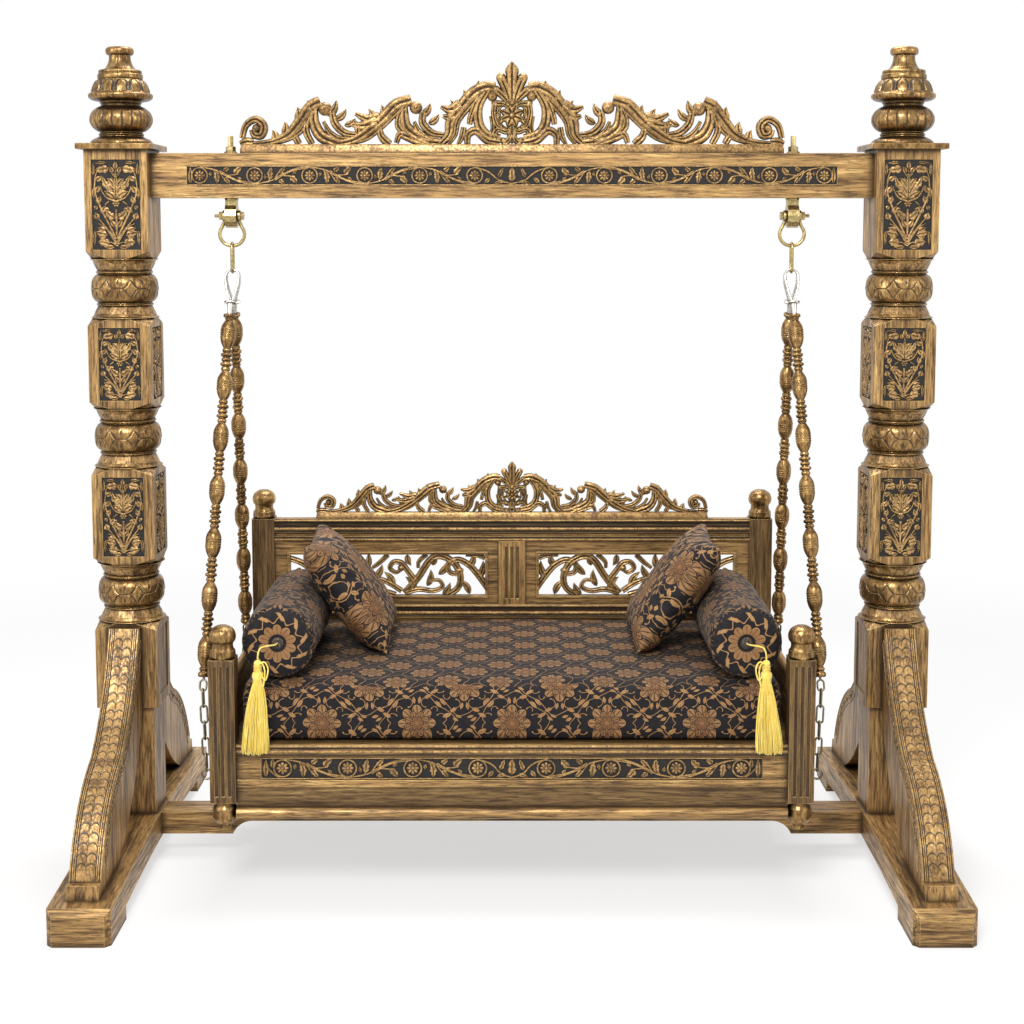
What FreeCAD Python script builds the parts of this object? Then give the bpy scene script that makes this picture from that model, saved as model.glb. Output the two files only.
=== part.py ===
import FreeCAD, Part
import math
import os

# A jhoola: a swing seat hung on turned rods from a carved two-post stand.
# Millimetres. X runs along the crossbeam, Y from the front to the back, Z up.
# The origin is on the floor, at the centre of the stand.

# Driving sizes
SIZES = {
    # stand: posts
    "post_axis": 1010,
    "block_half": 80.5,
    "shaft_half": 66,
    "post_top": 1866,
    "block_one": 281,
    "block_two": 240,
    "block_three": 260,
    "block_four": 229,
    "turned_length": 148,
    "shoulder_drop": 22,
    "bulb_radius": 83,
    "bulb_foot_radius": 65,
    "bulb_length": 74,
    "collar_radius": 79,
    "collar_length": 9,
    "blank_clearance": 8,
    "panel_depth": 3,
    "panel_margin": 15,
    "panel_one_half": 62,
    "panel_half": 54,
    # stand: feet, braces and stretcher
    "foot_half": 75.5,
    "foot_reach": 641,
    "foot_end_height": 88,
    "foot_mid_height": 120,
    "foot_seat": 100,
    "foot_pad": 168,
    "foot_relief": 34,
    "foot_arch": 18,
    "foot_chamfer": 14,
    "brace_half": 39,
    "brace_top": 628,
    "brace_top_thickness": 22,
    "brace_knee_reach": 330,
    "brace_knee_height": 352,
    "brace_knee_sagitta": 26,
    "brace_flare_reach": 560,
    "brace_flare_sagitta": 38,
    "brace_toe_reach": 590,
    "brace_toe_height": 36,
    "brace_toe_step": 5,
    "brace_heel_reach": 400,
    "brace_heel_height": 425,
    "brace_arch_sagitta": 48,
    "stretcher_half": 44,
    "stretcher_top": 118,
    "stretcher_height": 60,
    "stretcher_middle_height": 25,
    "stretcher_haunch": 190,
    "stretcher_curve": 50,
    "stretcher_curve_sagitta": 9,
    # stand: caps and finials
    "cap_half": 97.5,
    "cap_height": 15,
    "cap_chamfer": 5,
    "finial_height": 249,
    "finial_base_radius": 79,
    "finial_base_height": 20,
    "finial_ring_radius": 57,
    "finial_ring_height": 10,
    "finial_bulb_foot": 64,
    "finial_bulb_height": 66,
    "finial_bulb_swell": 15.5,
    "finial_neck_radius": 55,
    "finial_neck_height": 14,
    "finial_disc_radius": 79.5,
    "finial_disc_height": 22,
    "finial_cone_radius": 71,
    "finial_cone_height": 30,
    "finial_collar_height": 23,
    "finial_stem_radius": 27,
    "finial_stem_height": 23,
    "finial_rim_radius": 34.5,
    "finial_rim_height": 18,
    # stand: crossbeam and its crest
    "beam_half": 37,
    "beam_drop": 8,
    "beam_height": 114,
    "frieze_half": 836,
    "frieze_margin": 34,
    "stud_clearance": 0.4,
    "crest_half": 703,
    "crest_base_height": 24,
    "crest_base_half": 14,
    "crest_board_half": 11,
    "crest_rise": 211,
    # hanging gear
    "hanger_x": 728,
    "pivot_drop": 46,
    "stud_radius": 7,
    "stud_above": 45,
    "nut_radius": 13,
    "nut_height": 13,
    "washer_radius": 17,
    "washer_height": 5,
    "flange_radius": 18,
    "flange_height": 5,
    "eye_radius": 31,
    "eye_half": 14.5,
    "eye_neck_half": 15,
    "pin_radius": 8,
    "pin_clearance": 0.06,
    "pin_head_radius": 12,
    "pin_head_height": 8,
    "pin_nut_height": 9,
    "pin_tail": 12,
    "pin_tail_radius": 5,
    "ear_clearance": 0.8,
    "ear_thickness": 8,
    "ear_radius": 13,
    "bow_wire": 4,
    "bow_half": 29,
    "bow_drop": 76,
    "bow_widest_drop": 48,
    "link_wire": 4,
    "link_half": 13,
    "link_length": 76,
    "contact_gap": 0.3,
    "wire_radius": 2.6,
    "teardrop_half": 16,
    "teardrop_side": 2.6,
    "wire_collar_radius": 11,
    "wire_collar_height": 8,
    "rod_stub_length": 26,
    "rod_stub_radius": 4.5,
    # turned rods
    "rod_front_x": 768,
    "rod_rear_x": 756,
    "rod_reach": 300,
    "rod_bottom": 553,
    "rod_hang": 118.7,
    "rod_first": 52,
    "rod_last": 64,
    "barrel_radius": 20,
    "barrel_length": 74,
    "barrel_belly": 22,
    "bead_radius": 14.5,
    "rod_neck_radius": 8.5,
    # chains at the seat
    "chain_wire": 3.2,
    "chain_half": 8,
    "chain_hook_length": 34,
    "chain_hook_loop": 27,
    "chain_link_length": 48,
    "chain_screw_radius": 4,
    "chain_ring_half": 12,
    "screw_height": 312,
    # seat frame
    "seat_post_half": 31.7,
    "seat_post_x": 709,
    "seat_front": 395,
    "seat_rear": 335,
    "seat_foot_height": 187,
    "seat_square_bottom": 261,
    "front_square_top": 619,
    "rear_square_top": 843,
    "flute_width": 9,
    "flute_depth": 4,
    "flute_pitch": 16,
    "knob_ring_radius": 30,
    "knob_ring_height": 20,
    "knob_neck_radius": 25,
    "knob_neck_height": 18,
    "knob_radius": 32,
    "knob_height": 42,
    "ball_neck_radius": 24,
    "ball_neck_height": 8,
    "ball_radius": 31,
    "ball_height": 48,
    "tip_radius": 14,
    "apron_bottom": 248,
    "apron_top": 406,
    "apron_setback": 10,
    "apron_thickness": 32,
    "apron_rail_height": 33,
    "apron_frieze_height": 56,
    "apron_bead_height": 18,
    "apron_frieze_half": 617,
    "moulding_step": 5,
    "bottom_rail_height": 28,
    "bottom_rail_half": 17,
    "bottom_rail_round": 11,
    "rear_apron_thickness": 30,
    "side_rail_thickness": 34,
    "side_rail_outer": 734,
    "deck_thickness": 18,
    "arm_thickness": 24,
    "arm_top": 548,
    "arm_bead": 11,
    # seat back
    "back_setback": 6,
    "back_thickness": 28,
    "back_rail_bottom": 779,
    "back_plain_height": 26,
    "back_moulding": 5,
    "back_panel_bottom": 597,
    "back_panel_thickness": 20,
    "back_lower_bottom": 530,
    "back_lower_moulding": 41,
    "stile_half": 38,
    "opening_bottom": 621,
    "opening_top": 740,
    "opening_inner": 77,
    "opening_outer": 633,
    "back_crest_half": 558,
    "back_crest_base_height": 18,
    "back_crest_rise": 145,
    "back_crest_base_half": 12,
    "back_crest_board_half": 9,
    # soft pieces
    "mattress_half": 671,
    "mattress_front": 366,
    "mattress_rear": 332,
    "mattress_side_height": 150,
    "mattress_crown": 10,
    "mattress_swell": 8,
    "bolster_x": 577,
    "bolster_radius": 92,
    "bolster_front": 350,
    "bolster_length": 500,
    "bolster_dish": 12,
    "bolster_round": 14,
    "button_radius": 19,
    "pillow_half": 181,
    "pillow_thickness": 118,
    "pillow_seam": 7,
    "pillow_draw": 13,
    "pillow_x": 429,
    "pillow_y": 30,
    "pillow_height": 760,
    "pillow_lean": 53,
    "tassel_x": 617,
    "tassel_y": 407,
    "tassel_top": 624,
    "tassel_head_radius": 15,
    "tassel_head_height": 52,
    "tassel_neck_radius": 11,
    "tassel_skirt_bottom": 390,
    "tassel_skirt_radius": 19,
    "tassel_skirt_half": 33,
    "tassel_lean": 10,
    "cord_radius": 2,
}

# Shares of the crest's half length and of its rise, from the centre outwards.
# A band follows the arc through three places and has a width at each end.
CREST_BAND_SHARES = (
    # palmette: side petals
    (0.000, 0.50, 0.030, 0.66, 0.083, 0.76, 0.045, 0.020),
    (0.000, 0.50, 0.014, 0.74, 0.052, 0.93, 0.045, 0.022),
    # ring round the rosette
    (0.060, 0.60, 0.083, 0.42, 0.048, 0.16, 0.028, 0.034),
    # central wave: outer rib, inner rib and foot scroll
    (0.096, 0.68, 0.180, 0.70, 0.255, 0.12, 0.050, 0.044),
    (0.100, 0.66, 0.160, 0.46, 0.150, 0.10, 0.040, 0.036),
    (0.040, 0.06, 0.115, 0.19, 0.165, 0.02, 0.040, 0.040),
    (0.205, 0.46, 0.235, 0.45, 0.262, 0.54, 0.032, 0.014),
    # second wave: stem, outer rib and two inner ribs
    (0.240, 0.10, 0.300, 0.12, 0.352, 0.48, 0.040, 0.046),
    (0.352, 0.54, 0.430, 0.47, 0.520, 0.12, 0.050, 0.046),
    (0.368, 0.50, 0.400, 0.30, 0.330, 0.07, 0.036, 0.036),
    (0.420, 0.42, 0.425, 0.22, 0.452, 0.00, 0.046, 0.030),
    # third wave: leaf tip, stem, outer rib and inner rib
    (0.510, 0.14, 0.550, 0.24, 0.576, 0.40, 0.046, 0.012),
    (0.500, 0.10, 0.600, 0.08, 0.664, 0.44, 0.042, 0.046),
    (0.664, 0.50, 0.740, 0.42, 0.830, 0.06, 0.048, 0.046),
    (0.676, 0.46, 0.720, 0.26, 0.640, 0.05, 0.034, 0.036),
    # end stem and curl
    (0.780, 0.06, 0.860, 0.02, 0.935, 0.10, 0.046, 0.050),
    (0.925, 0.02, 0.972, 0.18, 0.930, 0.32, 0.044, 0.030),
)
# Balls on the crest: place and radius, in the same shares of length and rise
CREST_BALL_SHARES = (
    (0.086, 0.63, 0.028),
    (0.352, 0.51, 0.032),
    (0.664, 0.47, 0.032),
    (0.920, 0.20, 0.020),
)
# The crest's centre: top petal and rosette
PETAL_TIP_SHARE = 1.0
PETAL_FOOT_SHARE = 0.40
PETAL_HALF_SHARE = 0.075
ROSETTE_PLACE_SHARE = 0.36
ROSETTE_RADIUS_SHARE = 0.17
PENDANT_HALF_SHARE = 0.020

# Scrolls in the back's openings, in shares of the opening's width and height,
# from its inner lower corner. Widths are shares of the height.
PANEL_BAND_SHARES = (
    (-0.02, 0.10, 0.045, 0.66, 0.150, 0.84, 0.17, 0.12),
    (0.150, 0.84, 0.215, 0.56, 0.135, 0.42, 0.14, 0.13),
    (0.180, 0.00, 0.260, 0.70, 0.360, 0.90, 0.16, 0.13),
    (0.360, 0.90, 0.460, 0.70, 0.385, 0.42, 0.14, 0.14),
    (0.420, 0.98, 0.480, 0.82, 0.540, 0.98, 0.13, 0.13),
    (0.300, 0.02, 0.420, 0.22, 0.560, 0.06, 0.13, 0.15),
    (0.530, 0.00, 0.600, 0.66, 0.690, 0.90, 0.16, 0.13),
    (0.690, 0.90, 0.800, 0.66, 0.715, 0.42, 0.14, 0.14),
    (0.640, 0.02, 0.760, 0.20, 0.870, 0.06, 0.13, 0.15),
    (0.850, 0.00, 0.890, 0.66, 1.020, 0.90, 0.16, 0.14),
)
PANEL_BALL_SHARES = (
    (0.125, 0.50, 0.13),
    (0.372, 0.50, 0.13),
    (0.702, 0.50, 0.13),
)

# A post's bulb: how far it has swollen at its first step, and where its belly starts
BULB_RISE_SHARE = 0.66
BULB_STEP_SHARE = 0.16
BULB_BELLY_SHARE = 0.38
# A finial's bulb, alike
FINIAL_RISE_SHARE = 0.70
FINIAL_STEP_SHARE = 0.20
# A seat post's knob, in thirds of its height
KNOB_BELLY_SHARE = 1.6
KNOB_SHOULDER_SHARE = 2.5

# The middle of a bolster's rounded edge
BOLSTER_ROUND_SHARE = 0.3
# How wide a tassel's skirt is where its flare ends
TASSEL_FLARE_SHARE = 0.74
# Share of a cord's shorter run that each bend takes up.
CORD_BEND_SHARE = 0.45

# Corners of the right tassel's cord: straight out of the button, round, over the tassel.
CORD_ROUTE = (
    (577, -364, 650.7),
    (597, -388, 654),
    (617, -407, 652),
)

# Counts: flat sides of a wire, steps of a half bend, and facets round the carved turnings
WIRE_SIDES = 4
NUT_SIDES = 6
BEND_STEPS = 3
BOW_STEPS = 5
EYE_FACETS = 12
RING_SIDES = 8
WIRE_FLAT_SHARE = math.cos(math.pi / WIRE_SIDES)
RING_FLAT_SHARE = math.cos(math.pi / RING_SIDES)
POST_FACETS = 12
FINIAL_FACETS = 12
KNOB_FACETS = 8
KNOB_FLAT_SHARE = math.cos(math.pi / KNOB_FACETS)
ROD_FACETS = 6
TASSEL_FACETS = 12
BOLSTER_FACETS = 20
DISC_FACETS = 8
BAND_STEPS = 3
SETTLE_STEPS = 12
BARRELS = 7
FLUTES = 3

document = FreeCAD.newDocument("Jhoola")
sheet = document.addObject("Spreadsheet::Sheet", "Sizes")
for row, (alias, number) in enumerate(SIZES.items(), 1):
    sheet.set(f"A{row}", alias)
    sheet.set(f"B{row}", str(number))
    sheet.setAlias(f"B{row}", alias)
document.recompute()


class Size:
    """A size from the sheet, or one worked out from such sizes, with its expression."""

    def __init__(self, value, text):
        self.value = value
        self.text = text

    def __float__(self):
        return float(self.value)

    def joined(self, other, sign, result):
        return Size(result, f"({self.text} {sign} {text_of(other)})")

    def __add__(self, other):
        return self.joined(other, "+", self.value + float(other))

    def __sub__(self, other):
        return self.joined(other, "-", self.value - float(other))

    def __mul__(self, other):
        return self.joined(other, "*", self.value * float(other))

    def __truediv__(self, other):
        return self.joined(other, "/", self.value / float(other))

    def __neg__(self):
        return Size(-self.value, f"(0 - {self.text})")


def text_of(size):
    return size.text if isinstance(size, Size) else repr(float(size))


def named(alias):
    return Size(float(sheet.get(alias)), f"Sizes.{alias}")


S = type("Named", (), {alias: named(alias) for alias in SIZES})
ZERO = Size(0.0, "0")
# The crossbeam hangs from the posts' tops, and the pivots from the crossbeam
BEAM_LOW = S.post_top - S.beam_drop - S.beam_height
PIVOT_HEIGHT = BEAM_LOW - S.pivot_drop

# Outer form of the object's pieces, node by node
pieces = []


def bind(thing, path, size):
    thing.setExpression(path, text_of(size))


def start_body(label, x=ZERO, y=ZERO, z=ZERO, turn=0):
    body = document.addObject("PartDesign::Body", label)
    body.Label = label
    body.Placement = FreeCAD.Placement(
        FreeCAD.Vector(float(x), float(y), float(z)),
        FreeCAD.Rotation(FreeCAD.Vector(0, 0, 1), turn),
    )
    bind(body, "Placement.Base.x", x)
    bind(body, "Placement.Base.y", y)
    bind(body, "Placement.Base.z", z)
    pieces.append(body)
    return body


def start_sketch(body, role, offset=ZERO):
    planes = [item for item in body.Origin.OriginFeatures if item.Role == role]
    sketch = body.newObject("Sketcher::SketchObject", f"{body.Name}_outline")
    sketch.AttachmentSupport = [(planes[0], "")]
    sketch.MapMode = "FlatFace"
    sketch.AttachmentOffset = FreeCAD.Placement(
        FreeCAD.Vector(0, 0, float(offset)), FreeCAD.Rotation()
    )
    bind(sketch, "AttachmentOffset.Base.z", offset)
    return sketch


def arc_parts(start, end, sagitta):
    """Centre, radius and angles of the arc that bulges to the right of its chord."""
    chord = end - start
    length = chord.Length
    radius = (length * length / 4 + sagitta * sagitta) / (2 * abs(sagitta))
    left = FreeCAD.Vector(-chord.y, chord.x, 0) / length
    side = 1 if sagitta > 0 else -1
    centre = (start + end) / 2 + left * (side * (radius - abs(sagitta)))
    first = math.atan2(start.y - centre.y, start.x - centre.x)
    last = math.atan2(end.y - centre.y, end.x - centre.x)
    return centre, radius, first, last


def add_outline(sketch, points):
    """A closed outline. A point is (u, v) or (u, v, sagitta of the arc to the next)."""
    import Sketcher

    base = sketch.GeometryCount
    places = [FreeCAD.Vector(float(p[0]), float(p[1]), 0) for p in points]
    geometry = []
    ends = []
    for k, point in enumerate(points):
        start, end = places[k], places[(k + 1) % len(points)]
        if len(point) == 3:
            centre, radius, first, last = arc_parts(start, end, float(point[2]))
            forward = float(point[2]) > 0
            circle = Part.Circle(centre, FreeCAD.Vector(0, 0, 1), radius)
            angles = (first, last) if forward else (last, first)
            geometry.append(Part.ArcOfCircle(circle, *angles))
            ends.append((1, 2) if forward else (2, 1))
        else:
            geometry.append(Part.LineSegment(start, end))
            ends.append((1, 2))
    sketch.addGeometry(geometry, False)
    rules = []
    bound = []
    for k, point in enumerate(points):
        after = (k + 1) % len(points)
        here = base + k
        rules.append(Sketcher.Constraint("Coincident", here, ends[k][1], base + after, ends[after][0]))
        for kind, size in (("DistanceX", point[0]), ("DistanceY", point[1])):
            bound.append((len(rules), size))
            rules.append(Sketcher.Constraint(kind, -1, 1, here, ends[k][0], float(size)))
        if len(point) == 3:
            other = points[after]
            wide = other[0] - point[0]
            high = other[1] - point[1]
            rise = point[2] if float(point[2]) > 0 else -point[2]
            radius = (wide * wide + high * high) / (rise * 8) + rise / 2
            bound.append((len(rules), radius))
            rules.append(Sketcher.Constraint("Radius", here, float(radius)))
    offset = sketch.ConstraintCount
    sketch.addConstraint(rules)
    for index, size in bound:
        bind(sketch, f"Constraints[{offset + index}]", size)


def add_circle(sketch, u, v, radius):
    import Sketcher

    here = sketch.GeometryCount
    centre = FreeCAD.Vector(float(u), float(v), 0)
    sketch.addGeometry(Part.Circle(centre, FreeCAD.Vector(0, 0, 1), float(radius)), False)
    offset = sketch.ConstraintCount
    rules = [
        Sketcher.Constraint("DistanceX", -1, 1, here, 3, float(u)),
        Sketcher.Constraint("DistanceY", -1, 1, here, 3, float(v)),
        Sketcher.Constraint("Radius", here, float(radius)),
    ]
    sketch.addConstraint(rules)
    for index, size in enumerate((u, v, radius)):
        bind(sketch, f"Constraints[{offset + index}]", size)


def box_outline(u_low, v_low, u_high, v_high):
    return [(u_low, v_low), (u_high, v_low), (u_high, v_high), (u_low, v_high)]


def pad(body, sketch, length, centred=False):
    feature = body.newObject("PartDesign::Pad", f"{body.Name}_pad")
    feature.Profile = sketch
    if centred:
        feature.SideType = "Symmetric"
    feature.Length = float(length)
    bind(feature, "Length", length)
    return feature


def pocket(body, sketch, length, backwards=False, centred=False):
    feature = body.newObject("PartDesign::Pocket", f"{body.Name}_pocket")
    feature.Profile = sketch
    feature.Reversed = backwards
    if centred:
        feature.SideType = "Symmetric"
    feature.Length = float(length)
    bind(feature, "Length", length)
    return feature


def edge_names(feature, wanted):
    return [f"Edge{k}" for k, edge in enumerate(feature.Shape.Edges, 1) if wanted(edge)]


def chamfer(body, feature, wanted, size):
    document.recompute()
    cut = body.newObject("PartDesign::Chamfer", f"{body.Name}_chamfer")
    cut.Base = (feature, edge_names(feature, wanted))
    cut.Size = float(size)
    bind(cut, "Size", size)
    return cut


def group_pieces(label, members):
    """Two like bodies as separate solids of one piece."""
    for member in members:
        pieces.remove(member)
    group = document.addObject("Part::Compound", label)
    group.Label = label
    group.Links = members
    pieces.append(group)


def solid_piece(label, shape):
    feature = document.addObject("Part::Feature", label)
    feature.Label = label
    feature.Shape = shape
    pieces.append(feature)
    return feature


def vector(x, y, z):
    return FreeCAD.Vector(float(x), float(y), float(z))


def facet_turning(profile, facets, origin, along=None, across=None, depth=None):
    """A turning finished in flat facets. The profile has (radius, height) from one end."""
    along = along or FreeCAD.Vector(0, 0, 1)
    across = across or FreeCAD.Vector(1, 0, 0)
    depth = depth or along.cross(across)
    rings = []
    for radius, height in profile:
        centre = origin + along * float(height)
        ring = []
        for k in range(facets):
            angle = 2 * math.pi * (k + 0.5) / facets
            spoke = across * math.cos(angle) + depth * math.sin(angle)
            ring.append(centre + spoke * float(radius))
        rings.append(ring)
    outlines = [rings[0], rings[-1]]
    for low, high in zip(rings, rings[1:]):
        for k in range(facets):
            after = (k + 1) % facets
            outlines.append([low[k], low[after], high[after], high[k]])
    faces = [Part.Face(Part.makePolygon(outline + outline[:1])) for outline in outlines]
    shell = Part.makeShell(faces)
    shell.sewShape()
    solid = Part.makeSolid(shell)
    if solid.Volume < 0:
        solid.reverse()
    return solid.removeSplitter()


def joined_piece(label, body, turnings, operation="Part::MultiFuse"):
    """One piece from a squared body and turnings: fused to it, or the part that they share."""
    pieces.remove(body)
    body.Label = f"{label}_squared"
    shapes = [body]
    for number, (turning, x, y, z) in enumerate(turnings):
        part = document.addObject("Part::Feature", f"{label}_turning_{number}")
        part.Shape = turning
        part.Placement = FreeCAD.Placement(vector(x, y, z), FreeCAD.Rotation())
        bind(part, "Placement.Base.x", x)
        bind(part, "Placement.Base.y", y)
        bind(part, "Placement.Base.z", z)
        shapes.append(part)
    whole = document.addObject(operation, label)
    whole.Label = label
    whole.Shapes = shapes
    whole.Refine = True
    pieces.append(whole)


# Stand

def make_foot_beam(label, side):
    """A sledge foot: flat pads, an arched underside and a top that rises to the post."""
    body = start_body(label, x=S.post_axis * side)
    sketch = start_sketch(body, "YZ_Plane")
    pad_end = S.foot_reach - S.foot_pad
    add_outline(sketch, [
        (-S.foot_reach, ZERO),
        (-pad_end, ZERO),
        (-pad_end, S.foot_relief, -S.foot_arch),
        (pad_end, S.foot_relief),
        (pad_end, ZERO),
        (S.foot_reach, ZERO),
        (S.foot_reach, S.foot_end_height),
        (S.foot_seat, S.foot_mid_height),
        (-S.foot_seat, S.foot_mid_height),
        (-S.foot_reach, S.foot_end_height),
    ])
    beam = pad(body, sketch, S.foot_half * 2, centred=True)
    reach = float(S.foot_reach)
    pad_top = float(S.foot_end_height)

    def at_end(edge):
        box = edge.BoundBox
        outside = min(abs(box.YMin), abs(box.YMax)) > reach - float(S.contact_gap)
        return outside and box.ZMax > pad_top - float(S.contact_gap)

    chamfer(body, beam, at_end, S.foot_chamfer)


def block_levels():
    """Top and bottom of each squared block of the post, from the top down."""
    levels = []
    top = S.post_top
    for length in (S.block_one, S.block_two, S.block_three, S.block_four):
        levels.append((top, top - length))
        top = top - length - S.turned_length
    return levels


def turned_levels():
    levels = block_levels()
    return [(levels[k][1], levels[k + 1][0]) for k in range(len(levels) - 1)]


def post_profile():
    """The lathe's envelope: shoulders on the blocks, collars, coves and bulbs between them."""
    out = S.block_half * math.sqrt(2) + S.blank_clearance
    slope = S.shoulder_drop / (S.block_half * (math.sqrt(2) - 1))
    drop = (out - S.block_half) * slope
    foot = (S.turned_length - S.bulb_length) / 2
    swell = S.bulb_radius - S.bulb_foot_radius
    points = [(out, S.foot_mid_height - S.blank_clearance)]
    for top, bottom in reversed(turned_levels()):
        half = [
            (out, ZERO - drop),
            (S.block_half, ZERO),
            (S.collar_radius, ZERO),
            (S.collar_radius, S.collar_length),
            (S.bulb_foot_radius, foot),
            (S.bulb_foot_radius + swell * BULB_RISE_SHARE, foot + S.bulb_length * BULB_STEP_SHARE),
            (S.bulb_radius, foot + S.bulb_length * BULB_BELLY_SHARE),
        ]
        points += [(radius, bottom + height) for radius, height in half]
        points += [(radius, top - height) for radius, height in reversed(half)]
    points.append((out, S.post_top + S.blank_clearance))
    return points


def make_post(label, side):
    """A squared timber, panelled on its blocks, and turned between them."""
    body = start_body(label, x=S.post_axis * side)
    levels = block_levels()
    block_bottom = levels[-1][1]
    shaft = start_sketch(body, "XY_Plane", offset=S.foot_mid_height)
    add_outline(shaft, box_outline(-S.shaft_half, -S.shaft_half, S.shaft_half, S.shaft_half))
    pad(body, shaft, block_bottom - S.foot_mid_height)
    blank = start_sketch(body, "XY_Plane", offset=block_bottom)
    add_outline(blank, box_outline(-S.block_half, -S.block_half, S.block_half, S.block_half))
    pad(body, blank, S.post_top - block_bottom)
    carve_post(body, side, levels)
    envelope = facet_turning(post_profile(), POST_FACETS, FreeCAD.Vector())
    joined_piece(label, body, [(envelope, S.post_axis * side, ZERO, ZERO)], "Part::MultiCommon")


def panel_box(half, level):
    top, bottom = level
    margin = S.panel_margin + S.shoulder_drop / 2
    return box_outline(-half, bottom + margin, half, top - margin)


def carve_post(body, side, levels):
    """Shallow panel recesses on the blocks. The beam and the braces cover the others."""
    halves = (S.panel_one_half, S.panel_half, S.panel_half, S.panel_half)
    faces = (
        ("XZ_Plane", 1, (0, 1, 2)),
        ("XZ_Plane", -1, (0, 1, 2)),
        ("YZ_Plane", side, (0, 1, 2, 3)),
        ("YZ_Plane", -side, (1, 2, 3)),
    )
    for role, sign, blocks in faces:
        sketch = start_sketch(body, role, offset=S.block_half * sign)
        for k in blocks:
            add_outline(sketch, panel_box(halves[k], levels[k]))
        pocket(body, sketch, S.panel_depth, backwards=sign < 0)


def make_finial(label, side):
    """A square cap board and its turned finial."""
    body = start_body(label, x=S.post_axis * side, z=S.post_top)
    board = start_sketch(body, "XY_Plane")
    add_outline(board, box_outline(-S.cap_half, -S.cap_half, S.cap_half, S.cap_half))
    plate = pad(body, board, S.cap_height)

    def low(edge):
        return edge.BoundBox.ZMax < float(S.cap_height) / 2

    chamfer(body, plate, low, S.cap_chamfer)
    turned = facet_turning(finial_profile(), FINIAL_FACETS, FreeCAD.Vector())
    joined_piece(label, body, [(turned, S.post_axis * side, ZERO, S.post_top)])


def finial_profile():
    """Flared base, gadrooned bulb, disc, tongued cone, collar, stem and rim."""
    base = S.cap_height + S.finial_base_height
    ring = base + S.finial_ring_height
    bulb = ring + S.finial_bulb_height
    neck = bulb + S.finial_neck_height
    disc_top = neck + S.finial_disc_height
    cone = disc_top + S.finial_cone_height
    collar = cone + S.finial_collar_height
    top = S.cap_height + S.finial_height
    belly = S.finial_bulb_foot + S.finial_bulb_swell
    shoulder = S.finial_bulb_foot + S.finial_bulb_swell * FINIAL_RISE_SHARE
    step = S.finial_bulb_height * FINIAL_STEP_SHARE
    return [
        (S.finial_base_radius, S.cap_height / 2),
        (S.finial_base_radius, S.cap_height),
        (S.finial_ring_radius, base),
        (S.finial_ring_radius, ring),
        (S.finial_bulb_foot, ring),
        (shoulder, ring + step),
        (belly, ring + step * 2),
        (belly, bulb - step * 2),
        (shoulder, bulb - step),
        (S.finial_bulb_foot, bulb),
        (S.finial_neck_radius, bulb),
        (S.finial_neck_radius, neck),
        (S.finial_disc_radius, neck),
        (S.finial_disc_radius, disc_top),
        (S.finial_cone_radius, disc_top),
        (S.finial_ring_radius, cone),
        (S.finial_ring_radius, collar),
        (S.finial_stem_radius, collar + S.finial_stem_height),
        (S.finial_stem_radius, top - S.finial_rim_height),
        (S.finial_rim_radius, top - S.finial_rim_height),
        (S.finial_rim_radius, top),
    ]


def foot_top_at(reach):
    """Height of the foot beam's top at a distance from its middle."""
    run = S.foot_reach - S.foot_seat
    return S.foot_end_height + (S.foot_mid_height - S.foot_end_height) * (S.foot_reach - reach) / run


def make_brace(label, side, turn):
    """A curved brace from the lower block down to a toe on the foot beam."""
    body = start_body(label, x=S.post_axis * side, turn=turn)
    sketch = start_sketch(body, "YZ_Plane")
    face = S.block_half
    toe_top = foot_top_at(S.brace_toe_reach) + S.brace_toe_height
    add_outline(sketch, [
        (-face, S.brace_heel_height),
        (-face, S.brace_top),
        (-face - S.brace_top_thickness, S.brace_top, -S.brace_knee_sagitta),
        (-S.brace_knee_reach, S.brace_knee_height, S.brace_flare_sagitta),
        (-S.brace_flare_reach, toe_top),
        (-S.brace_toe_reach + S.brace_toe_step, toe_top),
        (-S.brace_toe_reach, foot_top_at(S.brace_toe_reach)),
        (-S.brace_heel_reach, foot_top_at(S.brace_heel_reach), S.brace_arch_sagitta),
    ])
    pad(body, sketch, S.brace_half * 2, centred=True)


def make_stretcher():
    """The tie between the foot beams: deep at its ends, relieved underneath between them."""
    body = start_body("stretcher")
    sketch = start_sketch(body, "XZ_Plane")
    end = S.post_axis - S.foot_half
    low = S.stretcher_top - S.stretcher_height
    high = S.stretcher_top - S.stretcher_middle_height
    haunch = end - S.stretcher_haunch
    inner = haunch - S.stretcher_curve
    add_outline(sketch, [
        (-end, low),
        (-haunch, low, -S.stretcher_curve_sagitta),
        (-inner, high),
        (inner, high, -S.stretcher_curve_sagitta),
        (haunch, low),
        (end, low),
        (end, S.stretcher_top),
        (-end, S.stretcher_top),
    ])
    pad(body, sketch, S.stretcher_half * 2, centred=True)


def make_crossbeam():
    body = start_body("crossbeam")
    sketch = start_sketch(body, "YZ_Plane")
    top = BEAM_LOW + S.beam_height
    add_outline(sketch, box_outline(-S.beam_half, BEAM_LOW, S.beam_half, top))
    pad(body, sketch, (S.post_axis - S.block_half) * 2, centred=True)
    for sign in (1, -1):
        frieze = start_sketch(body, "XZ_Plane", offset=S.beam_half * sign)
        low = BEAM_LOW + S.frieze_margin
        add_outline(frieze, box_outline(-S.frieze_half, low, S.frieze_half, top - S.frieze_margin))
        pocket(body, frieze, S.panel_depth, backwards=sign < 0)
    holes = start_sketch(body, "XY_Plane", offset=top)
    for sign in (1, -1):
        add_circle(holes, S.hanger_x * sign, ZERO, S.stud_radius + S.stud_clearance)
    pocket(body, holes, S.beam_height)


def many_sided(x, y, radius, sides):
    """Corners of a regular outline about a point."""
    corners = []
    for k in range(sides):
        angle = 2 * math.pi * k / sides
        corners.append((x + radius * math.cos(angle), y + radius * math.sin(angle)))
    return corners


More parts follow.
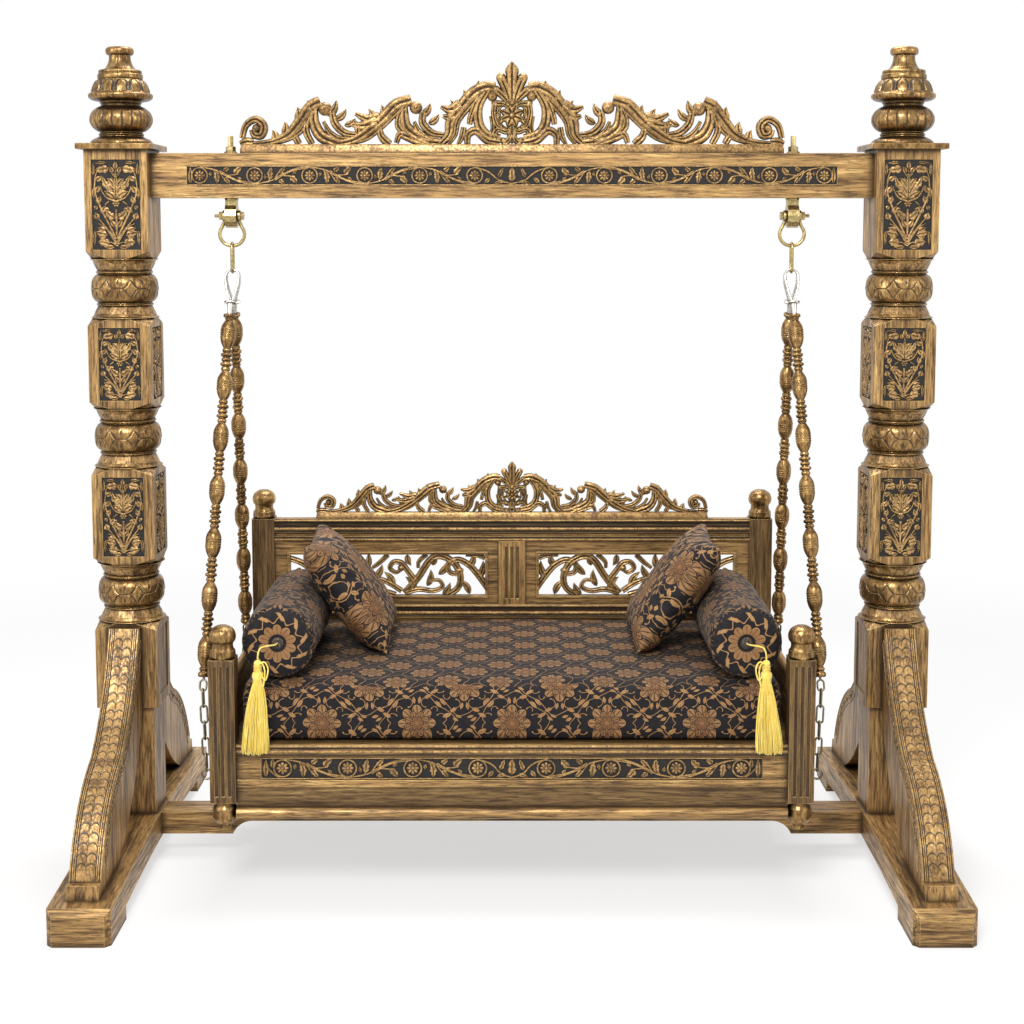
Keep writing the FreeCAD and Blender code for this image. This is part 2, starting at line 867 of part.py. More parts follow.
def make_hanger_bearing(name, side):
    """A stud through the crossbeam with a flange and a bearing eye under it."""
    body = start_body(f"{name}_hanger_bearing", x=S.hanger_x * side)
    eye = start_sketch(body, "YZ_Plane")
    add_outline(eye, many_sided(ZERO, PIVOT_HEIGHT, S.eye_radius, EYE_FACETS))
    pad(body, eye, S.eye_half * 2, centred=True)
    neck = start_sketch(body, "YZ_Plane")
    flange_low = BEAM_LOW - S.flange_height
    neck_low = PIVOT_HEIGHT + S.pin_radius
    add_outline(neck, box_outline(-S.eye_neck_half, neck_low, S.eye_neck_half, flange_low))
    pad(body, neck, S.eye_half * 2, centred=True)
    flange = start_sketch(body, "XY_Plane", offset=flange_low)
    add_outline(flange, many_sided(ZERO, ZERO, S.flange_radius, EYE_FACETS))
    pad(body, flange, S.flange_height)
    stud = start_sketch(body, "XY_Plane", offset=flange_low)
    add_outline(stud, many_sided(ZERO, ZERO, S.stud_radius, KNOB_FACETS))
    pad(body, stud, S.flange_height + S.beam_height + S.stud_above)
    bore = start_sketch(body, "YZ_Plane")
    add_circle(bore, ZERO, PIVOT_HEIGHT, S.pin_radius + S.pin_clearance)
    pocket(body, bore, S.eye_half * 4, centred=True)
    return body


def hexagon(radius, height, centre):
    """A nut's six-sided prism about the vertical."""
    corners = []
    for k in range(NUT_SIDES):
        angle = 2 * math.pi * k / NUT_SIDES
        corners.append(centre + FreeCAD.Vector(math.cos(angle), math.sin(angle), 0) * float(radius))
    face = Part.Face(Part.makePolygon(corners + corners[:1]))
    return face.extrude(vector(0, 0, height))


def make_hanger_nuts():
    solids = []
    base = BEAM_LOW + S.beam_height
    for side in (-1, 1):
        centre = vector(S.hanger_x * side, 0, base)
        washer = [(S.washer_radius, ZERO), (S.washer_radius, S.washer_height)]
        washer = facet_turning(washer, KNOB_FACETS, centre)
        nut = hexagon(S.nut_radius, S.nut_height, centre + vector(0, 0, S.washer_height))
        both = washer.fuse(nut)
        hole_radius = (S.stud_radius + S.stud_clearance) / KNOB_FLAT_SHARE
        hole = [(hole_radius, ZERO), (hole_radius, S.washer_height + S.nut_height)]
        hole = facet_turning(hole, KNOB_FACETS, centre)
        solids.append(both.cut(hole).removeSplitter().Solids[0])
    solid_piece("hanger_nuts", Part.makeCompound(solids))


# Pierced carving

def band(start, middle, end, start_width, end_width, low, depth):
    """A tapering rib that follows the arc through three points, in a few straight cuts."""
    arc = Part.Arc(start, middle, end).toShape()
    upper = []
    lower = []
    for k in range(BAND_STEPS + 1):
        share = k / BAND_STEPS
        at = arc.FirstParameter + (arc.LastParameter - arc.FirstParameter) * share
        place = arc.valueAt(at)
        along = arc.tangentAt(at)
        half = (start_width + (end_width - start_width) * share) / 2
        across = FreeCAD.Vector(-along.z, 0, along.x) * half
        upper.append(place + across)
        lower.append(place - across)
    outline = upper + lower[::-1]
    return flat_prism(outline, low, depth)


def flat_prism(outline, low, depth):
    """A board of the given outline, from a distance along Y."""
    face = Part.Face(Part.makePolygon(outline + outline[:1]))
    face.translate(FreeCAD.Vector(0, low, 0))
    return face.extrude(FreeCAD.Vector(0, depth, 0))


def round_outline(centre, radius, facets):
    corners = []
    for k in range(facets):
        angle = 2 * math.pi * (k + 0.5) / facets
        corners.append(centre + FreeCAD.Vector(math.cos(angle), 0, math.sin(angle)) * radius)
    return corners


def disc(centre, radius, low, depth):
    return flat_prism(round_outline(centre, radius, DISC_FACETS), low, depth)


def petal(foot, tip, half, low, depth):
    """A pointed leaf on a line between two points of a vertical plane."""
    along = tip - foot
    across = FreeCAD.Vector(-along.z, 0, along.x) / along.Length * half
    middle = (foot + tip) / 2
    left = Part.Arc(foot, middle + across, tip).toShape()
    right = Part.Arc(tip, middle - across, foot).toShape()
    face = Part.Face(Part.Wire([left, right]))
    face.translate(FreeCAD.Vector(0, low, 0))
    return face.extrude(FreeCAD.Vector(0, depth, 0))


def make_crest(label, half, base_bottom, base_height, rise, base_half, board_half, middle_y):
    """A base strip and the pierced leaf scrolls that stand on it, alike on both sides."""
    half, rise = float(half), float(rise)
    top = float(base_bottom + base_height)
    depth = float(board_half) * 2
    low = float(middle_y) - float(board_half)
    base = Part.makeBox(half * 2, float(base_half) * 2, float(base_height))
    base.translate(vector(-half, float(middle_y) - float(base_half), base_bottom))
    leaves = []
    for sign in (-1, 1):
        def place(u, v):
            return FreeCAD.Vector(sign * u * half, 0, top + v * rise)
        for u0, v0, u1, v1, u2, v2, w0, w2 in CREST_BAND_SHARES:
            ends = (w0 * half, w2 * half)
            leaves.append(band(place(u0, v0), place(u1, v1), place(u2, v2), ends[0], ends[1], low, depth))
        for u, v, radius in CREST_BALL_SHARES:
            leaves.append(disc(place(u, v), radius * half, low, depth))
    centre = FreeCAD.Vector(0, 0, top)
    up = FreeCAD.Vector(0, 0, rise)
    tip, foot = centre + up * PETAL_TIP_SHARE, centre + up * PETAL_FOOT_SHARE
    leaves.append(petal(foot, tip, PETAL_HALF_SHARE * rise * 2, low, depth))
    leaves.append(disc(centre + up * ROSETTE_PLACE_SHARE, ROSETTE_RADIUS_SHARE * rise, low, depth))
    pendant = Part.makeBox(PENDANT_HALF_SHARE * half * 2, depth, ROSETTE_PLACE_SHARE * rise)
    pendant.translate(FreeCAD.Vector(-PENDANT_HALF_SHARE * half, low, top))
    leaves.append(pendant)
    # What dips below the strip's top is trimmed to it
    room = Part.makeBox(half * 2, depth, rise * 2)
    room.translate(FreeCAD.Vector(-half, low, top - float(base_height) / 2))
    carving = leaves[0].multiFuse(leaves[1:]).common(room)
    whole = base.fuse(carving).removeSplitter()
    if len(whole.Solids) != 1:
        raise ValueError(f"{label} is in {len(whole.Solids)} parts")
    solid_piece(label, whole.Solids[0])


def make_back_panel(label, side):
    """Half of the back: a framed board whose opening is filled with pierced scrolls."""
    front = float(S.seat_rear + S.back_setback)
    depth = float(S.back_panel_thickness)
    inner, outer = float(S.stile_half), float(S.seat_post_x - S.seat_post_half)
    board = Part.makeBox(outer - inner, depth, float(S.back_rail_bottom - S.back_panel_bottom))
    board.translate(vector(inner, front, S.back_panel_bottom))
    u_low, u_high = float(S.opening_inner), float(S.opening_outer)
    v_low, v_high = float(S.opening_bottom), float(S.opening_top)
    hole = Part.makeBox(u_high - u_low, depth, v_high - v_low)
    hole.translate(FreeCAD.Vector(u_low, front, v_low))
    width, height = u_high - u_low, v_high - v_low

    def place(u, v):
        return FreeCAD.Vector(u_low + u * width, 0, v_low + v * height)

    scrolls = []
    for u0, v0, u1, v1, u2, v2, w0, w2 in PANEL_BAND_SHARES:
        ends = (w0 * height, w2 * height)
        scrolls.append(band(place(u0, v0), place(u1, v1), place(u2, v2), ends[0], ends[1], front, depth))
    for u, v, radius in PANEL_BALL_SHARES:
        scrolls.append(disc(place(u, v), radius * height, front, depth))
    filling = scrolls[0].multiFuse(scrolls[1:])
    frame = board.cut(hole)
    around = Part.makeBox(outer - inner, depth, float(S.back_rail_bottom - S.back_panel_bottom))
    around.translate(vector(inner, front, S.back_panel_bottom))
    whole = frame.fuse(filling.common(around)).removeSplitter()
    if len(whole.Solids) != 1:
        raise ValueError(f"{label} is in {len(whole.Solids)} parts")
    panel = whole.Solids[0]
    if side < 0:
        panel = panel.mirror(FreeCAD.Vector(), FreeCAD.Vector(1, 0, 0))
    solid_piece(label, panel)


# Hanging gear

def wire_rod(points, radius, closed):
    """A bent wire of flat sides along straight runs."""
    if closed:
        start = (points[0] + points[-1]) / 2
        path = [start] + points + [start]
    else:
        path = points
    along = (path[1] - path[0]).normalize()
    sideways = abs(along.x) > abs(along.y) + abs(along.z)
    helper = FreeCAD.Vector(0, 1, 0) if sideways else FreeCAD.Vector(1, 0, 0)
    first = along.cross(helper).normalize()
    second = along.cross(first)
    section = []
    for k in range(WIRE_SIDES + 1):
        angle = 2 * math.pi * (k + 0.5) / WIRE_SIDES
        section.append(path[0] + (first * math.cos(angle) + second * math.sin(angle)) * float(radius))
    profile = Part.makePolygon(section)
    swept = Part.makePolygon(path).makePipeShell([profile], True, False, 1)
    return swept.Solids[0] if swept.Solids else swept


def bend_points(centre, across, along, half, depth, steps):
    """Corners of a half turn in an odd number of steps, so that its far run is flat."""
    tallest = math.cos(math.pi / (2 * steps))
    points = []
    for k in range(steps + 1):
        angle = math.pi * k / steps
        out = depth * math.sin(angle) / tallest
        points.append(centre - across * (half * math.cos(angle)) + along * out)
    return points


def link_points(top, bottom, half, across):
    """Corners of a long link between two points: its sides and its two round ends."""
    along = (bottom - top).normalize()
    upper = bend_points(top + along * half, across, -along, half, half, BEND_STEPS)
    lower = bend_points(bottom - along * half, -across, along, half, half, BEND_STEPS)
    return upper + lower


def make_pin(name, side):
    """A pin along X with a six-sided head inside, a nut and a thin tail outside."""
    turn = 0 if side > 0 else 180
    body = start_body(f"{name}_pivot_pin", x=S.hanger_x * side, z=PIVOT_HEIGHT, turn=turn)
    grip = S.eye_half + S.ear_clearance + S.ear_thickness
    shaft = start_sketch(body, "YZ_Plane", offset=-grip)
    add_circle(shaft, ZERO, ZERO, S.pin_radius)
    pad(body, shaft, grip * 2)
    tail_end = S.pin_nut_height + S.pin_tail
    for offset, length, radius in (
        (-grip - S.pin_head_height, S.pin_head_height, S.pin_head_radius),
        (grip, S.pin_nut_height, S.pin_head_radius),
        (grip, tail_end, S.pin_tail_radius),
    ):
        sketch = start_sketch(body, "YZ_Plane", offset=offset)
        flat = radius * math.sqrt(3) / 2
        add_outline(sketch, [
            (radius, ZERO),
            (radius / 2, flat),
            (-radius / 2, flat),
            (-radius, ZERO),
            (-radius / 2, -flat),
            (radius / 2, -flat),
        ])
        pad(body, sketch, length)
    return body


def shackle(side):
    """Two ears on the pin and a bow of wire under them."""
    pivot = vector(S.hanger_x * side, 0, PIVOT_HEIGHT)
    right, down = FreeCAD.Vector(1, 0, 0), FreeCAD.Vector(0, 0, -1)
    ear_in = float(S.eye_half + S.ear_clearance)
    parts = []
    for sign in (-1, 1):
        ear = [(S.ear_radius, ZERO), (S.ear_radius, S.ear_thickness)]
        across = FreeCAD.Vector(0, 1, 0)
        parts.append(facet_turning(ear, KNOB_FACETS, pivot + right * (sign * ear_in), right * sign, across))
    ear_middle = ear_in + float(S.ear_thickness) / 2
    foot = down * float(S.ear_radius - S.bow_wire / 2)
    belly = pivot + down * float(S.bow_widest_drop)
    depth = float(S.bow_drop - S.bow_widest_drop)
    bow = [pivot + foot - right * ear_middle]
    bow += bend_points(belly, right, down, float(S.bow_half), depth, BOW_STEPS)
    bow.append(pivot + foot + right * ear_middle)
    parts.append(wire_rod(bow, S.bow_wire, closed=False))
    whole = parts[0].multiFuse(parts[1:])
    reach = float(S.eye_half) * 3
    hole_radius = S.pin_radius / KNOB_FLAT_SHARE
    hole = [(hole_radius, ZERO), (hole_radius, reach * 2)]
    hole = facet_turning(hole, KNOB_FACETS, pivot - right * reach, right, FreeCAD.Vector(0, 1, 0))
    return whole.cut(hole).removeSplitter().Solids[0]


def link_top_height():
    """Centre line of the link's upper bend, hung on the shackle's bow."""
    return float(PIVOT_HEIGHT - S.bow_drop + (S.bow_wire + S.link_wire) * WIRE_FLAT_SHARE + S.contact_gap)


def link_bottom_height():
    return link_top_height() - float(S.link_length)


def make_link(label, side):
    x = float(S.hanger_x * side)
    top = FreeCAD.Vector(x, 0, link_top_height())
    bottom = FreeCAD.Vector(x, 0, link_bottom_height())
    points = link_points(top, bottom, float(S.link_half), FreeCAD.Vector(0, 1, 0))
    solid_piece(label, wire_rod(points, S.link_wire, closed=True))


def rod_line(side, front):
    """Top and foot of a rod's axis: from the link down to the chain on the seat's side."""
    foot_x = S.rod_front_x if front else S.rod_rear_x
    sign = -1 if front else 1
    top = FreeCAD.Vector(float(S.hanger_x) * side, sign * float(S.teardrop_side), hang_height())
    foot = FreeCAD.Vector(float(foot_x) * side, sign * float(S.rod_reach), float(S.rod_bottom))
    return top, foot


def hang_height():
    """Centre line of the wire eyes' upper bends, hung on the link."""
    return link_bottom_height() + float((S.link_wire + S.wire_radius) * WIRE_FLAT_SHARE + S.contact_gap)


def along_rod(side, front):
    """Top end of a rod, the direction that it hangs in, and its length."""
    top, foot = rod_line(side, front)
    length = (foot - top).Length - float(S.rod_hang)
    axis = (foot - top).normalize()
    return foot - axis * length, axis, length


def wire_eyes(side):
    """Two teardrop eyes with collars and stubs, one for each rod of the V."""
    solids = []
    for front in (True, False):
        top = rod_line(side, front)[0]
        rod_top, axis, _ = along_rod(side, front)
        across = FreeCAD.Vector(1, 0, 0)
        across = (across - axis * across.dot(axis)).normalize()
        half = float(S.teardrop_half)
        neck = rod_top - axis * float(S.rod_stub_length + S.wire_collar_height)
        length = (neck - top).Length
        points = bend_points(top + axis * half, across, -axis, half, half, BOW_STEPS)
        tip = neck + axis * float(S.wire_collar_height) / 2
        points.append(tip + across * float(S.wire_radius))
        points.append(tip - across * float(S.wire_radius))
        parts = [wire_rod(points, S.wire_radius, closed=True)]
        collar = [(S.wire_collar_radius, ZERO), (S.wire_collar_radius, S.wire_collar_height)]
        stub = [(S.rod_stub_radius, ZERO), (S.rod_stub_radius, S.wire_collar_height + S.rod_stub_length)]
        parts.append(facet_turning(collar, KNOB_FACETS, neck, axis, across))
        parts.append(facet_turning(stub, WIRE_SIDES, neck, axis, across))
        solids.append(parts[0].multiFuse(parts[1:]).removeSplitter().Solids[0])
        if length < half:
            raise ValueError("the wire eye has no room")
    return solids


def rod_profile(length):
    """Radius and distance along a turned rod: barrels with a bead between them."""
    points = [(S.bead_radius, ZERO)]
    pitch = (length - float(S.rod_first + S.rod_last)) / (BARRELS - 1)
    half = S.barrel_length / 2
    belly = S.barrel_belly / 2
    for k in range(BARRELS):
        middle = S.rod_first + pitch * k
        points.append((S.rod_neck_radius, middle - half))
        points.append((S.barrel_radius, middle - belly))
        points.append((S.barrel_radius, middle + belly))
        points.append((S.rod_neck_radius, middle + half))
        if k < BARRELS - 1:
            points.append((S.bead_radius, middle + pitch / 2))
    points.append((S.bead_radius, length))
    return points


def make_rod(label, side, front):
    start, axis, length = along_rod(side, front)
    across = FreeCAD.Vector(1, 0, 0)
    across = (across - axis * across.dot(axis)).normalize()
    solid_piece(label, facet_turning(rod_profile(length), ROD_FACETS, start, axis, across))


def chain_ends(side, front):
    top, foot = rod_line(side, front)
    axis = (foot - top).normalize()
    start = foot
    end_x = float(S.side_rail_outer) * side + side * float(S.chain_ring_half + S.chain_wire) * 2
    end = FreeCAD.Vector(end_x, foot.y, float(S.screw_height))
    return start, end, axis


def make_chain(label, side, front):
    """An eye in the rod's foot and a row of welded links down to the eye screw."""
    start, end, axis = chain_ends(side, front)
    wire = float(S.chain_wire)
    half = float(S.chain_half)
    gap = float(S.contact_gap)
    solids = []
    hook_end = start + axis * float(S.chain_hook_length)
    run = end - hook_end
    along = FreeCAD.Vector(run).normalize()
    sideways = FreeCAD.Vector(1, 0, 0)
    sideways = (sideways - along * sideways.dot(along)).normalize()
    depthways = along.cross(sideways)
    hook_across = (sideways - axis * sideways.dot(axis)).normalize()
    shank_length = S.chain_hook_length - S.chain_hook_loop + S.chain_wire
    shank = [(S.chain_wire, ZERO), (S.chain_wire, shank_length)]
    shank = facet_turning(shank, WIRE_SIDES, start, axis, hook_across)
    hook = link_points(hook_end - axis * float(S.chain_hook_loop), hook_end, half, hook_across)
    solids.append(shank.fuse(wire_rod(hook, wire, closed=True)).removeSplitter().Solids[0])
    overlap = wire * WIRE_FLAT_SHARE * 2 + gap
    pairs = round((run.Length / (float(S.chain_link_length) - overlap) - 1) / 2)
    count = 1 + 2 * pairs
    pitch = run.Length / count
    for k in range(count):
        top = hook_end - along * overlap + along * (pitch * k)
        bottom = top + along * (pitch + overlap)
        across = depthways if k % 2 == 0 else sideways
        solids.append(wire_rod(link_points(top, bottom, half, across), wire, closed=True))
    solid_piece(label, Part.makeCompound(solids))


def make_eye_screws():
    """Screws in the seat's side rails whose eyes carry the chains' last links."""
    solids = []
    wire = float(S.chain_wire)
    for side in (-1, 1):
        for front in (True, False):
            end = chain_ends(side, front)[1]
            half = float(S.chain_ring_half)
            rise = wire * WIRE_FLAT_SHARE * 2 + float(S.contact_gap)
            centre = end + FreeCAD.Vector(0, 0, rise - half * RING_FLAT_SHARE)
            corners = round_outline(centre, half, RING_SIDES)
            ring = wire_rod(corners, wire, closed=True)
            face_x = float(S.side_rail_outer) * side
            foot = FreeCAD.Vector(face_x, centre.y, centre.z)
            reach = S.chain_ring_half + S.chain_wire * 2
            shank = [(S.chain_screw_radius, ZERO), (S.chain_screw_radius, reach)]
            outwards, across = FreeCAD.Vector(side, 0, 0), FreeCAD.Vector(0, 1, 0)
            shank = facet_turning(shank, WIRE_SIDES, foot, outwards, across)
            solids.append(ring.fuse(shank).removeSplitter().Solids[0])
    solid_piece("seat_eye_screws", Part.makeCompound(solids))


# Seat frame

def make_seat_post(label, side, front):
    """A fluted square post with a turned knob on top and a ball foot."""
    y = (S.seat_post_half - S.seat_front) if front else (S.seat_rear + S.seat_post_half)
    top = S.front_square_top if front else S.rear_square_top
    body = start_body(label, x=S.seat_post_x * side, y=y)
    square = start_sketch(body, "XY_Plane", offset=S.seat_square_bottom)
    half = S.seat_post_half
    add_outline(square, box_outline(-half, -half, half, half))
    pad(body, square, top - S.seat_square_bottom)
    outside = -1 if front else 1
    flutes = start_sketch(body, "XZ_Plane", offset=S.seat_post_half * -outside)
    for k in range(FLUTES):
        middle = S.flute_pitch * (k - (FLUTES - 1) / 2)
        low, high = S.seat_square_bottom + S.flute_pitch, top - S.flute_pitch
        add_outline(flutes, box_outline(middle - S.flute_width / 2, low, middle + S.flute_width / 2, high))
    pocket(body, flutes, S.flute_depth, backwards=outside > 0)
    foot = facet_turning(ball_foot_profile(), KNOB_FACETS, FreeCAD.Vector())
    knob = facet_turning(knob_profile(), KNOB_FACETS, FreeCAD.Vector())
    joined_piece(label, body, [
        (foot, S.seat_post_x * side, y, S.seat_foot_height),
        (knob, S.seat_post_x * side, y, top),
    ])


def ball_foot_profile():
    neck = S.seat_square_bottom - S.seat_foot_height
    ball_top = neck - S.ball_neck_height
    ball_low = ball_top - S.ball_height
    waist = S.ball_height / 4
    return [
        (S.tip_radius, ZERO),
        (S.tip_radius, ball_low),
        (S.ball_neck_radius, ball_low),
        (S.ball_radius, ball_low + waist),
        (S.ball_radius, ball_top - waist),
        (S.ball_neck_radius, ball_top),
        (S.ball_neck_radius, neck),
    ]


def knob_profile():
    ring = S.knob_ring_height
    neck = ring + S.knob_neck_height
    third = S.knob_height / 3
    return [
        (S.knob_ring_radius, ZERO),
        (S.knob_ring_radius, ring),
        (S.knob_neck_radius, ring),
        (S.knob_neck_radius, neck),
        (S.knob_radius, neck + third),
        (S.knob_radius, neck + third * KNOB_BELLY_SHARE),
        (S.knob_neck_radius, neck + third * KNOB_SHOULDER_SHARE),
        (S.tip_radius, neck + S.knob_height),
    ]


def extrude_section(label, points, length, y=ZERO):
    """A moulded rail along X with the given section in Y and Z."""
    body = start_body(label, y=y)
    sketch = start_sketch(body, "YZ_Plane")
    add_outline(sketch, points)
    pad(body, sketch, length, centred=True)
    return body


def between_posts():
    return (S.seat_post_x - S.seat_post_half) * 2


def make_front_apron():
    """Top rail, frieze, bead and plain board in one moulded plank."""
    face = -(S.seat_front - S.apron_setback)
    back = face + S.apron_thickness
    step = S.moulding_step
    rail = S.apron_top - S.apron_rail_height
    frieze = rail - S.apron_frieze_height
    bead = frieze - S.apron_bead_height
    body = extrude_section("front_apron", [
        (back, S.apron_bottom),
        (back, S.apron_top),
        (face, S.apron_top),
        (face, rail + step),
        (face + step, rail),
        (face + step, frieze),
        (face, frieze),
        (face, bead),
        (face + step, bead),
        (face + step, S.apron_bottom),
    ], between_posts())
    sketch = start_sketch(body, "XZ_Plane", offset=-(face + step))
    inset = S.panel_depth
    add_outline(sketch, box_outline(-S.apron_frieze_half, frieze + inset, S.apron_frieze_half, rail - inset))
    pocket(body, sketch, S.panel_depth)


def make_front_bottom_rail():
    middle = S.apron_thickness / 2 - (S.seat_front - S.apron_setback)
    half = S.bottom_rail_half
    low = S.apron_bottom - S.bottom_rail_height
    extrude_section("front_bottom_rail", [
        (middle + half, low),
        (middle + half, S.apron_bottom),
        (middle - half, S.apron_bottom, S.bottom_rail_round),
        (middle - half, low),
    ], between_posts())


def make_rear_apron():
    front = S.seat_rear + S.apron_setback
    back = front + S.rear_apron_thickness
    low = S.apron_bottom - S.bottom_rail_height
    step = S.moulding_step
    extrude_section("rear_apron", [
        (front, low),
        (back + step, low),
        (back + step, S.apron_bottom),
        (back, S.apron_bottom + step),
        (back, S.apron_top),
        (front, S.apron_top),
    ], between_posts())


def make_side_rail(label, side):
    """Between the front and the rear seat post, with a stepped lower edge."""
    low_y = S.seat_post_half * 2 - S.seat_front
    length = S.seat_rear - low_y
    body = start_body(label, y=(S.seat_rear + low_y) / 2)
    sketch = start_sketch(body, "XZ_Plane")
    outer = S.side_rail_outer
    inner = outer - S.side_rail_thickness
    step = S.moulding_step
    points = [
        (inner, S.apron_bottom),
        (outer, S.apron_bottom),
        (outer, S.apron_top),
        (outer - step, S.apron_top),
        (inner, S.apron_top),
    ]
    if side < 0:
        points = [(-u, v) for u, v in reversed(points)]
    add_outline(sketch, points)
    pad(body, sketch, length, centred=True)


def make_seat_deck():
    """The board under the mattress, notched round the four posts."""
    body = start_body("seat_deck")
    thick = S.deck_thickness
    sketch = start_sketch(body, "XY_Plane", offset=S.apron_top - thick)
    inner = S.seat_post_x - S.seat_post_half
    wide = S.side_rail_outer - S.side_rail_thickness
    front = S.apron_thickness + S.apron_setback - S.seat_front
    rear = S.seat_rear + S.apron_setback
    front_notch = S.seat_post_half * 2 - S.seat_front
    rear_notch = S.seat_rear
    add_outline(sketch, [
        (-inner, front),
        (inner, front),
        (inner, front_notch),
        (wide, front_notch),
        (wide, rear_notch),
        (inner, rear_notch),
        (inner, rear),
        (-inner, rear),
        (-inner, rear_notch),
        (-wide, rear_notch),
        (-wide, front_notch),
        (-inner, front_notch),
    ])
    pad(body, sketch, thick)


def make_arm_panel(label, side):
    """A board on the side rail that keeps the mattress in, with a round top edge."""
    low_y = S.seat_post_half * 2 - S.seat_front
    length = S.seat_rear - low_y
    body = start_body(label, x=S.seat_post_x * side, y=(S.seat_rear + low_y) / 2)
    sketch = start_sketch(body, "XZ_Plane")
    half = S.arm_thickness / 2
    shoulder = S.arm_top - S.arm_bead
    add_outline(sketch, [
        (-half, S.apron_top),
        (half, S.apron_top),
        (half, shoulder, S.arm_bead),
        (-half, shoulder),
    ])
    pad(body, sketch, length, centred=True)


def make_back_top_rail():
    """Plain above, with two small mouldings below, face to the front."""
    face = S.seat_rear + S.back_setback
    back = face + S.back_thickness
    plain = S.rear_square_top - S.back_plain_height
    step = S.back_moulding
    low = S.back_rail_bottom
    third = (plain - low) / 3
    extrude_section("back_top_rail", [
        (back, low),
        (back, S.rear_square_top),
        (face, S.rear_square_top),
        (face, plain),
        (face - step, plain - step),
        (face - step, plain - third),
        (face, plain - third - step),
        (face, low + third),
        (face - step, low + third - step),
        (face - step, low),
    ], between_posts())


def make_back_bottom_rail():
    face = S.seat_rear + S.back_setback
    back = face + S.back_thickness
    step = S.back_moulding
    top = S.back_panel_bottom
    plain = top - S.back_lower_moulding
    third = S.back_lower_moulding / 3
    extrude_section("back_bottom_rail", [
        (back, S.back_lower_bottom),
        (back, top),
        (face - step, top),
        (face - step, top - third + step),
        (face, top - third),
        (face, plain + third),
        (face - step, plain + third - step),
        (face - step, plain),
        (face, plain),
        (face, S.back_lower_bottom),
    ], between_posts())


def make_back_stile():
    """The fluted upright between the two back panels."""
    body = start_body("back_centre_stile")
    face = S.seat_rear + S.back_setback - S.back_moulding
    back = S.seat_rear + S.back_setback + S.back_panel_thickness
    board = start_sketch(body, "XY_Plane", offset=S.back_panel_bottom)
    add_outline(board, box_outline(-S.stile_half, face, S.stile_half, back))
    pad(body, board, S.back_rail_bottom - S.back_panel_bottom)
    flutes = start_sketch(body, "XZ_Plane", offset=-face)
    for k in range(FLUTES):
        middle = S.flute_pitch * (k - (FLUTES - 1) / 2)
        low = S.back_panel_bottom + S.flute_pitch
        high = S.back_rail_bottom - S.flute_pitch
        add_outline(flutes, box_outline(middle - S.flute_width / 2, low, middle + S.flute_width / 2, high))
    pocket(body, flutes, S.flute_depth)


# Soft pieces

def lens(low, high, base, top, bulge, side_bulge, start, run):
    """A prism with swollen sides and a crowned top, along a run from its start."""
    middle, centre = (low + high) / 2, (base + top) / 2
    corners = [(low, base), (high, base), (high, top), (low, top)]
    middles = [None, (high + side_bulge, centre), (middle, top + bulge), (low - side_bulge, centre)]
    across = FreeCAD.Vector(0, 1, 0) if run.x else FreeCAD.Vector(1, 0, 0)

    def place(point):
        return start + across * point[0] + FreeCAD.Vector(0, 0, point[1])

    edges = []
    for k, corner in enumerate(corners):
        after = corners[(k + 1) % len(corners)]
        if middles[k] is None:
            edges.append(Part.LineSegment(place(corner), place(after)).toShape())
        else:
            edges.append(Part.Arc(place(corner), place(middles[k]), place(after)).toShape())
    return Part.Face(Part.Wire(edges)).extrude(run)


def drawn_plan(half, draw, base, height):
    """A square prism whose four sides are drawn in between the corners."""
    corners = [(-half, -half), (half, -half), (half, half), (-half, half)]
    edges = []
    for k, corner in enumerate(corners):
        after = corners[(k + 1) % len(corners)]
        start = FreeCAD.Vector(*corner, base)
        end = FreeCAD.Vector(*after, base)
        middle = (start + end) / 2
        inwards = FreeCAD.Vector(-middle.x, -middle.y, 0).normalize()
        edges.append(Part.Arc(start, middle + inwards * draw, end).toShape())
    return Part.Face(Part.Wire(edges)).extrude(FreeCAD.Vector(0, 0, height))


def make_mattress():
    """A boxed cushion, crowned both ways, whose sides are drawn in at the seams."""
    half, swell = float(S.mattress_half), float(S.mattress_swell)
    front, rear = -float(S.mattress_front) + swell, float(S.mattress_rear) - swell
    base = float(S.apron_top + S.contact_gap)
    top = base + float(S.mattress_side_height)
    crown = float(S.mattress_crown)
    start, run = FreeCAD.Vector(-half, 0, 0), FreeCAD.Vector(half * 2, 0, 0)
    lengthwise = lens(front, rear, base, top, crown, swell, start, run)
    span = FreeCAD.Vector(0, rear - front + swell * 2, 0)
    start = FreeCAD.Vector(0, front - swell, 0)
    crosswise = lens(-half + swell, half - swell, base, top, crown, swell, start, span)
    return solid_piece("mattress", lengthwise.common(crosswise).Solids[0])


def make_bolster(label, side, supports):
    """A round bolster along Y with dished, gathered ends and a button in each."""
    length = S.bolster_length
    dish = S.bolster_dish
    soft = S.bolster_round
    radius = S.bolster_radius
    button = S.button_radius
    half = [
        (button, dish / 2),
        (button, dish),
        (radius - soft, ZERO),
        (radius - soft * BOLSTER_ROUND_SHARE, soft * BOLSTER_ROUND_SHARE),
        (radius, soft),
    ]
    profile = half + [(r, length - distance) for r, distance in reversed(half)]
    above = S.apron_top + S.mattress_side_height + S.mattress_crown + S.bolster_radius * 2
    origin = vector(S.bolster_x * side, -S.bolster_front, above)
    along, across = FreeCAD.Vector(0, 1, 0), FreeCAD.Vector(1, 0, 0)
    shape = facet_turning(profile, BOLSTER_FACETS, origin, along, across)
    return solid_piece(label, settle(shape, supports, FreeCAD.Vector(0, 0, -1)))


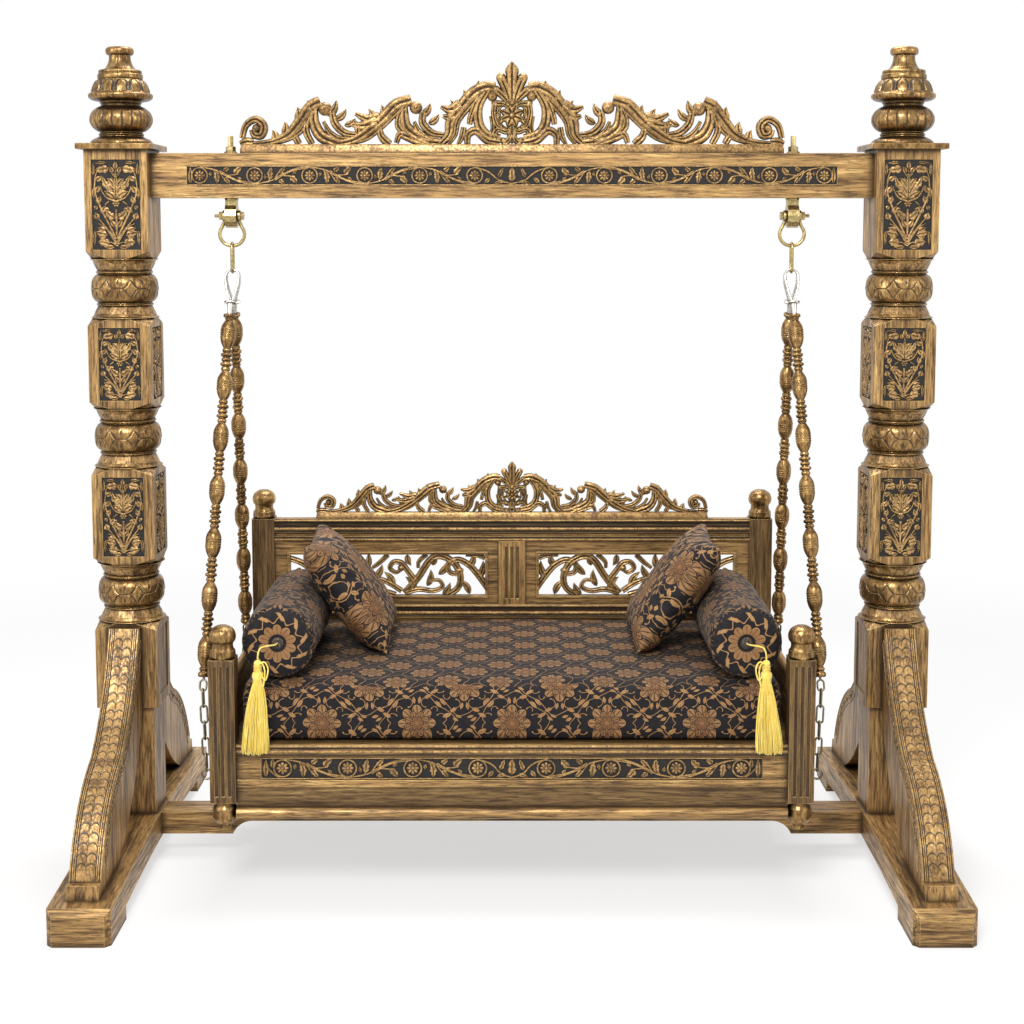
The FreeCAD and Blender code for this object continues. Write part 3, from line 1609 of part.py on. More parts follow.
def pillow_shape():
    """A square pillow on its own axes: thin at the seam, full in the middle, drawn-in sides."""
    half = float(S.pillow_half)
    seam = float(S.pillow_seam) / 2
    swell = float(S.pillow_thickness) / 2 - seam

    def pair(start, run):
        across = FreeCAD.Vector(0, 1, 0) if run.x else FreeCAD.Vector(1, 0, 0)
        corners = [(-half, -seam), (half, -seam), (half, seam), (-half, seam)]
        places = [start + across * u + FreeCAD.Vector(0, 0, v) for u, v in corners]
        low = start - FreeCAD.Vector(0, 0, seam + swell)
        high = start + FreeCAD.Vector(0, 0, seam + swell)
        outline = Part.Wire([
            Part.Arc(places[0], low, places[1]).toShape(),
            Part.LineSegment(places[1], places[2]).toShape(),
            Part.Arc(places[2], high, places[3]).toShape(),
            Part.LineSegment(places[3], places[0]).toShape(),
        ])
        return Part.Face(outline).extrude(run)

    lengthwise = pair(FreeCAD.Vector(-half, 0, 0), FreeCAD.Vector(half * 2, 0, 0))
    crosswise = pair(FreeCAD.Vector(0, -half, 0), FreeCAD.Vector(0, half * 2, 0))
    thick = float(S.pillow_thickness)
    plan = drawn_plan(half + seam, float(S.pillow_draw), -thick, thick * 2)
    return lengthwise.common(crosswise).common(plan).Solids[0]


def settle(shape, supports, direction):
    """Moves a shape along a direction until it lies a contact gap from its supports."""
    moved = shape.copy()
    gap = float(S.contact_gap)
    for _ in range(SETTLE_STEPS):
        room = min(moved.distToShape(support)[0] for support in supports)
        if room < gap * 2:
            break
        moved.translate(direction * (room - gap))
    return moved


def make_pillow(label, side, supports):
    """Let down until it lies on the mattress or leans on the bolster."""
    shape = pillow_shape()
    lean = FreeCAD.Rotation(FreeCAD.Vector(0, 1, 0), float(S.pillow_lean))
    place = vector(-S.pillow_x, S.pillow_y, S.pillow_height)
    shape.Placement = FreeCAD.Placement(place, lean)
    if side > 0:
        shape = shape.mirror(FreeCAD.Vector(), FreeCAD.Vector(1, 0, 0))
    shape = settle(shape, supports, FreeCAD.Vector(0, 0, -1))
    solid_piece(label, shape)


def make_tassel(label, side):
    """A bound head and a flat, flared skirt of silk that leans a little outwards."""
    top = vector(S.tassel_x * side, -S.tassel_y, S.tassel_top)
    head_height = float(S.tassel_head_height)
    drop = float(S.tassel_top - S.tassel_head_height - S.tassel_skirt_bottom)
    head = facet_turning([
        (S.tassel_neck_radius / 2, ZERO),
        (S.tassel_head_radius, S.tassel_head_height / 4),
        (S.tassel_head_radius, S.tassel_head_height / 2),
        (S.tassel_neck_radius, S.tassel_head_height),
    ], TASSEL_FACETS, top, along=FreeCAD.Vector(0, 0, -1))
    lean = FreeCAD.Vector(float(S.tassel_lean) * side / drop, 0, -1)
    flat = S.tassel_skirt_radius / S.tassel_skirt_half
    skirt = facet_turning([
        (S.tassel_neck_radius, ZERO),
        (S.tassel_skirt_half * TASSEL_FLARE_SHARE, S.tassel_skirt_half),
        (S.tassel_skirt_half, Size(drop, repr(drop))),
    ], TASSEL_FACETS, top - FreeCAD.Vector(0, 0, head_height), lean, depth=FreeCAD.Vector(0, float(flat), 0))
    solid_piece(label, head.fuse(skirt).removeSplitter().Solids[0])


def make_tassel_cord(label, side):
    """The tassel's cord, out of the bolster's button and down to the tassel's head."""
    route = [FreeCAD.Vector(x * side, y, z) for x, y, z in CORD_ROUTE]
    front = -float(S.bolster_front - S.bolster_dish / 2)
    start = FreeCAD.Vector(route[0].x, front, route[0].z)
    end = FreeCAD.Vector(route[-1].x, route[-1].y, float(S.tassel_top))
    points = [start] + route + [end]
    edges = []
    reach = []
    for k in range(1, len(points) - 1):
        before, after = points[k - 1] - points[k], points[k + 1] - points[k]
        turn = math.pi - before.getAngle(after)
        cut = CORD_BEND_SHARE * min(before.Length, after.Length)
        reach.append((cut, cut / math.tan(turn / 2)))
    place = points[0]
    for k in range(1, len(points) - 1):
        before = (points[k - 1] - points[k]).normalize()
        after = (points[k + 1] - points[k]).normalize()
        cut, radius = reach[k - 1]
        start, end = points[k] + before * cut, points[k] + after * cut
        bisector = (before + after).normalize()
        centre_run = math.hypot(radius, cut)
        middle = points[k] + bisector * (centre_run - radius)
        edges.append(Part.LineSegment(place, start).toShape())
        edges.append(Part.Arc(start, middle, end).toShape())
        place = end
        print(f"{label} arc radius {radius:.1f}")
    edges.append(Part.LineSegment(place, points[-1]).toShape())
    path = Part.Wire(edges)
    along = (points[1] - points[0]).normalize()
    across = along.cross(FreeCAD.Vector(0, 0, 1)).normalize()
    depth = along.cross(across)
    section = []
    for k in range(WIRE_SIDES + 1):
        angle = 2 * math.pi * k / WIRE_SIDES
        spoke = across * math.cos(angle) + depth * math.sin(angle)
        section.append(points[0] + spoke * float(S.cord_radius))
    profile = Part.makePolygon(section)
    tube = path.makePipeShell([profile], True, False)
    expected = Part.Face(profile).Area * path.Length
    print(f"{label} length {path.Length:.1f} volume share {tube.Volume / expected:.3f}")
    solid_piece(label, tube.Solids[0] if tube.Solids else tube)


SIDES = (("left", -1), ("right", 1))


def make_stand():
    for name, side in SIDES:
        make_foot_beam(f"{name}_foot_beam", side)
        make_post(f"{name}_post", side)
        make_finial(f"{name}_finial", side)
        make_brace(f"{name}_front_brace", side, 0)
        make_brace(f"{name}_rear_brace", side, 180)
    make_stretcher()
    make_crossbeam()
    make_crest(
        "crossbeam_crest", S.crest_half, BEAM_LOW + S.beam_height, S.crest_base_height,
        S.crest_rise, S.crest_base_half, S.crest_board_half, ZERO,
    )
    group_pieces("hanger_bearings", [make_hanger_bearing(name, side) for name, side in SIDES])
    make_hanger_nuts()


def make_hanging_gear():
    group_pieces("pivot_pins", [make_pin(name, side) for name, side in SIDES])
    solid_piece("shackles", Part.makeCompound([shackle(side) for name, side in SIDES]))
    eyes = []
    for name, side in SIDES:
        make_link(f"{name}_link", side)
        eyes += wire_eyes(side)
        for place, front in (("front", True), ("rear", False)):
            make_rod(f"{name}_{place}_rod", side, front)
            make_chain(f"{name}_{place}_chain", side, front)
    solid_piece("rod_eyes", Part.makeCompound(eyes))
    make_eye_screws()


def make_seat():
    for name, side in SIDES:
        make_seat_post(f"front_{name}_seat_post", side, True)
        make_seat_post(f"rear_{name}_seat_post", side, False)
        make_side_rail(f"{name}_side_rail", side)
        make_arm_panel(f"{name}_arm_panel", side)
        make_back_panel(f"{name}_back_panel", side)
    make_front_apron()
    make_front_bottom_rail()
    make_rear_apron()
    make_seat_deck()
    make_back_top_rail()
    make_back_bottom_rail()
    make_back_stile()
    crest_y = S.seat_rear + S.back_setback + S.back_thickness / 2
    make_crest(
        "back_crest", S.back_crest_half, S.rear_square_top, S.back_crest_base_height,
        S.back_crest_rise, S.back_crest_base_half, S.back_crest_board_half, crest_y,
    )


def make_soft_pieces():
    mattress = make_mattress().Shape
    for name, side in SIDES:
        bolster = make_bolster(f"{name}_bolster", side, [mattress]).Shape
        make_pillow(f"{name}_pillow", side, [mattress, bolster])
        make_tassel(f"{name}_tassel", side)
        make_tassel_cord(f"{name}_tassel_cord", side)


def check_and_export():
    document.recompute()
    for item in document.Objects:
        bad = {"Invalid", "Error"} & set(item.State)
        if bad:
            raise ValueError(f"{item.Label}: {sorted(bad)}")
    os.makedirs("parts", exist_ok=True)
    for piece in pieces:
        shape = piece.Shape
        if shape.isNull() or not shape.isValid():
            raise ValueError(f"{piece.Label} has no valid shape")
        shape.exportStep(os.path.join("parts", f"{piece.Label}.step"))
    print(len(pieces), "pieces")


make_stand()
make_hanging_gear()
make_seat()
make_soft_pieces()
check_and_export()
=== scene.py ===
"""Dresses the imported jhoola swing: gilded carving, hardware, damask cushions and silk tassels."""
import math

import bpy
import numpy as np
from mathutils import Matrix, Vector


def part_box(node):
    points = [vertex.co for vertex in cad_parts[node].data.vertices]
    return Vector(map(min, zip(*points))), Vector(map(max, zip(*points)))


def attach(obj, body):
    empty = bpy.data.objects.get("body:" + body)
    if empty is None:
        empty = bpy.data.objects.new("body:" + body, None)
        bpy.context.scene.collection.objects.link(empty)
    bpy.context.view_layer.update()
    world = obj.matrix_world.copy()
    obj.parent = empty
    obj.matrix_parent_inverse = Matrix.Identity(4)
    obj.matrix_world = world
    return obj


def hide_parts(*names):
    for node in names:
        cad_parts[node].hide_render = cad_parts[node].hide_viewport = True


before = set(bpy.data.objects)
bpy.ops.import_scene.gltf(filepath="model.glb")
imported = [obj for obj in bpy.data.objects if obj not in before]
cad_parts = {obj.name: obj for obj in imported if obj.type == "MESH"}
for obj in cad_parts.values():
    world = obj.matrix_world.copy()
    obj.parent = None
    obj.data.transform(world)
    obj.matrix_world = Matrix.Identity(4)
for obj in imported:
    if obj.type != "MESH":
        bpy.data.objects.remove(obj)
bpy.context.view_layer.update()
MM = 0.001
SIDES = (("left", -1), ("right", 1))

# Sizes in millimetres, as the solids have them
POST_X = 1010
BLOCK_HALF = 80.5
POST_TOP = 1866
BLOCKS = (281, 240, 260, 229)
TURNED = 148
PANEL_HALVES = (62, 54, 54, 54)
PANEL_MARGIN = 26
PANEL_DEPTH = 3
BEAM_LOW, BEAM_HEIGHT, BEAM_HALF = 1744, 114, 37
FRIEZE_HALF, FRIEZE_MARGIN = 836, 34
CREST_HALF, CREST_BASE, CREST_RISE = 703, 24, 211
BACK_CREST_HALF, BACK_CREST_BASE, BACK_CREST_RISE = 558, 18, 145
HANGER_X, PIVOT_Z = 728, 1698
SEAT_POST_X, SEAT_POST_HALF = 709, 31.7
SEAT_FRONT, SEAT_REAR = 395, 335
FRONT_SQUARE_TOP, REAR_SQUARE_TOP = 619, 843
APRON_FACE = 385
APRON_FRIEZE = (320, 370)
APRON_FRIEZE_HALF = 614
RAIL_OUTER = 734
BACK_FACE = 341
OPENING = (77, 621, 633, 740)
MATTRESS = (-671, 671, -366, 332, 406, 556)
BOLSTER_X, BOLSTER_R, BOLSTER_Z = 577, 92, 650.7
BOLSTER_Y = (-350, 150)
TASSEL = (617, -407, 624, 390)


# Materials

def srgb(red, green, blue):
    """A colour as it is seen, turned into the linear one that a shader takes."""
    def linear(value):
        return value / 12.92 if value <= 0.04045 else ((value + 0.055) / 1.055) ** 2.4
    return (linear(red), linear(green), linear(blue), 1.0)


class Graph:
    """A material's node tree, with short calls for what is made again and again."""

    def __init__(self, name):
        self.material = bpy.data.materials.new(name)
        self.material.use_nodes = True
        self.tree = self.material.node_tree
        self.tree.nodes.clear()
        self.output = self.tree.nodes.new("ShaderNodeOutputMaterial")
        self.shader = self.tree.nodes.new("ShaderNodeBsdfPrincipled")
        self.tree.links.new(self.shader.outputs["BSDF"], self.output.inputs["Surface"])
        self.place = self.tree.nodes.new("ShaderNodeTexCoord")

    def put(self, socket, value):
        if isinstance(value, bpy.types.NodeSocket):
            self.tree.links.new(value, socket)
        elif value is not None:
            socket.default_value = value

    def node(self, kind, settings=None, **inputs):
        made = self.tree.nodes.new(kind)
        for name, value in (settings or {}).items():
            setattr(made, name, value)
        for name, value in inputs.items():
            self.put(made.inputs[name.replace("_", " ")], value)
        return made

    def math(self, operation, first, second=None, third=None, clamp=False):
        made = self.tree.nodes.new("ShaderNodeMath")
        made.operation = operation
        made.use_clamp = clamp
        for k, value in enumerate((first, second, third)):
            self.put(made.inputs[k], value)
        return made.outputs[0]

    def vector(self, operation, first, second):
        made = self.tree.nodes.new("ShaderNodeVectorMath")
        made.operation = operation
        self.put(made.inputs[0], first)
        self.put(made.inputs[1], second)
        return made.outputs[0]

    def split(self, vector):
        made = self.node("ShaderNodeSeparateXYZ")
        self.put(made.inputs[0], vector)
        return made.outputs

    def step(self, value, low, high, out_low=0.0, out_high=1.0):
        """A smooth ramp between two values."""
        made = self.tree.nodes.new("ShaderNodeMapRange")
        made.interpolation_type = "SMOOTHSTEP"
        for k, part in enumerate((value, low, high, out_low, out_high)):
            self.put(made.inputs[k], part)
        return made.outputs[0]

    def mix(self, share, first, second, blend="MIX"):
        made = self.tree.nodes.new("ShaderNodeMix")
        made.data_type = "RGBA"
        made.blend_type = blend
        self.put(made.inputs[0], share)
        self.put(made.inputs[6], first)
        self.put(made.inputs[7], second)
        return made.outputs[2]

    def choose(self, share, first, second):
        """A value between two numbers, by a share of the second."""
        rest = self.math("MULTIPLY", first, self.math("SUBTRACT", 1.0, share))
        return self.math("ADD", rest, self.math("MULTIPLY", second, share))

    def blend(self, share, first, second):
        """A place between two places, by a share of the second."""
        made = self.tree.nodes.new("ShaderNodeMix")
        made.data_type = "VECTOR"
        self.put(made.inputs[0], share)
        self.put(made.inputs[4], first)
        self.put(made.inputs[5], second)
        return made.outputs[1]

    def attribute(self, name):
        made = self.tree.nodes.new("ShaderNodeAttribute")
        made.attribute_name = name
        return made.outputs["Fac"]

    def noise(self, vector, scale, detail=3.0, rough=0.55):
        made = self.tree.nodes.new("ShaderNodeTexNoise")
        self.put(made.inputs["Vector"], vector)
        made.inputs["Scale"].default_value = scale
        made.inputs["Detail"].default_value = detail
        made.inputs["Roughness"].default_value = rough
        return made.outputs["Fac"]

    def stretched(self, grain):
        """Object coordinates, drawn out along the grain."""
        return self.vector("MULTIPLY", self.place.outputs["Object"], grain)

    def hollows(self, distance):
        """Ambient occlusion, used for painted shade: one in the open, falling towards zero in crevices."""
        made = self.tree.nodes.new("ShaderNodeAmbientOcclusion")
        made.samples = 6
        made.inputs["Distance"].default_value = distance
        return made.outputs["AO"]

    def edges(self, radius):
        """How much a rounded edge would turn the surface here."""
        round_off = self.tree.nodes.new("ShaderNodeBevel")
        round_off.samples = 3
        round_off.inputs["Radius"].default_value = radius
        flat = self.tree.nodes.new("ShaderNodeNewGeometry")
        made = self.tree.nodes.new("ShaderNodeVectorMath")
        made.operation = "DOT_PRODUCT"
        self.put(made.inputs[0], round_off.outputs[0])
        self.put(made.inputs[1], flat.outputs["Normal"])
        return made.outputs["Value"], round_off.outputs[0]

    def bump(self, height, strength, distance, normal=None):
        made = self.tree.nodes.new("ShaderNodeBump")
        made.inputs["Strength"].default_value = strength
        made.inputs["Distance"].default_value = distance
        self.put(made.inputs["Height"], height)
        self.put(made.inputs["Normal"], normal)
        return made.outputs[0]

    def finish(self, **values):
        for name, value in values.items():
            self.put(self.shader.inputs[name.replace("_", " ")], value)
        return self.material


GOLD_HIGH = srgb(0.93, 0.77, 0.50)
GOLD_MID = srgb(0.70, 0.55, 0.34)
GOLD_LOW = srgb(0.44, 0.33, 0.20)
# The umber is the dark wood under the gold and also serves as painted shade
UMBER_AND_SHADE = srgb(0.19, 0.135, 0.08)
# The pitch colour is the near-black carved ground and also serves as painted shade in grooves
PITCH_AND_SHADE = srgb(0.075, 0.058, 0.042)


def gilded(name, grain, worn=1.0, metal=0.50, rough=0.38, hollow=0.022, soft_edge=0.0022, cross=None,
           shade_band=None, dull=0.06):
    """Antique gold brushed along the grain over dark wood: painted shade with some dark patina in hollows, a
    painted highlight with rubbed wear on edges.
    """
    g = Graph(name)
    place = g.stretched(grain)
    if cross:
        along = g.step(g.math("ABSOLUTE", g.split(g.place.outputs["Normal"])[1]), 0.5, 0.6)
        place = g.blend(along, place, g.stretched(cross))
    cloud = g.noise(g.place.outputs["Object"], 6.0, 3.0)
    patch = g.noise(place, 26.0, 3.0, 0.6)
    streak = g.noise(place, 150.0, 4.0, 0.65)
    scratch = g.noise(place, 420.0, 3.0, 0.7)
    tone = g.math("ADD", g.math("MULTIPLY", streak, 0.62), g.math("MULTIPLY", patch, 0.38))
    colour = g.mix(g.step(tone, 0.41, 0.55), GOLD_LOW, GOLD_MID)
    colour = g.mix(g.step(tone, 0.54, 0.68), colour, GOLD_HIGH)
    bare = g.step(g.math("ADD", scratch, g.math("MULTIPLY", cloud, 0.25)), 0.62, 0.76)
    colour = g.mix(g.math("MULTIPLY", bare, 0.70 * worn), colour, UMBER_AND_SHADE)
    deep = g.step(tone, 0.44, 0.35, 0.0, 0.75 * worn)
    colour = g.mix(deep, colour, UMBER_AND_SHADE)
    # Painted shade: darker over a band of heights, as on the apron's lower board and the seat posts
    if shade_band:
        z = g.split(g.place.outputs["Object"])[2]
        low = g.step(z, shade_band[0] - 0.002, shade_band[0] + 0.002)
        share = g.math("MULTIPLY", low, g.step(z, shade_band[1] + 0.002, shade_band[1] - 0.002, 0.0, 0.50))
        colour = g.mix(share, colour, UMBER_AND_SHADE)
    # Painted shade in hollows and crevices from ambient occlusion, broken by the streaks as a little dark
    # patina
    hollow_shade_and_patina = g.step(g.math("SUBTRACT", g.hollows(hollow), g.math("MULTIPLY", streak, 0.16)), 0.42, 0.92,
                    0.94, 0.0)
    colour = g.mix(hollow_shade_and_patina, colour, UMBER_AND_SHADE)
    # Painted highlight on rounded edges, standing also for rubbed wear there
    turn, normal = g.edges(soft_edge)
    rubbed_edge_highlight = g.step(g.math("ADD", turn, g.math("MULTIPLY", streak, 0.06)), 0.90, 1.01, 0.9, 0.0)
    colour = g.mix(rubbed_edge_highlight, colour, GOLD_HIGH)
    colour = g.mix(dull, colour, UMBER_AND_SHADE)
    # Painted shade in carved grooves and at the foot of raised carving, from the per-point attribute; those
    # places are also made less metallic
    groove_shade = g.attribute("hollow")
    colour = g.mix(g.math("MULTIPLY", groove_shade, 0.95), colour, PITCH_AND_SHADE)
    height = g.math("ADD", g.math("MULTIPLY", streak, 0.7), g.math("MULTIPLY", scratch, 0.5))
    return g.finish(
        Base_Color=colour,
        Metallic=g.math("MULTIPLY", g.math("SUBTRACT", 1.0, groove_shade), metal),
        Roughness=g.step(streak, 0.3, 0.75, rough + 0.14, rough - 0.05),
        Normal=g.bump(height, 0.40, 0.0012, normal),
    )


def dark_ground(name):
    """The near-black ground behind the relief, stippled and lightly dusted with gold."""
    g = Graph(name)
    grit = g.noise(g.place.outputs["Object"], 300.0, 3.0)
    dust = g.step(grit, 0.60, 0.74, 0.0, 0.55)
    return g.finish(
        Base_Color=g.mix(dust, PITCH_AND_SHADE, UMBER_AND_SHADE),
        Roughness=0.75,
        Normal=g.bump(grit, 0.8, 0.0016),
    )


def hardware(name, colour, dull, rough, metal=1.0):
    """Plated steel: faint clouds in the plating, with painted shade in the corners."""
    g = Graph(name)
    cloud = g.noise(g.place.outputs["Object"], 160.0, 3.0)
    tone = g.mix(g.step(cloud, 0.3, 0.75), dull, colour)
    # Painted shade in the corners, from ambient occlusion
    tone = g.mix(g.step(g.hollows(0.006), 0.35, 0.95, 0.75, 0.0), tone, UMBER_AND_SHADE)
    return g.finish(
        Base_Color=tone,
        Metallic=metal,
        Roughness=g.step(cloud, 0.2, 0.8, rough - 0.05, rough + 0.12),
        Normal=g.bump(cloud, 0.12, 0.0005),
    )


CHARCOAL = srgb(0.085, 0.075, 0.085)
BRONZE = srgb(0.66, 0.51, 0.33)
RUSSET = srgb(0.46, 0.29, 0.17)


def wrapped(g, value, size, shift=0.0):
    """Distance from the nearest whole step of a pattern, with its sign."""
    share = g.math("ADD", g.math("DIVIDE", value, size), 0.5 + shift)
    return g.math("MULTIPLY", g.math("SUBTRACT", g.math("FRACT", share), 0.5), size)


def lens(g, x, y, centre, angle, length, half):
    """A pointed leaf: one inside, falling to zero at its edge, with its midrib left out."""
    c, s = math.cos(angle), math.sin(angle)
    dx = g.math("SUBTRACT", x, centre[0])
    dy = g.math("SUBTRACT", y, centre[1])
    along = g.math("ADD", g.math("MULTIPLY", dx, c / length), g.math("MULTIPLY", dy, s / length))
    across = g.math("SUBTRACT", g.math("MULTIPLY", dy, c / half), g.math("MULTIPLY", dx, s / half))
    room = g.math("SUBTRACT", 1.0, g.math("MULTIPLY", along, along))
    reach = g.math("SUBTRACT", room, g.math("ABSOLUTE", across))
    rib = g.step(g.math("ABSOLUTE", across), 0.04, 0.16, 0.35, 1.0)
    return g.math("MULTIPLY", g.step(reach, 0.0, 0.14), rib)


def curl(g, x, y, centre, radius, thin, low, high):
    """Part of a ring, between two angles, with a round end."""
    dx = g.math("SUBTRACT", x, centre[0])
    dy = g.math("SUBTRACT", y, centre[1])
    reach = g.math("SQRT", g.math("ADD", g.math("MULTIPLY", dx, dx), g.math("MULTIPLY", dy, dy)))
    line = g.step(g.math("ABSOLUTE", g.math("SUBTRACT", reach, radius)), thin * 0.6, thin, 1.0, 0.0)
    middle, half = (low + high) / 2, (high - low) / 2
    turn = g.math("ARCTAN2", g.math("SUBTRACT", g.math("MULTIPLY", dy, math.cos(middle)),
                                    g.math("MULTIPLY", dx, math.sin(middle))),
                  g.math("ADD", g.math("MULTIPLY", dx, math.cos(middle)),
                         g.math("MULTIPLY", dy, math.sin(middle))))
    inside = g.step(g.math("ABSOLUTE", turn), half - 0.05, half + 0.02, 1.0, 0.0)
    end = (centre[0] + radius * math.cos(high), centre[1] + radius * math.sin(high))
    ex, ey = g.math("SUBTRACT", x, end[0]), g.math("SUBTRACT", y, end[1])
    dot = g.step(g.math("ADD", g.math("MULTIPLY", ex, ex), g.math("MULTIPLY", ey, ey)), (thin * 1.7) ** 2,
                 (thin * 2.2) ** 2, 1.0, 0.0)
    return g.math("MAXIMUM", g.math("MULTIPLY", line, inside), dot)


def damask(g, u, v, wide, tall, size, leafy=True):
    """Figured silk: flowers on a staggered lattice in medallions of thin stems, leaves and curls."""
    # A little unevenness, as in weaving
    drift = g.noise(g.place.outputs["Object"], 34.0, 2.0)
    u = g.math("ADD", u, g.math("MULTIPLY", g.math("SUBTRACT", drift, 0.5), 0.006))
    v = g.math("ADD", v, g.math("MULTIPLY", g.math("SUBTRACT", drift, 0.5), -0.006))
    near = (wrapped(g, u, wide), wrapped(g, v, tall))
    far = (wrapped(g, u, wide, 0.5), wrapped(g, v, tall, 0.5))
    share = g.math("ADD", g.math("ABSOLUTE", g.math("DIVIDE", near[0], wide)),
                   g.math("ABSOLUTE", g.math("DIVIDE", near[1], tall)))
    other = g.math("GREATER_THAN", share, 0.5)
    x = g.choose(other, near[0], far[0])
    y = g.choose(other, near[1], far[1])
    reach = g.math("SQRT", g.math("ADD", g.math("MULTIPLY", x, x), g.math("MULTIPLY", y, y)))
    angle = g.math("ARCTAN2", y, x)
    # Flower: rings of petals, each outlined and veined, round a knot
    figure, shade = None, None
    for petals, part, turn in ((8, 1.0, 0.0), (8, 0.68, 0.39), (6, 0.38, 0.0)):
        wave = g.math("COSINE", g.math("MULTIPLY", g.math("ADD", angle, turn), petals / 2))
        lobe = g.math("POWER", g.math("ABSOLUTE", wave), 0.55)
        rim = g.math("MULTIPLY", g.math("ADD", g.math("MULTIPLY", lobe, 0.42), 0.58), size * part)
        inside = g.math("SUBTRACT", rim, reach)
        body = g.step(inside, 0.0, 0.0008)
        edge = g.step(g.math("ABSOLUTE", g.math("SUBTRACT", inside, 0.0016)), 0.0006, 0.0013, 1.0, 0.0)
        vein = g.step(g.math("ABSOLUTE", g.math("SINE",
                                                g.math("MULTIPLY", g.math("ADD", angle, turn),
                                                       petals * 1.5))), 0.25, 0.70)
        fill = g.math("MULTIPLY", g.math("ADD", g.math("MULTIPLY", vein, 0.62), 0.20), body)
        petal = g.math("MAXIMUM", fill, g.math("MULTIPLY", edge, body))
        if figure is None:
            figure, shade = petal, g.math("MULTIPLY", body, 0.15)
        else:
            figure = g.choose(body, figure, petal)
            gap = g.step(g.math("ABSOLUTE", inside), 0.0008, 0.0018, 1.0, 0.0)
            figure = g.math("MULTIPLY", figure, g.math("SUBTRACT", 1.0, g.math("MULTIPLY", gap, 0.9)))
            shade = g.math("MAXIMUM", shade, g.math("MULTIPLY", body, 1.25 - part))
    knot = g.step(reach, size * 0.09, size * 0.12, 1.0, 0.0)
    figure = g.math("MAXIMUM", figure, knot)
    # Stems round it: level line of an even, nearly round field
    a = g.math("MULTIPLY", x, 2 * math.pi / wide)
    b = g.math("MULTIPLY", y, 2 * math.pi / tall)
    field = g.math("ADD", g.math("COSINE", a), g.math("COSINE", b))
    sx = g.math("MULTIPLY", g.math("SINE", a), 2 * math.pi / wide)
    sy = g.math("MULTIPLY", g.math("SINE", b), 2 * math.pi / tall)
    slope = g.math("SQRT", g.math("ADD",
                                  g.math("ADD", g.math("MULTIPLY", sx, sx), g.math("MULTIPLY", sy, sy)), 4.0))
    sway = g.math("MULTIPLY", g.math("SINE", g.math("MULTIPLY", angle, 6.0)), 0.14)
    away = g.math("DIVIDE", g.math("ABSOLUTE", g.math("SUBTRACT", g.math("ADD", field, sway), 0.22)), slope)
    thin = max(size * 0.020, 0.0007)
    figure = g.math("MAXIMUM", figure, g.step(away, thin * 0.6, thin * 1.1, 1.0, 0.0))
    if not leafy:
        return figure, shade
    # Leaves and curls, alike in the four quarters
    ax, ay = g.math("ABSOLUTE", x), g.math("ABSOLUTE", y)
    for px, py, turn, length, half in (
        (0.315, 0.100, 0.5, 0.062, 0.024), (0.225, 0.235, 2.3, 0.060, 0.024),
        (0.120, 0.335, 0.4, 0.055, 0.022),
        (0.030, 0.285, 1.4, 0.048, 0.019), (0.405, 0.050, 2.6, 0.045, 0.018),
        (0.060, 0.415, 2.8, 0.045, 0.018),
    ):
        leaf = lens(g, ax, ay, (px * wide, py * tall), turn, length * tall, half * tall)
        figure = g.math("MAXIMUM", figure, leaf)
    for px, py, radius, low, high in ((0.255, 0.060, 0.060, -1.2, 2.4), (0.095, 0.255, 0.055, 1.0, 4.6),
                                      (0.185, 0.170, 0.036, -0.6, 2.8)):
        figure = g.math("MAXIMUM", figure, curl(g, ax, ay, (px * wide, py * tall), radius * tall, thin, low,
                                                high))
    return figure, shade


def woven(g, u, v, figure, shade):
    """Colours, sheen and thread of a figured silk, from its figure."""
    wear = g.noise(g.place.outputs["Object"], 70.0, 3.0)
    flecks = g.noise(g.place.outputs["Object"], 700.0, 2.0)
    thread = g.mix(g.step(wear, 0.3, 0.7), BRONZE, srgb(0.60, 0.44, 0.28))
    thread = g.mix(g.math("MULTIPLY", shade, 0.75), thread, RUSSET)
    thread = g.mix(g.step(flecks, 0.5, 0.7, 0.0, 0.35), thread, RUSSET)
    ground = g.mix(g.step(wear, 0.35, 0.75), CHARCOAL, srgb(0.115, 0.10, 0.11))
    weft = g.math("SINE", g.math("MULTIPLY", v, 2 * math.pi / 0.0014))
    warp = g.math("SINE", g.math("MULTIPLY", u, 2 * math.pi / 0.0017))
    weave = g.math("MULTIPLY", weft, warp)
    raised = g.math("ADD", g.math("MULTIPLY", figure, 1.6), g.math("MULTIPLY", weave, 0.25))
    g.shader.inputs["Sheen Weight"].default_value = 0.05
    g.shader.inputs["Sheen Roughness"].default_value = 0.4
    g.shader.inputs["Specular IOR Level"].default_value = 0.22
    return g.finish(
        Base_Color=g.mix(figure, ground, thread),
        Roughness=g.step(figure, 0.0, 1.0, 0.70, 0.48),
        Normal=g.bump(raised, 0.55, 0.0007),
    )


MATTRESS_SHIFT = 0.166


def damask_mattress():
    g = Graph("damask_mattress")
    x, y, z = g.split(g.place.outputs["Object"])
    v = g.math("ADD", y, z)
    top = g.step(g.split(g.place.outputs["Normal"])[2], 0.55, 0.75)
    large, deep = damask(g, x, g.math("ADD", v, MATTRESS_SHIFT), 0.234, 0.205, 0.047)
    small, pale = damask(g, g.math("ADD", x, 0.03), v, 0.128, 0.124, 0.033, leafy=False)
    figure = g.choose(top, large, small)
    return woven(g, x, v, figure, g.choose(top, deep, pale))


def damask_pillow():
    g = Graph("damask_pillow")
    x, y, _ = g.split(g.place.outputs["Object"])
    figure, shade = damask(g, g.math("ADD", x, 0.04), g.math("ADD", y, 0.03), 0.215, 0.200, 0.054)
    return woven(g, x, y, figure, shade)


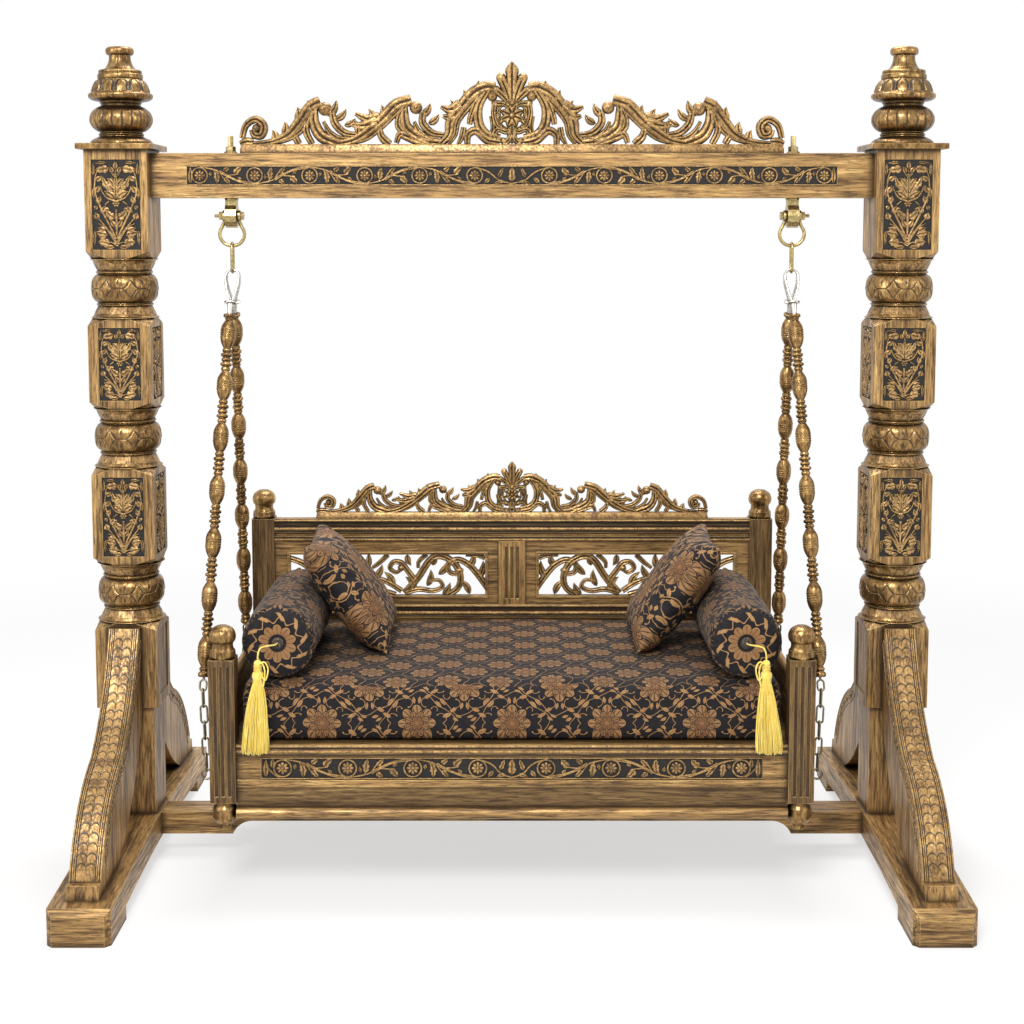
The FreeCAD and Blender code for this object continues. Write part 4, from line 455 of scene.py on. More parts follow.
def damask_bolster():
    """Round the side the figure runs as on a roll; the ends are gathered to the button."""
    g = Graph("damask_bolster")
    x, y, z = g.split(g.place.outputs["Object"])
    angle = g.math("ARCTAN2", x, z)
    reach = g.math("SQRT", g.math("ADD", g.math("MULTIPLY", x, x), g.math("MULTIPLY", z, z)))
    u = g.math("MULTIPLY", angle, BOLSTER_R * MM)
    figure, shade = damask(g, u, y, 0.1927, 0.180, 0.040)
    end = g.step(g.math("ABSOLUTE", g.split(g.place.outputs["Normal"])[1]), 0.70, 0.82)
    # petals round the button, then scrolls towards the rim
    lobes = g.math("POWER", g.math("ABSOLUTE", g.math("COSINE", g.math("MULTIPLY", angle, 5.0))), 0.5)
    rim = g.math("ADD", g.math("MULTIPLY", lobes, 0.016), 0.030)
    inside = g.math("SUBTRACT", rim, reach)
    body = g.step(inside, 0.0, 0.0012)
    veins = g.step(g.math("ABSOLUTE", g.math("SINE", g.math("MULTIPLY", angle, 10.0))), 0.15, 0.45)
    petals = g.math("MULTIPLY", g.math("ADD", g.math("MULTIPLY", veins, 0.5), 0.4), body)
    outline = g.step(g.math("ABSOLUTE", inside), 0.0008, 0.0018, 1.0, 0.0)
    scroll = g.math("ADD", g.math("MULTIPLY", g.math("SINE", g.math("MULTIPLY", angle, 10.0)), 0.0085), 0.060)
    vine = g.step(g.math("ABSOLUTE", g.math("SUBTRACT", reach, scroll)), 0.0012, 0.0024, 1.0, 0.0)
    across = g.math("ABSOLUTE", g.math("SINE",
                                       g.math("ADD", g.math("MULTIPLY", angle, 5.0),
                                              g.math("MULTIPLY", reach, 60.0))))
    band = g.math("MULTIPLY", g.step(reach, 0.056, 0.060), g.step(reach, 0.078, 0.074))
    buds = g.math("MULTIPLY", g.step(across, 0.90, 0.96), band)
    disc = g.math("MAXIMUM", g.math("MAXIMUM", petals, outline), g.math("MAXIMUM", vine, buds))
    disc = g.math("MULTIPLY", disc, g.step(reach, 0.021, 0.024))
    figure = g.math("MULTIPLY", figure, 0.72)
    return woven(g, u, y, g.choose(end, figure, disc), g.choose(end, shade, g.math("MULTIPLY", body, 0.4)))


def silk():
    g = Graph("silk")
    strand = g.noise(g.stretched((1.0, 1.0, 0.04)), 900.0, 2.0)
    cloud = g.noise(g.place.outputs["Object"], 60.0, 2.0)
    colour = g.mix(g.step(strand, 0.3, 0.7), srgb(0.86, 0.70, 0.16), srgb(0.98, 0.90, 0.42))
    colour = g.mix(g.step(cloud, 0.4, 0.8, 0.0, 0.35), colour, srgb(0.99, 0.95, 0.66))
    # Painted shade between the strands and in the head's grooves, from ambient occlusion
    colour = g.mix(g.step(g.hollows(0.008), 0.3, 0.9, 0.7, 0.0), colour, srgb(0.62, 0.46, 0.06))
    g.shader.inputs["Sheen Weight"].default_value = 0.4
    return g.finish(Base_Color=colour, Roughness=0.42, Normal=g.bump(strand, 0.4, 0.0004))


GRAIN_X, GRAIN_Y, GRAIN_Z = (0.06, 1.0, 1.0), (1.0, 0.06, 1.0), (1.0, 1.0, 0.06)
WOOD = {
    "x": gilded("gilded_x", GRAIN_X),
    "y": gilded("gilded_y", GRAIN_Y, cross=GRAIN_X),
    "z": gilded("gilded_z", GRAIN_Z),
    "apron": gilded("gilded_apron", GRAIN_X, shade_band=(0.240, 0.298), dull=0.10),
    "seat_post": gilded("gilded_seat_post", GRAIN_Z, shade_band=(0.262, 0.900), dull=0.16),
    "turned": gilded("gilded_turned", (1.0, 1.0, 0.35), worn=0.30, metal=0.85, rough=0.26, hollow=0.045,
                     dull=0.24),
    "relief": gilded("gilded_relief", (1.0, 1.0, 1.0), worn=0.10, metal=0.40, rough=0.36, hollow=0.006,
                     soft_edge=0.0008),
    "scales": gilded("gilded_scales", (1.0, 1.0, 0.4), worn=0.3, metal=0.5, rough=0.34, hollow=0.008,
                     soft_edge=0.0008),
    "crest": gilded("gilded_crest", (1.0, 1.0, 1.0), worn=0.2, metal=0.55, rough=0.34, hollow=0.014,
                    soft_edge=0.0012),
}
PANEL_PATHS = (
    # points in shares of the opening, from its inner lower corner; start and end width, depth
    (((-0.02, 0.12), (0.03, 0.45), (0.08, 0.72), (0.14, 0.86), (0.19, 0.74), (0.18, 0.55), (0.13, 0.52),
      (0.12, 0.64)), 0.17, 0.10, 1.0),
    (((0.19, 0.00), (0.141, 0.17), (0.127, 0.45), (0.16, 0.78), (0.229, 0.95), (0.285, 0.84), (0.345, 0.42),
      (0.414, 0.05)), 0.15, 0.17, 1.0),
    (((0.414, 0.05), (0.34, 0.14), (0.27, 0.10), (0.22, 0.20), (0.24, 0.36), (0.29, 0.34)), 0.14, 0.08, 0.9),
    (((0.36, 0.35), (0.40, 0.60), (0.43, 0.78), (0.47, 0.80), (0.49, 0.66), (0.46, 0.55), (0.43, 0.62)),
     0.15, 0.09, 1.0),
    (((0.43, 0.10), (0.49, 0.28), (0.55, 0.40), (0.62, 0.44)), 0.14, 0.10, 0.9),
    (((0.60, 0.46), (0.66, 0.72), (0.72, 0.90), (0.79, 0.86), (0.82, 0.66), (0.78, 0.52), (0.74, 0.62)),
     0.16, 0.09, 1.0),
    (((0.46, 0.00), (0.54, 0.10), (0.64, 0.08), (0.70, 0.22), (0.66, 0.34), (0.62, 0.28)), 0.15, 0.09, 0.9),
    (((0.68, 0.00), (0.78, 0.12), (0.90, 0.06), (1.02, 0.20)), 0.15, 0.13, 1.0),
    (((0.84, 0.10), (0.88, 0.45), (0.93, 0.75), (1.02, 0.92)), 0.16, 0.14, 1.0),
    (((0.50, 0.98), (0.54, 0.80), (0.58, 0.66)), 0.13, 0.09, 0.8),
    (((0.30, 0.99), (0.34, 0.82), (0.345, 0.66)), 0.12, 0.08, 0.8),
    (((0.86, 0.98), (0.875, 0.80), (0.85, 0.66)), 0.12, 0.08, 0.8),
    (((0.00, 0.90), (0.04, 0.96), (0.10, 0.98)), 0.12, 0.09, 0.8),
)
GROUND = dark_ground("carved_ground")
ZINC = hardware("zinc", srgb(0.80, 0.72, 0.52), srgb(0.62, 0.54, 0.36), 0.30)
WIRE = hardware("bright_wire", srgb(0.86, 0.85, 0.82), srgb(0.70, 0.68, 0.64), 0.22)
CHAIN = hardware("chain_metal", srgb(0.66, 0.62, 0.52), srgb(0.46, 0.42, 0.34), 0.32)
SILK = silk()


# Meshes

def add_mesh(name, verts, faces, body, slot, material, smooth=True, replaces=(), sharp=35.0, groove_shades=None):
    mesh = bpy.data.meshes.new(name)
    mesh.from_pydata([tuple(v) for v in verts], [], faces)
    if groove_shades:
        # Painted shade per point for the carving's grooves, kept as the attribute the materials read
        depth = [0.0] * len(verts)
        for k, value in groove_shades.items():
            depth[k] = value
        mesh.attributes.new("hollow", "FLOAT", "POINT").data.foreach_set("value", depth)
    mesh.validate()
    mesh.update()
    piece = bpy.data.objects.new(name, mesh)
    bpy.context.scene.collection.objects.link(piece)
    mesh.materials.append(material)
    if smooth:
        mesh.shade_smooth()
        mesh.set_sharp_from_angle(angle=math.radians(sharp))
    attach(piece, body)
    if replaces:
        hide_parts(*replaces)
    return piece


class Mesh:
    """Vertices and faces gathered from many small forms, with painted shade per point, darker deeper in a
    groove.
    """

    def __init__(self):
        self.verts = []
        self.faces = []
        self.groove_shades = {}

    def grid(self, rows, closed=False, caps=True, groove_shades=None):
        """Skins rows of points, each closed on itself if asked; caps close its two ends."""
        start = len(self.verts)
        count = len(rows[0])
        for row in rows:
            self.verts.extend(row)
        if groove_shades:
            for i, row in enumerate(groove_shades):
                for j, value in enumerate(row):
                    if value > 0:
                        self.groove_shades[start + i * count + j] = min(1.0, value)
        for i in range(len(rows) - 1):
            for j in range(count if closed else count - 1):
                a = start + i * count + j
                b = start + i * count + (j + 1) % count
                self.faces.append((a, b, b + count, a + count))
        if caps and closed:
            self.faces.append(tuple(start + j for j in range(count))[::-1])
            last = start + (len(rows) - 1) * count
            self.faces.append(tuple(last + j for j in range(count)))

    def box(self, low, high):
        (x0, y0, z0), (x1, y1, z1) = low, high
        rows = []
        for z in (z0, z1):
            rows.append([Vector(p) * MM for p in ((x0, y0, z), (x1, y0, z), (x1, y1, z), (x0, y1, z))])
        self.grid(rows, closed=True)

    def tube(self, line, radius, closed=False, sides=12):
        """A round wire along a line."""
        rows = []
        count = len(line)
        across = None
        for k, point in enumerate(line):
            before = line[k - 1] if closed or k else point
            after = line[(k + 1) % count] if closed or k < count - 1 else point
            along = (after - before).normalized()
            if across is None:
                across = along.orthogonal().normalized()
            across = (across - along * across.dot(along)).normalized()
            other = along.cross(across)
            rows.append([
                (point + (across * math.cos(2 * math.pi * j / sides)
                          + other * math.sin(2 * math.pi * j / sides)) * radius) * MM
                for j in range(sides)
            ])
        if closed:
            rows.append(list(rows[0]))
        self.grid(rows, closed=True, caps=not closed)

    def turn(self, groups, facets, origin, axis=(0, 0, 1), across=(1, 0, 0), carve=None, steps=8):
        """A turned form; what the carving takes away is also given painted groove shade."""
        rows = turned_rows(groups, facets, origin, axis, across, carve, steps)
        groove_shades = None
        if carve:
            groove_shades = []
            for _, height in turned_places(groups, steps):
                groove_shades.append([-carve(2 * math.pi * k / facets, height) / 1.5 for k in range(facets)])
        self.grid(rows, closed=True, groove_shades=groove_shades)

    def add(self, name, body, slot, material, **more):
        return add_mesh(name, self.verts, self.faces, body, slot, material, groove_shades=self.groove_shades, **more)


def turned_places(groups, steps):
    """Radius and height of every row of a turned form."""
    places = []
    for group in groups:
        places += [(p[0], p[1]) for p in (eased(group, steps) if len(group) > 2 else group)]
    return places


def eased(points, steps=8):
    """A smooth line through a row of points."""
    points = [Vector(p) for p in points]
    if len(points) < 3:
        return points
    ends = [points[0] * 2 - points[1]] + points + [points[-1] * 2 - points[-2]]
    line = []
    for k in range(1, len(ends) - 2):
        a, b, c, d = ends[k - 1:k + 3]
        for j in range(steps):
            t = j / steps
            line.append(0.5 * (b * 2 + (c - a) * t + (a * 2 - b * 5 + c * 4 - d) * t * t
                               + (b * 3 - a - c * 3 + d) * t ** 3))
    line.append(points[-1])
    return line


def turned_rows(groups, facets, origin, axis=(0, 0, 1), across=(1, 0, 0), carve=None, steps=8):
    """Rows of a turned form from groups of (radius, height); each group is one smooth run."""
    axis, across = Vector(axis).normalized(), Vector(across)
    across = (across - axis * across.dot(axis)).normalized()
    other = axis.cross(across)
    rows = []
    for group in groups:
        for radius, height in eased([(r, h) for r, h in group], steps) if len(group) > 2 else group:
            row = []
            for k in range(facets):
                angle = 2 * math.pi * k / facets
                out = radius + (carve(angle, height) if carve else 0)
                spoke = across * math.cos(angle) + other * math.sin(angle)
                row.append((Vector(origin) + axis * height + spoke * out) * MM)
            rows.append(row)
    return rows


# Relief carving, laid on a plane or a curved face by a function of (u, v, height)

STEM_SECTION = (
    (-1.0, 0.0), (-0.86, 0.62), (-0.4, 0.95), (0.0, 1.0), (0.4, 0.95), (0.86, 0.62), (1.0, 0.0),
)
LEAF_SECTION = (
    (-1.0, 0.0), (-0.82, 0.72), (-0.40, 1.0), (-0.08, 0.62), (0.0, 0.34), (0.08, 0.62), (0.40, 1.0),
    (0.82, 0.72), (1.0, 0.0),
)


class Relief(Mesh):
    def ribbon(self, lay, line, halves, height, section=STEM_SECTION):
        rows, groove_shades = [], []
        count = len(line)
        for k, point in enumerate(line):
            before, after = line[max(k - 1, 0)], line[min(k + 1, count - 1)]
            along = Vector((after[0] - before[0], after[1] - before[1]))
            along = along.normalized() if along.length > 0 else Vector((1, 0))
            half = halves[k] if isinstance(halves, (list, tuple)) else halves
            rise = height * min(1.0,
                                half / (max(halves) if isinstance(halves, (list, tuple)) else half) + 0.35)
            row = []
            for s, h in section:
                row.append(lay(point[0] - along[1] * s * half, point[1] + along[0] * s * half, h * rise))
            rows.append(row)
            # Painted shade: darker where the section is low, at the edges and the sunk midrib
            groove_shades.append([1 - h / 0.7 for s, h in section])
        self.grid(rows, groove_shades=groove_shades)

    def stem(self, lay, points, width, height, taper=1.0, steps=7):
        line = eased(points, steps)
        count = len(line)
        halves = [width / 2 * (1 + (taper - 1) * k / (count - 1)) for k in range(count)]
        self.ribbon(lay, line, halves, height)

    def leaf(self, lay, foot, tip, half, height, bend=0.0, steps=9, lobes=0):
        """A leaf with a sunk midrib; lobes notch its two edges."""
        foot, tip = Vector(foot), Vector(tip)
        run = tip - foot
        side = Vector((-run[1], run[0]))
        steps = max(steps, lobes * 6)
        line, halves = [], []
        for k in range(steps + 1):
            t = k / steps
            line.append(foot + run * t + side * (bend * math.sin(math.pi * t)))
            wide = max(0.04, math.sin(math.pi * t ** 0.8) ** 0.85)
            if lobes:
                wide *= 0.62 + 0.38 * abs(math.sin(math.pi * lobes * t)) ** 0.7
            halves.append(half * wide)
        self.ribbon(lay, line, halves, height, LEAF_SECTION)

    def flower(self, lay, centre, radius, height, petals, heart=0.3):
        rings = ((0.0, 1.0), (0.14, 0.95), (heart, 0.35), (heart + 0.12, 0.85), (0.7, 0.95), (0.9, 0.55),
                 (1.0, 0.0))
        sides = petals * 6
        rows, groove_shades = [], []
        for share, rise in rings:
            row, dark = [], []
            for k in range(sides):
                angle = 2 * math.pi * k / sides
                lobe = abs(math.cos(angle * petals / 2))
                deep = 1.0 if share <= heart else 0.70 + 0.30 * lobe ** 0.7
                reach = radius * share * deep
                rib = 1.0 if share <= heart else 0.35 + 0.65 * lobe ** 0.6
                row.append(lay(centre[0] + reach * math.cos(angle), centre[1] + reach * math.sin(angle),
                               height * rise * rib))
                # Painted shade: darker where the petals are low
                dark.append(1 - rise * rib / 0.7)
            rows.append(row)
            groove_shades.append(dark)
        self.grid(rows, closed=True, caps=False, groove_shades=groove_shades)

    def ring(self, lay, centre, radius, width, height, sides=28):
        line = [(centre[0] + radius * math.cos(2 * math.pi * k / sides),
                 centre[1] + radius * math.sin(2 * math.pi * k / sides)) for k in range(sides + 1)]
        self.ribbon(lay, line, width / 2, height)


# Half of a panel's plant, in steps of the panel's half width and half height from its middle
SPRAY_STEMS = (
    (((0.02, -0.78), (0.30, -0.47), (0.56, -0.19), (0.78, 0.08), (0.91, 0.32), (0.89, 0.54), (0.83, 0.71),
      (0.65, 0.85)), 6.4, 0.6),
    (((0.02, -0.85), (0.26, -0.63), (0.52, -0.47), (0.83, -0.27)), 5.4, 0.7),
    (((0.04, -0.89), (0.30, -0.65), (0.56, -0.49), (0.78, -0.43)), 4.4, 0.7),
    (((0.0, -0.93), (0.17, -0.87), (0.35, -0.85)), 4.4, 0.8),
    (((0.30, 0.08), (0.39, 0.04), (0.48, 0.00)), 4.6, 0.6),
    (((0.0, 0.08), (0.39, 0.16), (0.61, 0.32), (0.65, 0.42)), 6.0, 0.5),
)
SPRAY_LEAVES = (
    (0.32, -0.90, 0.80, -0.84, 0.095, 0.04, 2), (0.39, -0.69, 0.92, -0.62, 0.070, 0.0, 2),
    (0.46, -0.72, 0.78, -0.74, 0.060, 0.0, 1), (0.46, -0.60, 0.82, -0.52, 0.060, 0.0, 1),
    (0.80, -0.34, 0.90, -0.18, 0.065, 0.0, 1), (0.04, -0.30, 0.42, -0.12, 0.080, -0.14, 2),
    (0.30, -0.12, 0.50, -0.18, 0.048, 0.3, 0), (0.04, -0.52, 0.26, -0.34, 0.050, 0.0, 1),
    (0.04, 0.14, 0.52, 0.30, 0.075, 0.12, 2), (0.06, 0.26, 0.46, 0.46, 0.075, 0.14, 2),
    (0.06, 0.34, 0.36, 0.60, 0.070, 0.12, 2), (0.22, 0.34, 0.56, 0.64, 0.065, -0.10, 3),
    (0.14, 0.72, 0.24, 0.86, 0.045, 0.1, 0), (0.28, 0.84, 0.88, 0.80, 0.085, -0.06, 2),
    (0.88, 0.56, 0.60, 0.66, 0.055, 0.1, 1), (0.91, 0.28, 0.72, 0.44, 0.055, 0.1, 1),
    (0.86, 0.04, 0.68, 0.20, 0.055, 0.1, 1), (0.70, -0.18, 0.48, -0.02, 0.055, 0.1, 1),
    (0.92, 0.40, 0.97, 0.14, 0.042, 0.0, 0), (0.10, -0.96, 0.52, -0.97, 0.045, 0.0, 1),
    (0.93, -0.10, 0.80, -0.02, 0.042, 0.0, 0), (0.40, 0.96, 0.90, 0.95, 0.035, 0.0, 3),
    (0.96, 0.66, 0.95, 0.94, 0.035, 0.0, 2), (0.95, -0.60, 0.96, -0.92, 0.035, 0.0, 2),
)


def flat_lay(origin, right, up):
    """Lays relief on a flat face; all in millimetres."""
    origin, right, up = Vector(origin), Vector(right), Vector(up)
    out = right.cross(up)

    def lay(u, v, height):
        return (origin + right * u + up * v + out * height) * MM

    return lay


def spray(relief, lay, wide, tall, height, fan):
    """A flowering plant that fills a panel: root leaves, side stems, calyx and a leafy head."""
    scale = math.sqrt(tall / 115)
    for sign in (-1, 1):
        for points, width, taper in SPRAY_STEMS:
            relief.stem(lay, [(u * wide * sign, v * tall) for u, v in points], width * scale, height, taper)
        for u0, v0, u1, v1, half, bend, lobes in SPRAY_LEAVES:
            relief.leaf(lay, (u0 * wide * sign, v0 * tall), (u1 * wide * sign, v1 * tall),
                        half * 150 * scale, height,
                        bend * sign, lobes=lobes)
        for k in range(fan):
            v = 0.24 + 0.13 * k
            relief.leaf(lay, (0, v * tall), (0.20 * wide * sign, (v + 0.12) * tall), 3.6 * scale,
                        height * 1.1)
    relief.stem(lay, [(0, -0.70 * tall), (0, -0.4 * tall), (0, -0.10 * tall)], 6.0 * scale, height)
    relief.leaf(lay, (0, 0.14 * tall), (0, 0.80 * tall), 5.2 * scale, height * 1.15, steps=14)
    relief.leaf(lay, (0, 0.80 * tall), (0, 0.99 * tall), 7.0 * scale, height)
    relief.flower(lay, (0, 0.03 * tall), 10.5 * scale, height * 1.2, 6)
    relief.flower(lay, (0, -0.88 * tall), 9.0 * scale, height, 5)


# One length of the running vine, from a ring to the next: places as shares of pitch and of height
VINE_STEMS = (
    (((0.0, -0.50), (0.22, -0.42), (0.50, -0.06), (0.71, 0.31), (0.99, 0.50)), 5.4),
    (((0.04, -0.42), (0.30, -0.28), (0.50, 0.03), (0.63, 0.28)), 4.2),
    (((0.52, 0.0), (0.39, 0.03), (0.30, 0.08)), 4.2),
    (((0.63, 0.17), (0.56, -0.17), (0.54, -0.24)), 4.2),
    (((0.75, 0.36), (0.71, 0.11), (0.70, 0.0)), 4.2),
)
VINE_LEAVES = (
    (0.36, 0.06, 0.235, 0.46, 0.21, 0.10, 2), (0.56, 0.22, 0.46, 0.48, 0.165, 0.0, 2),
    (0.55, -0.10, 0.45, -0.46, 0.16, 0.0, 2), (0.71, 0.24, 0.69, -0.46, 0.20, 0.08, 3),
    (0.24, -0.30, 0.31, -0.06, 0.10, 0.0, 1), (0.80, 0.20, 0.82, -0.08, 0.09, 0.0, 1),
)


def vine_frieze(relief, lay, half, tall, pitch, height, first):
    """A running vine between two edges: flowers in rings, and lobed leaves in the turns."""
    count = int((half - first) // pitch) + 1
    radius = tall * 0.43
    for sign in (-1, 1):
        for k in range(count):
            spot = first + pitch * k
            relief.ring(lay, (spot * sign, 0), radius, 4.4, height)
            relief.flower(lay, (spot * sign, 0), radius * 0.74, height, 8)
            if spot + pitch > half + 2:
                break
            up = 1 if k % 2 == 0 else -1
            for points, width in VINE_STEMS:
                relief.stem(lay, [((spot + u * pitch) * sign, v * up * tall * 0.96) for u, v in points],
                            width, height, 0.85)
            for u0, v0, u1, v1, size, bend, lobes in VINE_LEAVES:
                relief.leaf(lay, ((spot + u0 * pitch) * sign, v0 * up * tall),
                            ((spot + u1 * pitch) * sign, v1 * up * tall),
                            size * tall, height, bend, lobes=lobes)
        end = half - 9
        relief.leaf(lay, (end * sign, -tall * 0.44), (end * sign, tall * 0.44), tall * 0.15, height)
        last = first + pitch * (count - 1)
        if end - last > radius + 12:
            relief.stem(lay, [((last + radius * 0.4) * sign, -tall * 0.46),
                              ((last + end) / 2 * sign, -tall * 0.30),
                              (end * sign, tall * 0.1)], 4.4, height)
            relief.leaf(lay, ((last + radius + 2) * sign, tall * 0.02),
                        ((last + end) / 2 * sign + 4 * sign, tall * 0.46),
                        tall * 0.16, height, lobes=2)
        near = first - radius
        relief.stem(lay, [(0, -tall * 0.46), (near * 0.42 * sign, -tall * 0.28),
                          (near * 0.8 * sign, tall * 0.2),
                          (first * sign, tall * 0.48)], 4.8, height)
        relief.leaf(lay, (near * 0.26 * sign, -tall * 0.30), (near * 0.62 * sign, -tall * 0.44), tall * 0.13,
                    height, lobes=2)
        relief.leaf(lay, (near * 0.46 * sign, -tall * 0.10), (near * 0.30 * sign, tall * 0.42), tall * 0.14,
                    height, lobes=2)
        relief.leaf(lay, (near * 0.74 * sign, -tall * 0.12), (near * 0.94 * sign, -tall * 0.46), tall * 0.12,
                    height, lobes=1)
    relief.leaf(lay, (0, -tall * 0.34), (0, tall * 0.47), tall * 0.24, height * 1.1, lobes=2)


def block_levels():
    levels = []
    top = POST_TOP
    for length in BLOCKS:
        levels.append((top, top - length))
        top -= length + TURNED
    return levels


def carve_blocks():
    """Floral sprays in the recessed panels of the posts' blocks."""
    for name, side in SIDES:
        relief, ground = Relief(), Mesh()
        front, rear, outer, inner = (0, -1), (0, 1), (side, 0), (-side, 0)
        faces = ((front, (0, 1, 2)), (rear, (0, 1, 2)), (outer, (0, 1, 2)), (inner, (1, 2)))
        for (nx, ny), blocks in faces:
            out = Vector((nx, ny, 0))
            right = Vector((-ny, nx, 0))
            for k in blocks:
                top, bottom = block_levels()[k]
                middle = Vector((POST_X * side, 0, (top + bottom) / 2)) + out * (BLOCK_HALF - PANEL_DEPTH)
                lay = flat_lay(middle, right, (0, 0, 1))
                tall = (top - bottom) / 2 - PANEL_MARGIN
                wide = PANEL_HALVES[k]
                spray(relief, lay, wide - 3, tall - 3, 3.6, 4 if k != 1 else 3)
                corners = [lay(u, v, 0.25) for u, v in ((-wide, -tall), (wide, -tall), (wide, tall),
                                                        (-wide, tall))]
                start = len(ground.verts)
                ground.verts.extend(corners)
                ground.faces.append((start, start + 1, start + 2, start + 3))
        relief.add(f"{name}_post_carving", "stand", "gilded_wood", WOOD["relief"])
        ground.add(f"{name}_post_ground", "stand", "gilded_wood", GROUND, smooth=False)


def bulb_carving(radius):
    """Eight four-pointed stars round a bulb's waist, a line from star to star, and a slit in each lobe."""
    around = 2 * math.pi * radius / 8

    def carve(angle, height):
        if abs(height) > 38:
            return 0
        share = (angle * 8 / (2 * math.pi)) % 1
        x, y = abs(share - 0.5) * around, abs(height)
        reach = ((x / 21) ** 0.75 + (y / 29) ** 0.75) ** (4 / 3)
        size = math.hypot(x, y) / reach if reach > 1e-6 else 21
        away = abs(reach - 1) * size
        depth = 2.6 * math.exp(-(away / 1.5) ** 2)
        if x > 20:
            depth = max(depth, 1.8 * math.exp(-(y / 1.0) ** 2))
        slit = ((around / 2 - x) / 2.4) ** 2 + ((y - 16) / 9) ** 2
        depth = max(depth, 1.9 * max(0.0, 1 - slit) ** 0.5)
        rise = 0.9 if reach < 1 else 0.0
        return rise - depth * min(1.0, (38 - y) / 5)

    return carve


def turn_posts():
    """The turned lengths between the blocks: collars, coves and carved bulbs."""
    for name, side in SIDES:
        for k in range(3):
            bottom, top = block_levels()[k + 1][0], block_levels()[k][1]
            middle = (bottom + top) / 2
            half = (top - bottom) / 2
            lower = [
                [(BLOCK_HALF + 8, -half - 2.0), (BLOCK_HALF + 1.5, -half + 2.0), (79.8, -half + 5.5),
                 (77.5, -half + 9.5)],
                [(75.5, -half + 9.5), (69.5, -half + 17), (66.5, -half + 25), (66.8, -half + 29)],
                [(71.0, -half + 29), (73.2, -half + 32.2), (71.0, -half + 35.5)],
                [(67.5, -half + 36), (77.5, -half + 43), (83.6, -half + 54), (85.2, -half + 66), (85.6, 0)],
            ]
            upper = [[(r, -h) for r, h in reversed(group)] for group in reversed(lower)]
            whole = lower[:-1] + [lower[-1] + upper[0][1:]] + upper[1:]
            mesh = Mesh()
            mesh.turn(whole, 288, (POST_X * side, 0, middle), carve=bulb_carving(85), steps=8)
            mesh.add(f"{name}_post_bulb_{k + 1}", "stand", "gilded_wood", WOOD["turned"])


def finial_carving(angle, height):
    """Thin flutes round the bulb, raised tongues round the cone, and drops down the stem."""
    if 36 < height < 90:
        share = (height - 36) / 54
        fade = min(1.0, share * 5, (1 - share) * 5)
        return -2.6 * fade * math.exp(-(math.sin(angle * 9.5) / 0.20) ** 2)
    if 134 < height < 164:
        share = (height - 134) / 30
        wave = (angle * 12 / (2 * math.pi)) % 1
        x = abs(wave - 0.5) * 2
        edge = 0.72 * math.sqrt(max(0.0, 1 - max(0.0, share - 0.45) ** 2 / 0.28))
        return 1.2 if x < edge - 0.10 else -2.4 * math.exp(-((x - edge - 0.06) / 0.16) ** 2)
    if 196 < height < 224:
        return -0.9 * math.exp(-(math.sin(angle * 4) / 0.22) ** 2)
    return 0


def turn_finials():
    """Flared base, gadrooned bulb, rolled disc, tongued cone, collars, stem and rim on a square cap."""
    groups = [
        [(79.5, 0), (79.5, 3), (78, 7), (72.6, 12.5), (63, 17), (57.5, 20)],
        [(54, 20.5), (57, 23), (57.5, 26), (54.5, 29.5)],
        [(53, 31), (64, 36), (74, 45), (79.6, 56), (80.3, 64.5), (79, 73), (73, 84), (63, 92.5), (54, 97)],
        [(51, 98), (50.5, 102), (53.5, 106), (53, 109)],
        [(56, 109.5), (70, 112), (79, 116.5), (82, 122.5), (81, 128), (76, 131.5)],
        [(74.5, 132), (72.5, 140), (69, 150), (63.5, 159), (58.5, 164.5)],
        [(55, 165), (57.5, 168), (57.5, 176), (55.5, 180)],
        [(53.5, 180.5), (55, 183), (55, 187), (52.5, 189.5)],
        [(44, 190), (36.5, 196), (31, 206), (28, 216), (27.3, 226)],
        [(28, 227), (34, 230), (36, 237), (34.5, 244), (28, 248.3), (12, 248.9), (1, 249)],
    ]
    for name, side in SIDES:
        mesh = Mesh()
        mesh.turn(groups, 228, (POST_X * side, 0, POST_TOP + 15), carve=finial_carving, steps=6)
        rows = []
        for half, z in ((95.5, 0), (97.5, 1.5), (97.5, 13), (96, 15)):
            rows.append([Vector((POST_X * side + x * half, y * half, POST_TOP + z)) * MM
                         for x, y in ((-1, -1), (1, -1), (1, 1), (-1, 1))])
        mesh.grid(rows, closed=True)
        mesh.add(f"{name}_finial_turning", "stand", "gilded_wood", WOOD["turned"],
                 replaces=(f"{name}_finial",))


def brace_rise(u, s, total, pitch):
    """Height of a brace's face over its board, and its painted shade there (dark grooves in the side bands, a
    painted shadow under each scale's edge), across u and along s.
    """
    edge = abs(u)
    if edge > 22.5:
        line = min(abs(edge - 23.4), abs(edge - 28.4), abs(edge - 33.6))
        return (0.4, 1.0) if line < 0.75 else (1.9 if edge < 37.4 else 0.8, 0.0)
    if not 16 < s < total - 26:
        return 1.3, 0.0
    across = (edge - 11.3) / 11.3
    phase = (s - 16) / pitch + 0.55 * math.sqrt(max(0.0, 1 - across * across))
    part = phase - math.floor(phase)
    dark = max(0.0, 1 - abs(part - 0.90) / 0.16)
    if edge < 0.8:
        return 0.6, 0.6
    return 0.2 + 2.9 * (1 - part) ** 0.9 * (1 - 0.35 * across * across), dark


